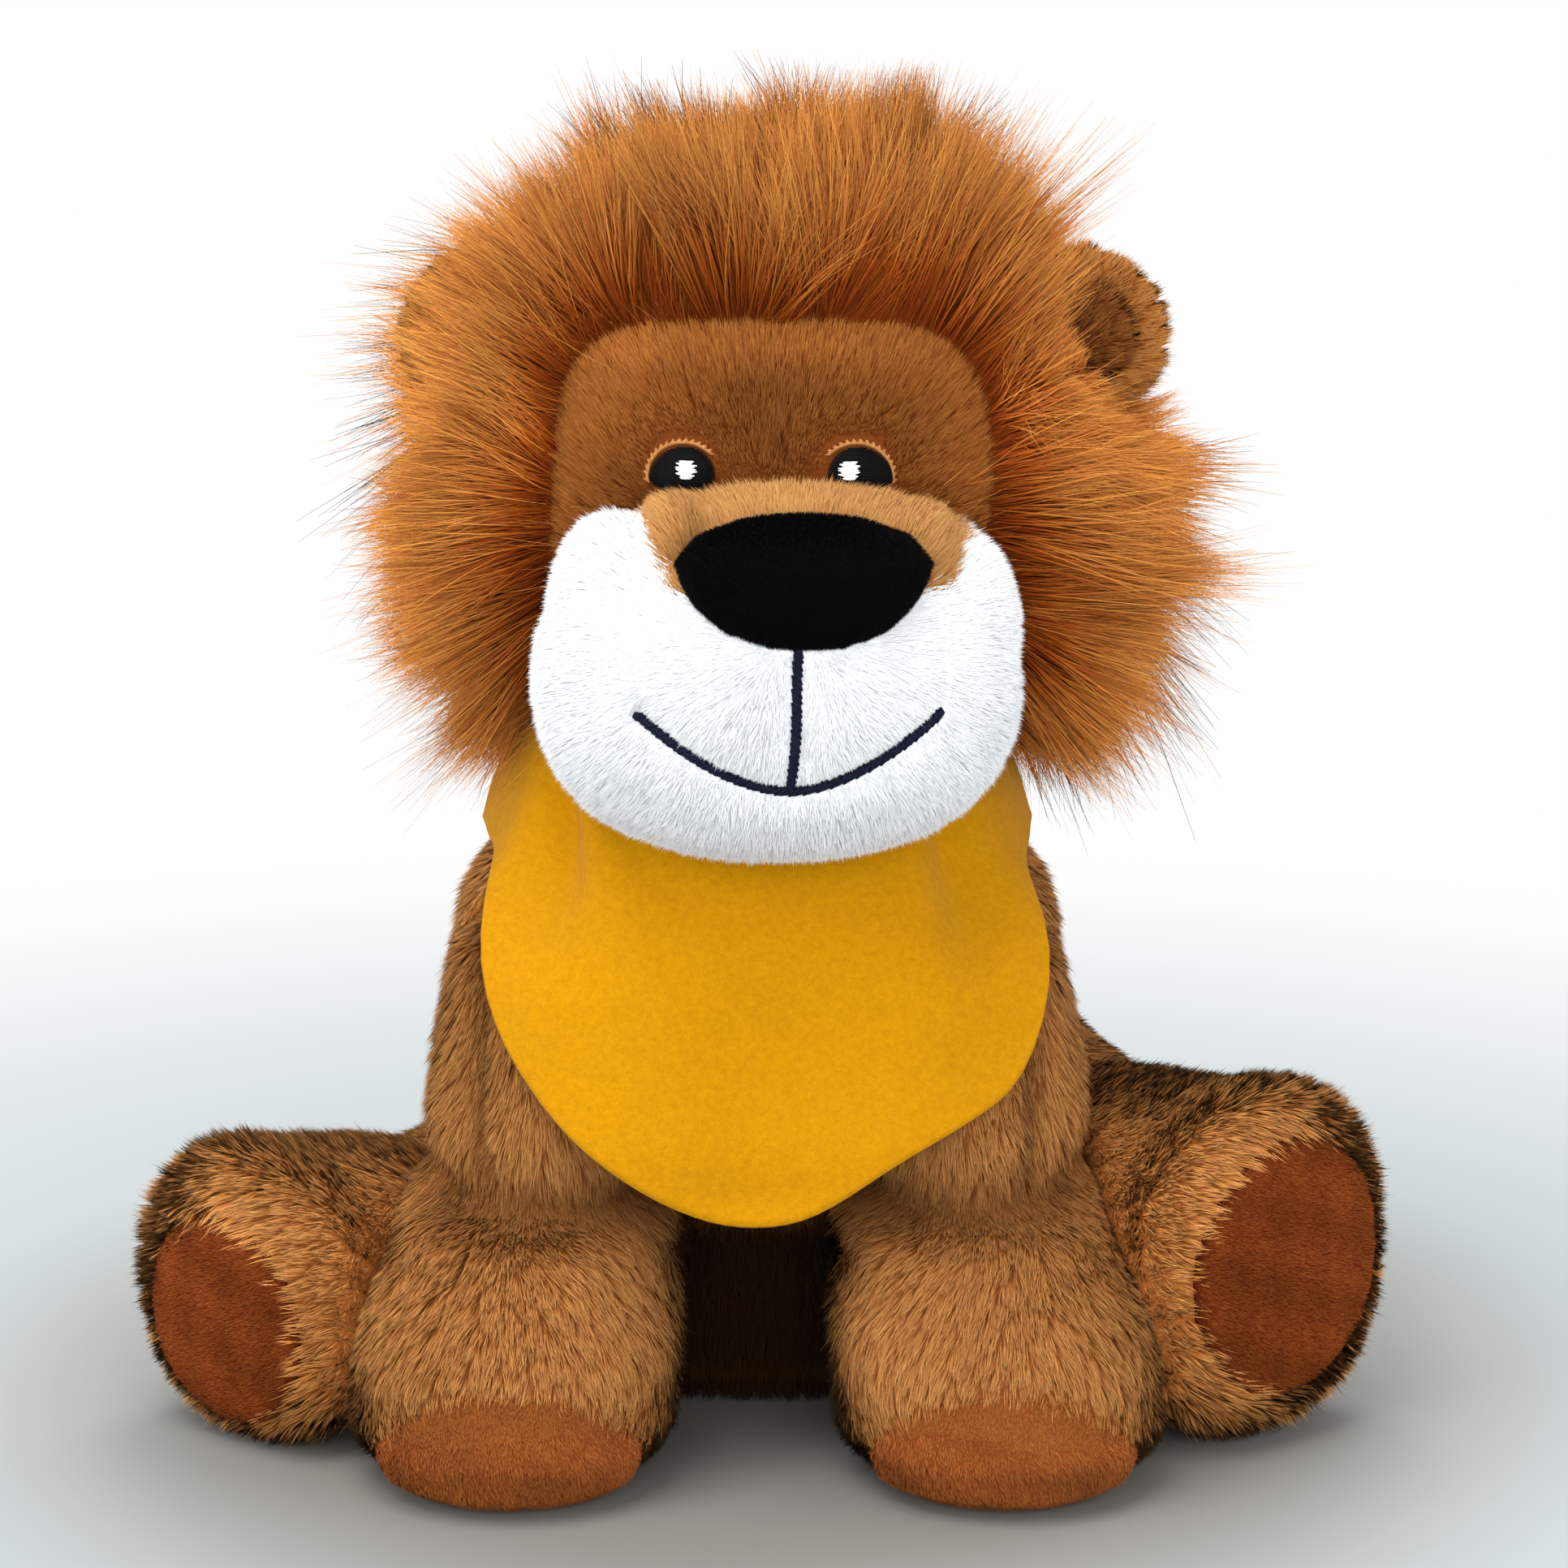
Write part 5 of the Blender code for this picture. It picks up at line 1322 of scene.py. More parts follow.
    def pad_edge(self, share: np.ndarray) -> None:
        """Carries the pad's nap on over the leg's cover, up to the pile.

        Args:
            share: how far inside the pad's outline each point is.
        """
        cover = self.cover
        cover.density = 1 - smooth(share, 0.95, 1.04)
        cover.length = np.ones(len(cover.points))
        cover.tone = np.ones(len(cover.points))
        cover.keep_off([self.pad_cloth], 0.0, 0.0001)
        cover.paint()
        self.shop.grow(cover, PAD, f"{self.side.word}_paw_pad_edge_nap", self.name, 0.8)

    def pad(self) -> None:
        """Makes the pad on the paw and its nap."""
        node = f"{self.side.word}_paw_pad"
        pad = self.pad_cloth
        guide = np.tile((0.35, 0.0, -1.0), (len(pad.points), 1))
        pad.nap = along_surface(guide, pad.normals)
        pad.density *= smooth(-pad.normals[:, 1] + 0.4 * np.abs(pad.normals[:, 2]), -0.05, 0.15)
        pad.mottle(4.0 + self.side.value, 0.005, 0.22)
        pad.paint()
        self.shop.grow(pad, PAD, node + "_nap", self.name, 0.8)
        self.shop.backing(pad, PAD, self.name, (node,), 0.4)


@dataclass
class HindLeg:
    """A hind leg with its sole."""

    shop: Workshop
    side: Side
    splay_degrees: float = 40.0
    voxel: float = 0.0022

    @property
    def name(self) -> str:
        """The CAD body's name."""
        return f"{self.side.word}_hind_leg"

    @property
    def axis(self) -> np.ndarray:
        """The level direction from hip to sole."""
        turn = math.radians(self.splay_degrees)
        return np.array((self.side.value * math.sin(turn), -math.cos(turn), 0.0))

    def build(self) -> None:
        """Makes the leg's cover."""
        mesh = voxels(joined_nodes({f"{self.name}_cover": 0.0, f"{self.name}_stuffing": 0.0006}), self.voxel)
        self.cover = Cover(self.name + "_skin", mesh, 4)
        self.shape()
        self.shop.covers[self.name] = self.cover

    def shape(self) -> None:
        """Swells the foot's rim round the sole."""
        cover = self.cover
        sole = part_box(f"{self.side.word}_sole")
        end = (np.array(sole[0]) + np.array(sole[1])) / 2
        back = (end - cover.points) @ self.axis
        rim = np.exp(-(((back - 0.008) / 0.008) ** 2)) * (1 - smooth(cover.normals @ self.axis, 0.2, 0.75))
        off_floor = smooth(cover.points[:, 2], 0.003, 0.012)
        cover.move(cover.normals * ((0.0018 * rim + 0.0006) * off_floor)[:, None])

    def dress(self) -> None:
        """Grows the leg's pile towards the foot, round the sole."""
        cover, covers = self.cover, self.shop.covers
        node = f"{self.side.word}_sole"
        sole = Cover(node + "_cloth", voxels(joined_nodes({node: 0.0002}), 0.0009), 4)
        low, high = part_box(node)
        middle = (np.array(low) + np.array(high)) / 2
        guide = np.tile(self.axis, (len(cover.points), 1)) + (cover.points - middle) * (0.0, 0.0, 9.0)
        cover.nap = along_surface(guide, cover.normals)
        others = [name for name in ("torso", *LEGS, "tail") if name != self.name]
        cover.keep_off([covers[n] for n in others])
        gap = np.abs(cover.gaps(sole, 0.01))
        facing = cover.normals @ self.axis
        cover.density *= 1 - (gap < 0.0011) * (facing > 0.3)
        back = (middle - cover.points) @ self.axis
        rim = np.exp(-(((back - 0.004) / 0.007) ** 2))
        cover.nap = unit(cover.nap * (1 - 0.35 * rim[:, None]) + cover.normals * 0.7 * rim[:, None])
        cover.length *= 1 - 0.30 * rim
        outer = smooth(self.side.value * cover.normals[:, 0], 0.05, 0.65)
        cover.lit = self.axis * (1.3 * outer * np.exp(-((np.maximum(back - 0.003, 0.0) / 0.012) ** 2)))[:, None]
        cover.density *= (cover.points[:, 2] > 0.0012) | (cover.normals[:, 2] > -0.8)
        # Painted light: the pile is made lighter all over, most towards the front and on the outer side.
        ahead = smooth(-cover.points[:, 1], -0.020, 0.020)
        cover.tone *= 1.40 + 0.34 * ahead
        cover.tone *= 1 + 0.25 * smooth(self.side.value * cover.normals[:, 0], 0.1, 0.9)
        cover.mottle(5.0 + self.side.value)
        cover.paint()
        self.shop.grow(cover, replace(BROWN, width=0.00032), self.name + "_pile", self.name, 0.72)
        # Painted light: the cloth under the pile is lighter than the pile's own colours.
        self.shop.backing(cover, BROWN, self.name, (f"{self.name}_cover", f"{self.name}_stuffing"), 0.75, 1.1)
        guide = np.tile((self.side.value * 0.9, 0.3, -0.25), (len(sole.points), 1))
        sole.nap = along_surface(guide, sole.normals)
        sole.density *= smooth(sole.normals @ self.axis, 0.1, 0.3)
        sole.mottle(7.0 + self.side.value, 0.004, 0.26)
        sole.paint()
        self.shop.grow(sole, SOLE, node + "_nap", self.name, 0.8)
        self.shop.backing(sole, SOLE, self.name, (node,), 0.4)


@dataclass
class Tail:
    """The tail and its tuft."""

    shop: Workshop

    def build(self) -> None:
        """Makes the tail's cover."""
        self.cover = Cover("tail_skin", voxels(joined_nodes({"tail": 0.0}), 0.0012))
        self.tuft = Cover("tail_tuft_skin", voxels(joined_nodes({"tail_tuft": -0.0022}), 0.0012))
        self.shop.covers["tail"] = self.cover

    def dress(self) -> None:
        """Grows the tail's short pile and the tuft's long pile."""
        shop = self.shop
        low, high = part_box("tail_tuft")
        end = np.array((high.x, high.y, 0.006))
        for cover, kind, name in ((self.cover, BROWN, "tail"), (self.tuft, TUFT, "tail_tuft")):
            cover.nap = unit(along_surface(end - cover.points, cover.normals) + (0.25, 0.55, 0.0))
            if kind is BROWN:
                cover.keep_off([shop.covers["torso"], self.tuft])
                cover.length *= 0.8
            cover.mottle(9.0)
            cover.paint()
            shop.grow(cover, kind, name + "_pile", "tail")
            shop.backing(cover, kind, "tail", (name,), 0.7)


@dataclass
class Head:
    """The head with its face pile, muzzle, bridge, nose and stitched features."""

    shop: Workshop
    face_middle: tuple[float, float] = (0.0015, 0.1485)
    face_half: tuple[float, float] = (0.0336, 0.0362)
    face_power: float = 4.6
    lobes: tuple = (
        (-0.0232, -0.0475, 0.1405, 0.0096, 0.0150, 0.0165),
        (0.0308, -0.0475, 0.1385, 0.0092, 0.0150, 0.0155),
        (-0.0130, -0.0510, 0.1495, 0.0070, 0.0120, 0.0110),
        (0.0240, -0.0510, 0.1480, 0.0070, 0.0120, 0.0110),
    )
    muzzle_shift: float = -0.0012

    def build(self) -> None:
        """Makes the covers of head, muzzle, bridge, nose and neck."""
        mesh = voxels(joined_nodes({"head_cover": 0.0, "head_stuffing": 0.0006}), 0.0020)
        self.cover = Cover("head_skin", mesh, 10)
        self.shop.covers["head"] = self.cover
        self.muzzle = Cover("muzzle_skin", voxels(self.muzzle_mesh(), 0.0014), 22)
        self.bridge = Cover("nose_bridge_skin", voxels(joined_nodes({"nose_bridge": -0.0010}), 0.0012), 4)
        self.nose = Cover("nose_skin", voxels(joined_nodes({"nose": 0.0005}), 0.0010), 8)
        self.neck = Cover("neck_skin", voxels(joined_nodes({"neck_stuffing": 0.0}), 0.0020), 4)
        self.shop.covers["muzzle"] = self.muzzle

    def muzzle_mesh(self) -> bpy.types.Mesh:
        """The muzzle's solid with its two upper lobes beside the nose and the bridge's form over it.

        Returns:
            The joined form.
        """
        mesh = joined_nodes({"muzzle": 0.0, "nose_bridge": 0.0014})
        work = bmesh.new()
        work.from_mesh(mesh)
        for vertex in work.verts:
            low = max(0.0, 0.128 - vertex.co.z)
            vertex.co += Vector((self.muzzle_shift, 0.0, -0.08 * low))
        for x, y, z, wide, deep, tall in self.lobes:
            lobe = bmesh.ops.create_uvsphere(work, u_segments=24, v_segments=16, radius=1.0)
            for vertex in lobe["verts"]:
                vertex.co = Vector((vertex.co.x * wide + x, vertex.co.y * deep + y, vertex.co.z * tall + z))
        work.to_mesh(mesh)
        work.free()
        return mesh

    def in_face(self, x: np.ndarray, z: np.ndarray) -> np.ndarray:
        """How far from the face's middle each place is: 1 is on the hairline."""
        across = np.abs(x - self.face_middle[0]) / self.face_half[0]
        up = np.abs(z - self.face_middle[1]) / self.face_half[1]
        return (across**self.face_power + up**self.face_power) ** (1 / self.face_power)

    def dress(self) -> None:
        """Grows the face's, muzzle's and bridge's pile and the nose's nap."""
        self.dress_face()
        self.dress_muzzle()
        self.dress_bridge()
        self.dress_nose()
        self.sew_features()
        self.shop.backing(self.neck, WHITE, "neck", ("neck_stuffing",), 0.9)

    def dress_face(self) -> None:
        """Grows the face's pile, up and out from between the eyes."""
        cover, covers = self.cover, self.shop.covers
        points = cover.points
        away = points - (0.0035, -0.046, 0.150)
        guide = away * (1.0, 0.0, 1.0) + (0.0, 0.0, 0.012)
        cover.nap = along_surface(guide, cover.normals)
        share = self.in_face(points[:, 0], points[:, 2])
        front = points[:, 1] < -0.012
        cover.density *= front * (1 - smooth(share, 1.04, 1.12))
        cover.keep_off([covers["muzzle"]], 0.0006, 0.006)
        eyes = self.eye_share(points)
        cover.density *= smooth(eyes, 1.0, 1.12)
        cover.length *= 0.38 + 0.62 * smooth(eyes, 1.0, 2.4)
        cover.tone *= 0.84 + 0.34 * smooth(share, 0.55, 1.0)
        cover.mottle(0.4, 0.012, 0.08)
        cover.paint()
        self.shop.grow(cover, FACE, "face_pile", "head")
        self.shop.backing(cover, FACE, "head", ("head_cover", "head_stuffing"), 0.9)

    def eye_share(self, points: np.ndarray) -> np.ndarray:
        """How far outside the nearer eye each point is: 1 is just past its lid line.

        Args:
            points: the points.
        Returns:
            The share at each point.
        """
        found = np.full(len(points), FAR)
        for side in Side:
            low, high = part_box(f"{side.word}_eye")
            across = (points[:, 0] - (low.x + high.x) / 2) / ((high.x - low.x) / 2 + 0.0012)
            up = (points[:, 2] - (low.z + high.z) / 2 - 0.0003) / ((high.z - low.z) / 2 + 0.0012)
            share = np.sqrt(across**2 + up**2)
            share[points[:, 1] > -0.03] = FAR
            found = np.minimum(found, share)
        return found

    def on_cover(self, cover: Cover, x: float, z: float, out: float) -> tuple[float, float, float]:
        """The point a little in front of a cover, straight behind a place in the front view."""
        hit = cover.tree.ray_cast((x, -0.12, z), (0.0, 1.0, 0.0))[0]
        return (x, (hit.y if hit is not None else -0.04) - out, z)

    def sew_features(self) -> None:
        """Sews the eyes, their glints and lid lines, and the mouth."""
        for side in Side:
            self.sew_eye(side)
        line = [(x, self.smile_height(np.array([x]))[0]) for x in np.linspace(-0.0192, 0.0280, 60)]
        self.sew_line("smile_threads", line, NAVY_THREAD, "smile_stitch")
        line = [
            (SMILE_X + 0.0017 * t + 0.0003 * math.sin(5 * t), SMILE_Z + 0.0232 * t)
            for t in np.linspace(0.0, 1.0, 30)
        ]
        self.sew_line("philtrum_threads", line, NAVY_THREAD, "philtrum_stitch")

    def sew_line(self, name: str, line: list[tuple[float, float]], thread: Thread, node: str) -> None:
        """Sews a line of slanting stitches into the muzzle.

        Args:
            name: the new piece's name.
            line: the line in the front view.
            thread: its thread.
            node: the CAD node it replaces.
        """
        places = np.array(line)
        steps = np.linalg.norm(np.diff(places, axis=0), axis=1)
        run = np.concatenate([[0.0], np.cumsum(steps)])
        lines = []
        for start in np.arange(0.0, run[-1], 0.00042):
            ends = np.clip(np.array([start - 0.0009, start, start + 0.0009]), 0.0, run[-1])
            x, z = np.interp(ends, run, places[:, 0]), np.interp(ends, run, places[:, 1])
            way = np.array((x[2] - x[0], z[2] - z[0]))
            way /= max(np.linalg.norm(way), 1e-9)
            slant = np.array((-0.0006, 0.0, 0.0006)) + 0.00018 * math.sin(start * 9000.0)
            x, z = x - way[1] * slant, z + way[0] * slant
            rises = (0.0003, 0.0011, 0.0003)
            lines.append(np.array([self.on_cover(self.muzzle, a, b, out) for a, b, out in zip(x, z, rises)]))
        self.shop.sew(name, lines, 0.00045, thread, "head", (node,))

    def sew_eye(self, side: Side) -> None:
        """Sews an eye in level threads, its glint on top and its lid line round it.

        Args:
            side: which eye.
        """
        low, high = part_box(f"{side.word}_eye")
        x0, half = (low.x + high.x) / 2, (high.x - low.x) / 2 + 0.0002
        z0, dome, sag = low.z + 0.0016, high.z - low.z - 0.0030, 0.0022
        lines = []
        for z in np.arange(z0 - sag + 0.0002, z0 + dome, 0.00030):
            tall = dome if z > z0 else sag
            bow = math.sqrt(max(0.0, 1 - ((z - z0) / tall) ** 2))
            ragged = 0.00022 * math.sin(z * 21000.0)
            lean = side.value * 0.0006 * (1 - (z - z0) / dome)
            places = np.linspace(x0 - half * bow - ragged + lean, x0 + half * bow - ragged + lean, 7)
            rise = np.sqrt(np.maximum(0.0, 1 - np.linspace(-1, 1, 7) ** 2))
            outs = 0.0004 + 0.0013 * bow * rise
            lines.append(np.array([self.on_cover(self.cover, x, z, out) for x, out in zip(places, outs)]))
        self.shop.sew(f"{side.word}_eye_threads", lines, 0.00023, BLACK_THREAD, "head", (f"{side.word}_eye",))
        self.sew_glint(side, x0, z0)
        self.sew_lid(side, x0, z0, half, dome)

    def sew_glint(self, side: Side, x0: float, z0: float) -> None:
        """Sews an eye's glint in short level threads.

        Args:
            side: which eye.
            x0: the eye's middle.
            z0: the height of its widest thread.
        """
        lines = []
        shift = 0.0003 if side is Side.RIGHT else -0.0010
        for index, z in enumerate(np.arange(z0 + 0.0002, z0 + 0.0029, 0.00031)):
            ragged = 0.0003 * math.sin(index * 2.4)
            half = 0.0017 - 0.00022 * abs(index - 4.0) ** 1.2 / 2
            places = np.linspace(x0 + shift - half + ragged, x0 + shift + half + ragged, 5)
            outs = (0.0015, 0.0021, 0.0023, 0.0021, 0.0015)
            lines.append(np.array([self.on_cover(self.cover, x, z, out) for x, out in zip(places, outs)]))
        node = f"{side.word}_eye_glint"
        self.shop.sew(node + "_threads", lines, 0.00022, WHITE_THREAD, "head", (node,))

    def sew_lid(self, side: Side, x0: float, z0: float, half: float, dome: float) -> None:
        """Sews the lid line over an eye, from above its inner end round its outer side.

        Args:
            side: which eye.
            x0: the eye's middle.
            z0: the height of its widest thread.
            half: half its width.
            dome: how far it rises over that thread.
        """
        lines = []
        for turn in np.radians(np.arange(-8.0, 138.0, 1.7)):
            places = []
            stray = 0.0003 * math.sin(turn * 37.0)
            for bend, out, rise in ((-0.07, 0.0004, 0.0002), (0.0, 0.0007, 0.0005), (0.07, 0.0010 + stray, 0.0002)):
                x = x0 + side.value * math.cos(turn + bend) * (half + out)
                z = z0 + math.sin(turn + bend) * (dome + out)
                places.append(self.on_cover(self.cover, x, z, rise))
            lines.append(np.array(places))
        self.shop.sew(f"{side.word}_lid_threads", lines, 0.00017, TAN_THREAD, "head", (f"{side.word}_lid_line",))

    @staticmethod
    def smile_height(x: np.ndarray) -> np.ndarray:
        """The smile's height at each X."""
        return SMILE_Z + SMILE_RISE * (np.abs(x - SMILE_X) / SMILE_HALF) ** SMILE_BOW

    def seam_share(self, points: np.ndarray) -> np.ndarray:
        """The distance from each point to the smile or the line above it, seen from the front.

        Args:
            points: the points.
        Returns:
            The distance at each point.
        """
        x, z = points[:, 0], points[:, 2]
        away = np.abs(x - SMILE_X)
        slope = SMILE_RISE * SMILE_BOW / SMILE_HALF * (np.minimum(away, SMILE_HALF) / SMILE_HALF) ** 0.7
        smile = np.abs(z - self.smile_height(x)) / np.hypot(1.0, slope)
        smile = np.where(away < 0.0242, smile, FAR)
        middle = SMILE_X + (z - SMILE_Z) * 0.073
        line = np.where((z > SMILE_Z) & (z < NOSE_Z), np.abs(x - middle), FAR)
        found = np.minimum(smile, line)
        return np.where(points[:, 1] < -0.04, found, FAR)

    def dress_muzzle(self) -> None:
        """Sinks the smile into the muzzle and grows its white pile out from the nose."""
        cover = self.muzzle
        seam = self.seam_share(cover.points)
        cover.move(cover.normals * (-0.0012 * np.exp(-((seam / 0.0028) ** 2)))[:, None])
        points = cover.points
        away = points - (0.0055, -0.074, 0.140)
        cover.nap = along_surface(away * (1.0, 0.6, 1.0) + (0.0, 0.004, -0.004), cover.normals)
        cover.keep_off([self.shop.covers["head"]], 0.0006, 0.003)
        cover.keep_off([self.nose], 0.0003, 0.0012)
        nose = self.nose_share(points)
        cover.density *= smooth(nose, 0.97, 1.03)
        cover.length *= 0.6 + 0.4 * smooth(nose, 1.0, 1.4)
        seam = self.seam_share(points)
        cover.density *= smooth(seam, 0.0006, 0.0012)
        cover.length *= 0.4 + 0.6 * smooth(seam, 0.0006, 0.005)
        every, nap, tan = cover.density, cover.nap, self.in_bridge(points)
        fan = np.stack([(points[:, 0] - 0.0058) * 40, np.full(len(points), 0.2), np.ones(len(points))], 1)
        brow = along_surface(fan, cover.normals)
        for kind, share, name, way in ((WHITE, 1 - tan, "muzzle_pile", nap), (BRIDGE, tan, "nose_bridge_pile", brow)):
            cover.density, cover.nap = every * share, way
            cover.paint()
            self.shop.grow(cover, kind, name, "head", 0.87)
        self.shop.backing(cover, WHITE, "head", ("muzzle",), 0.9)
        self.colour_backing(tan)

    def colour_backing(self, tan: np.ndarray) -> None:
        """Gives the muzzle's cloth the bridge's colour under the tan pile."""
        mesh = self.muzzle.thing.data
        mesh.materials.append(self.shop.shades.backing(BRIDGE))
        for polygon in mesh.polygons:
            polygon.material_index = int(tan[list(polygon.vertices)].mean() > 0.5)

    @staticmethod
    def in_bridge(points: np.ndarray) -> np.ndarray:
        """How far inside the tan panel each point is, seen from the front: it ends beside the nose."""
        x, z = points[:, 0], points[:, 2]
        left, right = -0.0143 - (z - 0.1500) * 0.46, 0.0292 + (z - 0.1490) * 0.34
        inside = np.minimum(np.minimum(x - left, right - x), z - 0.1478)
        return smooth(inside, -0.0004, 0.0004) * (points[:, 1] < -0.03)

    @staticmethod
    def nose_share(points: np.ndarray) -> np.ndarray:
        """How far outside the nose's outline each point is, seen from the front: 1 is on it.

        Args:
            points: the points.
        Returns:
            The share at each point.
        """
        x, z = points[:, 0] - NOSE_X, points[:, 2] - NOSE_Z
        rise = np.clip(z / NOSE_TALL, 0.0, 1.0)
        half = NOSE_HALF * np.interp(rise, (0.0, 0.15, 0.35, 0.62, 0.8, 1.0), (0.18, 0.52, 0.80, 1.0, 0.98, 0.60))
        share = np.abs(x) / half
        above = np.where(z > NOSE_TALL, 1 + (z - NOSE_TALL) / 0.010, 0.0)
        below = np.where(z < 0.0, 1 - z / 0.010, 0.0)
        found = np.maximum(share, np.maximum(above, below))
        return np.where(points[:, 1] < -0.0625, found, FAR)

    def dress_bridge(self) -> None:
        """Dresses the bridge's own padding, which lies under the form that the muzzle's cloth follows."""
        self.shop.backing(self.bridge, BRIDGE, "head", ("nose_bridge",), 0.8)

    def dress_nose(self) -> None:
        """Grows the nose's short nap."""
        cover = self.nose
        cover.nap = along_surface(np.tile((0.2, 0.0, -1.0), (len(cover.points), 1)), cover.normals)
        cover.density *= smooth(-cover.normals[:, 1], -0.35, 0.0)
        cover.paint()
        self.shop.grow(cover, VELOUR, "nose_nap", "head")
        self.shop.backing(cover, VELOUR, "head", ("nose",), 0.8)


@dataclass
class Mane:
    """The mane: a hidden cushion round the face, and four panels of long pile that grow on it."""

    shop: Workshop
    head: Head
    middle: tuple[float, float] = (0.0035, 0.1510)
    rim: float = 0.0560
    outline: tuple = (
        (-90, 60),
        (-60, 61),
        (-40, 65.5),
        (-20, 65.5),
        (0, 61.5),
        (12, 60),
        (31, 66),
        (48, 67),
        (60, 72),
        (75, 69),
        (90, 66.5),
        (102, 68),
        (112, 66.5),
        (124, 69),
        (135, 70),
        (148, 66.5),
        (160, 60.5),
        (169, 65.5),
        (180, 64.5),
        (200, 66.5),
        (220, 69.5),
        (240, 63),
        (270, 60),
    )
    low_z: float = 0.1165
    ear_degrees: float = 31.0
    turns: int = 120
    steps: int = 30

    def rim_at(self, turn: float) -> float:
        """The cushion's radius in one direction, less below so that the neck stays clear."""
        drop = -math.sin(turn)
        if drop <= 0:
            return self.rim
        limit = (self.middle[1] - self.low_z) / max(drop, 1e-6)
        return (self.rim**-6 + limit**-6) ** (-1 / 6)

    def hairline(self, turn: float) -> tuple[float, float]:
        """The hairline's radius in one direction, and its Y on the head.

        Args:
            turn: the direction round the face, in radians.
        Returns:
            The radius and the Y.
        """
        across, up = math.cos(turn), math.sin(turn)
        radius = 0.02
        while radius < 0.06:
            x, z = self.middle[0] + radius * across, self.middle[1] + radius * up
            if self.head.in_face(np.array([x]), np.array([z]))[0] >= 1.0:
                break
            radius += 0.0003
        x, z = self.middle[0] + radius * across, self.middle[1] + radius * up
        hit = self.head.cover.tree.ray_cast((x, -0.1, z), (0.0, 1.0, 0.0))[0]
        return radius, hit.y if hit is not None else -0.012

    def build(self) -> None:
        """Makes the cushion as rings from the hairline out to the rim and back to the nape."""
        rings = []
        for index in range(self.turns):
            turn = 2 * math.pi * index / self.turns
            radius, y = self.hairline(turn)
            rim = max(self.rim_at(turn), radius + 0.002)
            back = 0.0095 * self.ear_window(math.degrees(turn))
            span = rim - radius
            inner = max(radius - 0.006, 0.01)
            knots = [
                (0.0, inner, y + 0.006),
                (0.08, radius - 0.0005, y - 0.0005),
                (0.20, radius + 0.45 * span, y + 0.0002),
                (0.34, radius + 0.88 * span, y * 0.62 + 0.001 + back),
                (0.48, rim, back),
                (0.64, rim * 1.01, 0.018 + 0.3 * back),
                (0.80, rim * 0.88, 0.036),
                (0.92, rim * 0.52, 0.049),
                (1.0, 0.0006, 0.053),
            ]
            shares, radii, depths = zip(*knots)
            grid = np.linspace(0.0, 1.0, self.steps)
            rings.append((turn, np.interp(grid, shares, radii), np.interp(grid, shares, depths)))
        points, faces = [], []
        for turn, radii, depths in rings:
            for radius, y in zip(radii, depths):
                points.append((self.middle[0] + radius * math.cos(turn), y, self.middle[1] + radius * math.sin(turn)))
        for index in range(self.turns):
            after = (index + 1) % self.turns
            for step in range(self.steps - 1):
                a, b = index * self.steps + step, after * self.steps + step
                faces.append((a, a + 1, b + 1, b))
        self.cover = Cover("mane_cushion", self.closed(np.array(points), faces), 8)
        self.shop.covers["mane"] = self.cover

    def tips_at(self, degrees: np.ndarray) -> np.ndarray:
        """How far from the middle the dense pile ends in each direction."""
        turned = (degrees + 90.0) % 360.0 - 90.0
        return np.interp(turned, [row[0] for row in self.outline], [row[1] / 1000 for row in self.outline])

    def ear_window(self, degrees: float | np.ndarray) -> float | np.ndarray:
        """Where round the face the left ear stands: 1 in the middle of it and 0 away from it."""
        away = np.abs(degrees - self.ear_degrees)
        return 1 - np.clip((away - 12.0) / 14.0, 0.0, 1.0)

    def closed(self, points: np.ndarray, faces: list[tuple[int, ...]]) -> bpy.types.Mesh:
        """Closes the cushion at the face and the nape and turns it outwards.

        Args:
            points: its points.
            faces: its faces.
        Returns:
            The closed mesh.
        """
        work = bmesh.new()
        work.from_mesh(mesh_from(points, faces))
        bmesh.ops.remove_doubles(work, verts=work.verts, dist=1e-6)
        holes = [e for e in work.edges if e.is_boundary]
        bmesh.ops.holes_fill(work, edges=holes, sides=0)
        bmesh.ops.recalc_face_normals(work, faces=work.faces)
        made = bpy.data.meshes.new("cushion")
        work.to_mesh(made)
        work.free()
        made.shade_smooth()
        return made

    def dress(self) -> None:
        """Grows the long pile, outwards from the face and down the back."""
        cover = self.cover
        points = cover.points
        out = points - (self.middle[0], 0.0, self.middle[1])
        out[:, 1] = 0.0
        radius = np.linalg.norm(out, axis=1)
        out = unit(out)
        behind = smooth(points[:, 1], 0.008, 0.040)[:, None]
        front = smooth(-points[:, 1], 0.004, 0.030)[:, None]
        fall = np.array((0.0, 0.25, -1.0))
        degrees = np.degrees(np.arctan2(out[:, 2], out[:, 0]))
        upwards = 0.50 * smooth(out[:, 2], 0.35, 0.85) * (1 - self.ear_window(180.0 - degrees))
        brushed = out + np.array((0.0, 0.0, 1.0)) * (upwards - 0.14 * smooth(-out[:, 2], -0.30, 0.30))[:, None]
        nap = unit(brushed) * (1 - 0.75 * behind) + fall * behind * 0.9 + np.array((0.0, -0.20, 0.0)) * front
        nap += np.array((0.0, 0.16, 0.0)) * (1 - front) * (1 - behind)
        cover.nap = unit(nap)
        room = np.clip(self.tips_at(degrees) - radius, 0.012, MANE.length)
        dense = room / MANE.length
        cover.length = dense * (1 - behind[:, 0]) + 0.85 * behind[:, 0]
        share = self.head.in_face(points[:, 0], points[:, 2])
        inside = (points[:, 1] < -0.01) & (share < 0.985)
        cover.density *= ~inside
        cover.density *= 1.0 + 0.5 * front[:, 0] + 0.8 * np.exp(-(((behind[:, 0] - 0.45) / 0.25) ** 2))
        bottom = smooth(-out[:, 2], 0.62, 0.80)
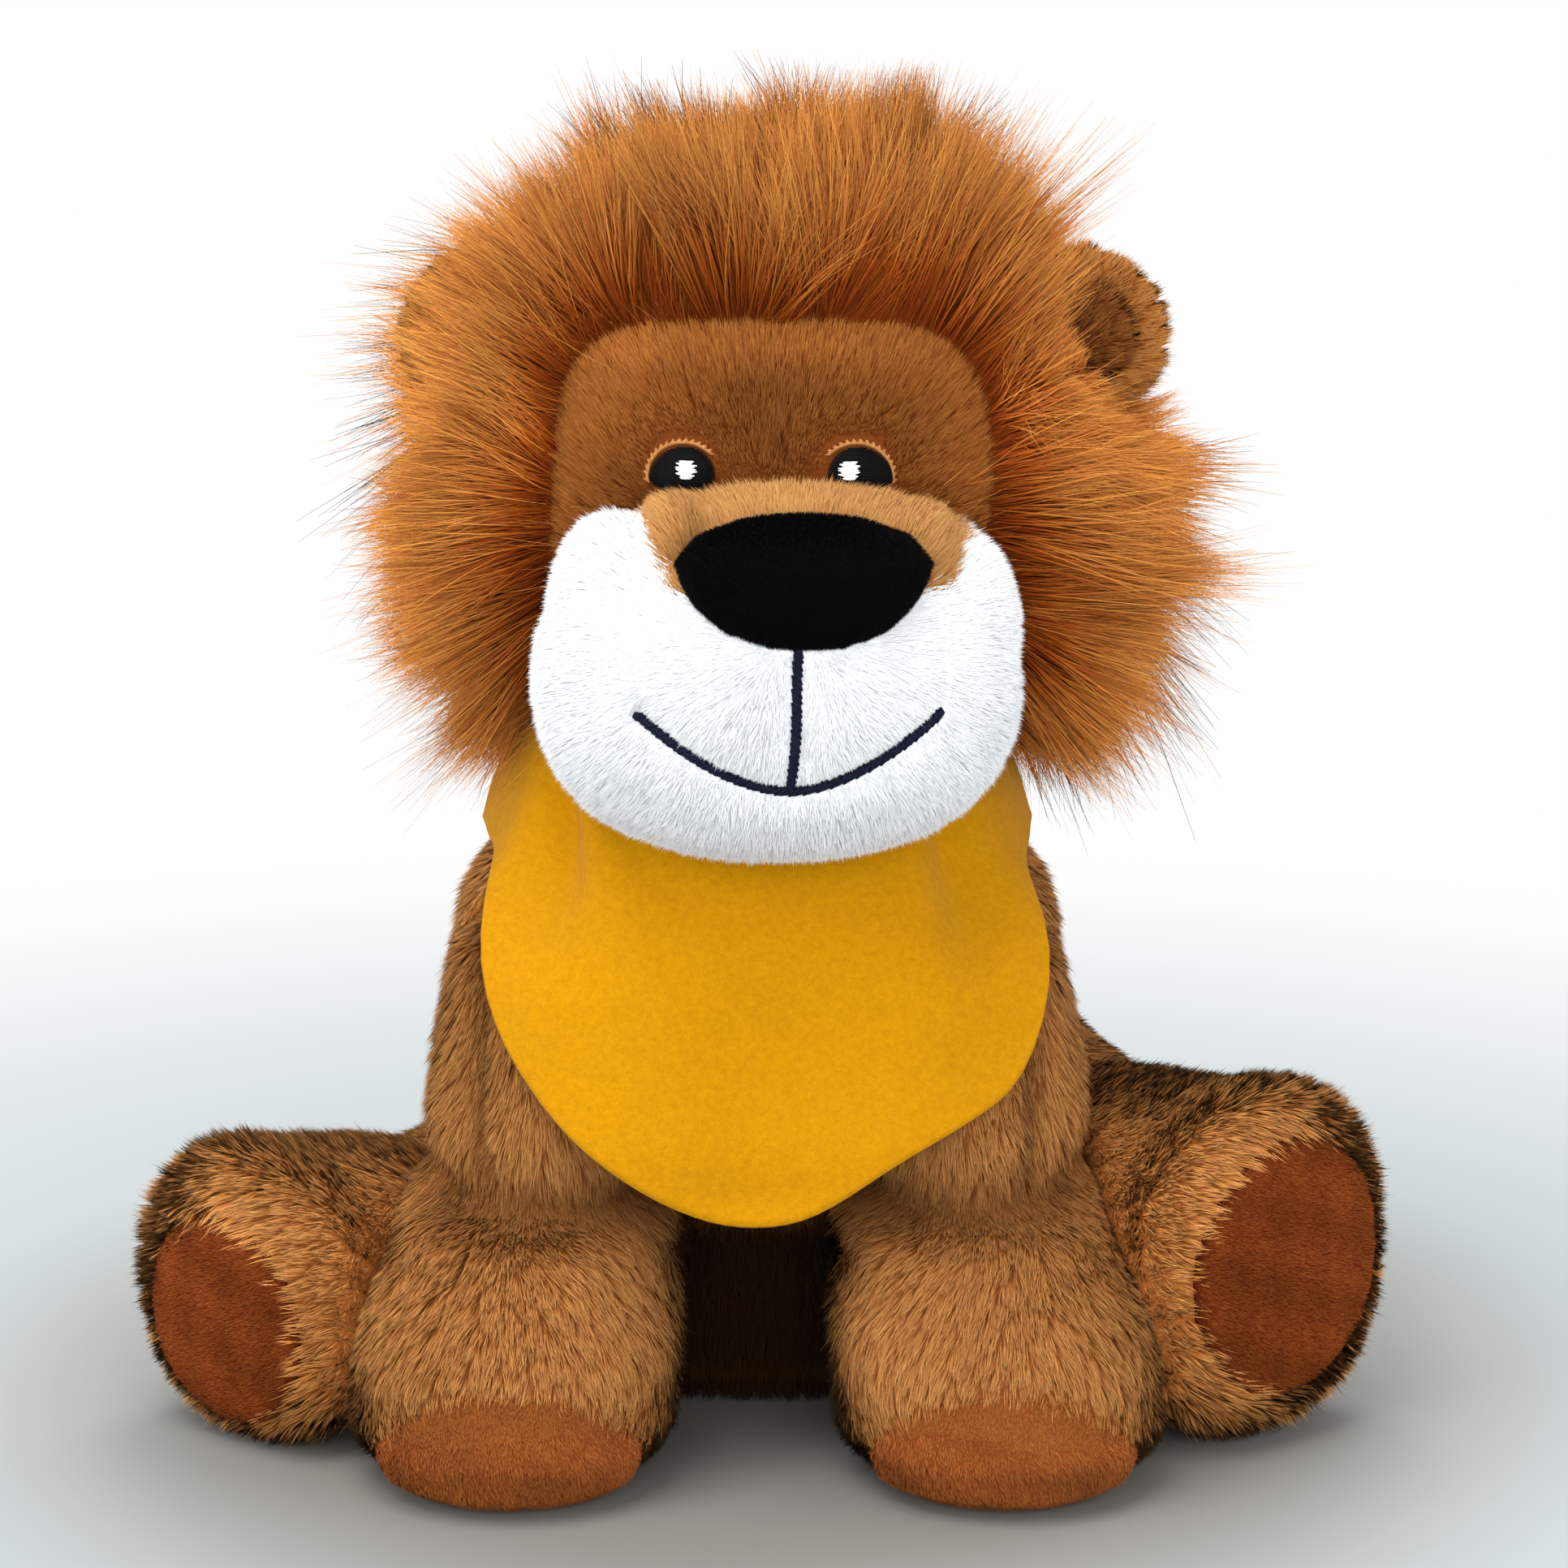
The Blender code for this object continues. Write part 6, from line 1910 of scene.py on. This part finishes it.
        cover.density *= 1 - bottom * (points[:, 1] < 0.02)
        cover.length *= 1 - 0.55 * bottom
        # Painted shade: the front of the crown is made darker towards the top.
        cover.tone *= 1 - 0.18 * smooth(out[:, 2], 0.35, 0.85) * (1 - behind[:, 0])
        flank = smooth(np.abs(out[:, 0]), 0.3, 0.8) * (1 - behind[:, 0])
        cover.lit = np.array((0.0, -0.75, 0.0)) * flank[:, None]
        self.part_for_ears(degrees, radius)
        cover.keep_off([self.head.muzzle], 0.0005, 0.002)
        cover.mottle(6.1, 0.014, 0.10)
        cover.paint()
        self.panels(out)
        panels = ("mane_crown", "mane_left_ruff", "mane_right_ruff", "mane_back")
        # The mane's cloth is painted darker than its pile, as painted shade deep in the pile where the hair parts.
        self.shop.backing(cover, MANE, "head", panels, 0.6, 0.75)

    def part_for_ears(self, degrees: np.ndarray, radius: np.ndarray) -> None:
        """Leaves the left ear to be seen, with short pile round it, and lays pile over the right one.

        Args:
            degrees: each point's direction from the middle of the face.
            radius: each point's distance from it.
        """
        cover = self.cover
        low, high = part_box("left_ear")
        x, z = cover.points[:, 0] - (low.x + high.x) / 2, cover.points[:, 2] - (low.z + high.z) / 2
        near = np.hypot(x - 0.0035, z)
        left = self.ear_window(degrees)
        ahead = cover.points[:, 1] < 0.013
        bare = left * (1 - smooth(near, 0.014, 0.019)) * ahead * (radius > 0.0435)
        cover.length *= 1 - 0.74 * bare
        cover.density *= 1 + 0.8 * bare
        cover.length *= np.where(ahead, 1.0, 1 - 0.35 * left * (cover.points[:, 1] < 0.03))
        cover.density *= 1 + 0.4 * self.ear_window(180.0 - degrees) * ahead

    def panels(self, out: np.ndarray) -> None:
        """Grows the pile panel by panel: crown, two ruffs and back.

        Args:
            out: each point's place from the mane's middle.
        """
        cover = self.cover
        every = cover.density.copy()
        behind = cover.points[:, 1] > 0.012
        up = np.degrees(np.arctan2(out[:, 2], out[:, 0]))
        crown = (up > 40) & (up < 140)
        left = ~crown & (out[:, 0] > 0)
        masks = {
            "mane_crown_pile": crown & ~behind,
            "mane_left_ruff_pile": left & ~behind,
            "mane_right_ruff_pile": ~crown & ~left & ~behind,
            "mane_back_pile": behind,
        }
        attribute = cover.thing.data.attributes["pile_density"]
        for name, mask in masks.items():
            attribute.data.foreach_set("value", (every * mask).astype(np.float32))
            if name == "mane_back_pile":
                self.shop.grow(cover, replace(MANE, pieces=4, width=0.00031), name, "head", 0.36)
            else:
                self.shop.grow(cover, MANE, name, "head", 0.88)


@dataclass
class Ear:
    """An ear: a thin padded disc with a darker hollow in front."""

    shop: Workshop
    side: Side
    shrink: float = 0.13

    def build(self) -> None:
        """Makes the ear's cover."""
        name = self.side.word
        self.cover = Cover(f"{name}_ear_skin", voxels(joined_nodes({f"{name}_ear": 0.0}), 0.0011), 6)
        self.lining = Cover(f"{name}_ear_lining_skin", voxels(joined_nodes({f"{name}_ear_lining": 0.0}), 0.0009), 4)
        low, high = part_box(f"{name}_ear")
        root = np.array((low.x if self.side is Side.LEFT else high.x, 0.0, low.z + 0.004))
        for cover in (self.cover, self.lining):
            cover.move((root - cover.points) * np.array((1.0, 0.0, 1.0)) * self.shrink)
        self.shop.covers[f"{name}_ear"] = self.cover

    def dress(self) -> None:
        """Grows the ear's pile and the hollow's darker pile."""
        name, body = self.side.word, f"{self.side.word}_ear"
        low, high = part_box(f"{name}_ear")
        root = np.array((low.x if self.side is Side.LEFT else high.x, 0.0, low.z + 0.006))
        for cover, kind, label in ((self.cover, EAR, "ear"), (self.lining, HOLLOW, "ear_lining")):
            cover.nap = along_surface(cover.points - root, cover.normals)
            if label == "ear":
                cover.keep_off([self.lining], 0.0004, 0.002)
            cover.mottle(8.0, 0.008, 0.08)
            cover.paint()
            self.shop.grow(cover, kind, f"{name}_{label}_pile", body)
            self.shop.backing(cover, kind, body, (f"{name}_{label}",), 0.4)


@dataclass
class Neckerchief:
    """The felt neckerchief: a cloth round the neck that hangs over the chest, and its knot at the nape."""

    shop: Workshop
    middle: tuple[float, float] = (-0.0010, -0.0010)
    columns: int = 144
    rows: int = 46
    air: float = 0.0030
    thickness: float = 0.0011
    drape_radius: float = 0.060
    neck_radius: float = 0.0385
    flat: tuple[float, float] = (0.27, 0.078)
    low_z: float = 0.0400
    shoulder_z: float = 0.0960
    levels: int = 40
    hem_left: tuple = (
        *((0, 43.2), (7, 44.0), (13, 47.2), (21, 54.6), (42, 64.4), (47.5, 73.0)),
        *((51, 82), (55, 90), (62, 95.5), (78, 98), (95, 98.5), (180, 97)),
    )
    hem_right: tuple = (
        *((0, 43.2), (8, 44.3), (16, 48.8), (29, 59.2), (42, 73.0), (47, 81.5)),
        *((50, 88.5), (54, 94), (61, 97.5), (78, 99), (95, 99), (180, 97)),
    )
    top_left: tuple = ((0, 103), (30, 104.5), (60, 109), (78, 110.5), (120, 109), (180, 108))
    top_right: tuple = ((0, 103), (30, 107), (58, 115), (74, 117.5), (120, 111), (180, 108))

    def build(self) -> None:
        """Drapes the cloth over torso and forelegs and makes the knot."""
        angles = np.linspace(-math.pi, math.pi, self.columns, endpoint=False)
        heights = np.linspace(self.low_z, self.shoulder_z, self.levels)
        reach = self.body_reach(angles, heights)
        radii = self.draped(reach, angles, heights)
        hem, top = self.edges(angles)
        points = np.zeros((self.rows, self.columns, 3))
        for row in range(self.rows):
            share = row / (self.rows - 1)
            z = top + (hem - top) * share
            points[row, :, 0] = angles
            points[row, :, 1] = self.radius_at(radii, heights, z)
            points[row, :, 2] = z
        points[:, :, 1] += self.folds(points)
        for _ in range(2):
            smoothed = points[:, :, 1].copy()
            smoothed[1:-1] = (points[:-2, :, 1] + 2 * points[1:-1, :, 1] + points[2:, :, 1]) / 4
            points[:, :, 1] = (np.roll(smoothed, 1, 1) + 2 * smoothed + np.roll(smoothed, -1, 1)) / 4
        turn, radius, z = (points[:, :, k].ravel() for k in range(3))
        places = np.stack([self.middle[0] + radius * np.sin(turn), self.middle[1] - radius * np.cos(turn), z], 1)
        faces = []
        for row in range(self.rows - 1):
            for column in range(self.columns):
                after = (column + 1) % self.columns
                a, b = row * self.columns + column, row * self.columns + after
                faces.append((a, a + self.columns, b + self.columns, b))
        self.cover = Cover("neckerchief_cloth", mesh_from(places, faces), 0)
        self.shop.covers["neckerchief"] = self.cover
        self.area = sum(polygon.area for polygon in self.cover.thing.data.polygons)
        self.knot = Cover("neckerchief_knot_cloth", voxels(joined_nodes({"neckerchief_knot": 0.0001}), 0.0009), 5)

    def body_reach(self, angles: np.ndarray, heights: np.ndarray) -> np.ndarray:
        """How far the body reaches from the neck's middle, at each height and angle.

        Args:
            angles: the angles from the front.
            heights: the heights.
        Returns:
            The reach, a row for each height.
        """
        trees = [self.shop.covers[name].tree for name in ("torso", "left_foreleg", "right_foreleg")]
        found = np.full((len(heights), len(angles)), 0.030)
        far = 0.12
        for row, z in enumerate(heights):
            for column, turn in enumerate(angles):
                way = Vector((math.sin(turn), -math.cos(turn), 0.0))
                start = Vector((self.middle[0], self.middle[1], z)) + way * far
                for tree in trees:
                    hit, _, _, distance = tree.ray_cast(start, -way, far)
                    if hit is not None:
                        found[row, column] = max(found[row, column], far - distance)
        return found

    def draped(self, reach: np.ndarray, angles: np.ndarray, heights: np.ndarray) -> np.ndarray:
        """The cloth's radius: it spans hollows and hangs straight below what holds it out.

        Args:
            reach: how far the body reaches.
            angles: the angles from the front.
            heights: the heights.
        Returns:
            The radius, a row for each height.
        """
        step = angles[1] - angles[0]
        held = reach.copy()
        for shift in range(-14, 15):
            drop = (reach * shift * step) ** 2 / (2 * self.drape_radius)
            held = np.maximum(held, np.roll(reach - drop, shift, 1))
        hung = held.copy()
        for row in reversed(range(len(heights) - 1)):
            slack = 0.10 * (heights[row + 1] - heights[row])
            hung[row] = np.maximum(held[row], hung[row + 1] - slack)
        for _ in range(8):
            hung = (np.roll(hung, 1, 1) + 2 * hung + np.roll(hung, -1, 1)) / 4
            hung[1:-1] = (hung[:-2] + 2 * hung[1:-1] + hung[2:]) / 4
        return np.maximum(hung, reach) + self.air

    def radius_at(self, radii: np.ndarray, heights: np.ndarray, z: np.ndarray) -> np.ndarray:
        """The cloth's radius at a height for each angle: above the shoulders it leans in to the neck."""
        found = np.empty(len(z))
        for column, height in enumerate(z):
            found[column] = np.interp(height, heights, radii[:, column])
        above = np.clip((z - self.shoulder_z) / 0.021, 0.0, 1.0)
        return found + (self.neck_radius - found) * above**0.8

    def edges(self, angles: np.ndarray) -> tuple[np.ndarray, np.ndarray]:
        """The heights of hem and top edge at each angle from the front.

        Args:
            angles: the angles.
        Returns:
            The hem's heights and the top edge's.
        """
        sides = []
        for left, right in ((self.hem_left, self.hem_right), (self.top_left, self.top_right)):
            parts = []
            for turn in np.degrees(angles):
                table = left if turn > 0 else right
                parts.append(np.interp(abs(turn), [row[0] for row in table], [row[1] for row in table]) / 1000)
            values = np.array(parts)
            for _ in range(4):
                values = (np.roll(values, 1) + 2 * values + np.roll(values, -1)) / 4
            sides.append(values)
        return sides[0], sides[1]

    def folds(self, points: np.ndarray) -> np.ndarray:
        """How far the folds move the cloth out or in.

        Args:
            points: angle, radius and height of each point, row by row.
        Returns:
            The move at each point.
        """
        across, z = points[:, :, 0] * 0.046, points[:, :, 2]
        moved = np.zeros(across.shape)
        creases = (
            (-0.040, 0.112, -0.031, 0.090, 0.0045, -0.0050),
            (-0.034, 0.111, -0.018, 0.090, 0.0040, 0.0026),
            (-0.046, 0.104, -0.041, 0.078, 0.0035, 0.0020),
            (-0.024, 0.098, -0.004, 0.078, 0.0055, -0.0014),
            (0.036, 0.110, 0.031, 0.086, 0.0045, -0.0036),
            (0.030, 0.108, 0.022, 0.088, 0.0040, 0.0018),
            (0.045, 0.094, 0.040, 0.066, 0.0035, 0.0022),
            (0.034, 0.086, 0.026, 0.060, 0.0050, -0.0014),
            (-0.075, 0.112, -0.070, 0.097, 0.0050, 0.0016),
            (0.080, 0.112, 0.074, 0.097, 0.0050, 0.0016),
            (-0.100, 0.110, -0.104, 0.097, 0.0050, -0.0012),
            (0.106, 0.110, 0.102, 0.097, 0.0050, -0.0012),
        )
        for x0, z0, x1, z1, width, height in creases:
            span = np.array((x1 - x0, z1 - z0))
            share = np.clip(((across - x0) * span[0] + (z - z0) * span[1]) / (span @ span), 0.0, 1.0)
            gap = np.hypot(across - x0 - share * span[0], z - z0 - share * span[1])
            swell = 0.35 + 0.65 * np.sin(math.pi * np.clip(share, 0.12, 0.88))
            moved += height * np.exp(-((gap / width) ** 2)) * swell
        return moved + 0.0005 * np.sin(across * 95 + z * 60) * smooth(0.105 - z, 0.0, 0.02)

    def dress(self) -> None:
        """Gives the cloth its thickness and felt, and rides the knot on the torso."""
        felt = self.shop.shades.cloth(FELT)
        cloth = self.cover.thing
        solid = cloth.modifiers.new("felt", "SOLIDIFY")
        solid.thickness = self.thickness
        solid.offset = 1.0
        made = evaluated_mesh(cloth)
        bpy.data.objects.remove(cloth)
        made.materials.clear()
        made.materials.append(felt)
        made.shade_smooth()
        cloth = link("neckerchief_cloth", made)
        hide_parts("neckerchief_collar", "neckerchief_flap")
        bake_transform(cloth)
        knot = self.knot.thing
        knot.data.materials.clear()
        knot.data.materials.append(felt)
        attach(knot, "torso")
        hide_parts("neckerchief_knot")


@dataclass
class Stage:
    """The floor, the lamps, the world and the camera."""

    target: tuple[float, float, float] = (0.0035, 0.0, 0.104)
    distance: float = 0.800
    elevation_degrees: float = 12.0
    lens: float = 108.8

    def build(self) -> None:
        """Sets the stage."""
        self.floor()
        self.world()
        self.lamp("key", (-0.30, -0.35, 1.15), 0.8, 13.5)
        self.lamp("fill", (0.10, -1.10, 0.20), 1.1, 15.5)
        self.lamp("left", (-1.05, -0.50, 0.34), 1.0, 9.5)
        self.lamp("right", (1.08, -0.48, 0.34), 1.0, 7.0)
        self.lamp("rim", (0.15, 0.45, 1.05), 0.8, 9.5)
        self.camera()

    def floor(self) -> None:
        """A wide pale floor with a painted shadow darkening it round the lion, that ends in white."""
        mesh = mesh_from(np.array([(-3, -3, 0), (3, -3, 0), (3, 3, 0), (-3, 3, 0)], float), [(0, 1, 2, 3)])
        floor = link("floor", mesh)
        material = bpy.data.materials.new("pale floor")
        material.use_nodes = True
        g = Graph(material.node_tree)
        surface = material.node_tree.nodes["Principled BSDF"]
        surface.inputs["Roughness"].default_value = 0.7
        output = material.node_tree.nodes["Material Output"]
        place = g.add("ShaderNodeTexCoord").outputs["Object"]
        away = g.vectors("LENGTH", place)
        # Painted shadow: the floor's colour is darker near the lion and lighter farther out.
        near = g.add("ShaderNodeMapRange", {0: away, 1: 0.08, 2: 0.17}, interpolation_type="SMOOTHSTEP").outputs[0]
        tint = Shades.mixed(g, near, linear((118, 117, 112)), linear((148, 155, 157)))
        g.feed(surface.inputs["Base Color"], tint)
        far = g.add("ShaderNodeMapRange", {0: away, 1: 0.14, 2: 0.42}, interpolation_type="SMOOTHSTEP").outputs[0]
        white = g.add("ShaderNodeEmission", {"Color": (1.0, 1.0, 1.0, 1.0), "Strength": 1.0})
        rays = g.add("ShaderNodeLightPath").outputs
        seen = g.maths("MAXIMUM", rays["Is Glossy Ray"], rays["Is Transmission Ray"])
        seen = g.maths("MAXIMUM", rays["Is Camera Ray"], seen)
        share = g.maths("MULTIPLY", far, seen)
        mix = g.add("ShaderNodeMixShader", {0: share, 1: surface.outputs[0], 2: white.outputs[0]})
        g.feed(output.inputs["Surface"], mix.outputs[0])
        mesh.materials.append(material)

    def world(self) -> None:
        """Soft light from all round, and white behind everything."""
        world = bpy.data.worlds.new("studio")
        world.use_nodes = True
        bpy.context.scene.world = world
        g = Graph(world.node_tree)
        rays = g.add("ShaderNodeLightPath").outputs
        seen = g.maths("MAXIMUM", rays["Is Glossy Ray"], rays["Is Transmission Ray"])
        seen = g.maths("MAXIMUM", rays["Is Camera Ray"], seen)
        soft = world.node_tree.nodes["Background"]
        soft.inputs["Color"].default_value = (1.0, 0.99, 0.97, 1.0)
        soft.inputs["Strength"].default_value = 0.56
        white = g.add("ShaderNodeBackground", {"Color": (1.0, 1.0, 1.0, 1.0), "Strength": 1.0})
        mix = g.add("ShaderNodeMixShader", {0: seen, 1: soft.outputs[0], 2: white.outputs[0]})
        g.feed(world.node_tree.nodes["World Output"].inputs["Surface"], mix.outputs[0])

    def lamp(self, name: str, place: tuple[float, float, float], size: float, power: float) -> None:
        """A soft square lamp that points at the lion.

        Args:
            name: its name.
            place: where it stands.
            size: its side.
            power: its watts.
        """
        light = bpy.data.lights.new(name, "AREA")
        light.size = size
        light.energy = power
        lamp = bpy.data.objects.new(name, light)
        bpy.context.scene.collection.objects.link(lamp)
        lamp.location = place
        lamp.rotation_euler = (Vector(self.target) - Vector(place)).to_track_quat("-Z", "Y").to_euler()

    def camera(self) -> None:
        """The camera at the photograph's angle."""
        lens = bpy.data.cameras.new("camera")
        lens.lens = self.lens
        lens.sensor_width = 36.0
        lens.clip_start = 0.01
        camera = bpy.data.objects.new("camera", lens)
        bpy.context.scene.collection.objects.link(camera)
        rise = math.radians(self.elevation_degrees)
        back = Vector((0.0, -math.cos(rise), math.sin(rise))) * self.distance
        camera.location = Vector(self.target) + back
        camera.rotation_euler = (-back).to_track_quat("-Z", "Y").to_euler()
        bpy.context.scene.camera = camera
        bpy.context.scene.view_settings.view_transform = "Standard"


def main() -> None:
    """Builds and dresses the lion, part by part."""
    logging.basicConfig(level=logging.INFO, format="%(message)s")
    shop = Workshop()
    torso, tail, head = Torso(shop), Tail(shop), Head(shop)
    legs = [Foreleg(shop, side) for side in Side] + [HindLeg(shop, side) for side in Side]
    ears = [Ear(shop, side) for side in Side]
    mane = Mane(shop, head)
    parts = [torso, *legs, tail, head, *ears, mane, Neckerchief(shop)]
    for part in parts:
        part.build()
    for part in parts:
        part.dress()
    Stage().build()


if __name__ == "__main__":
    main()
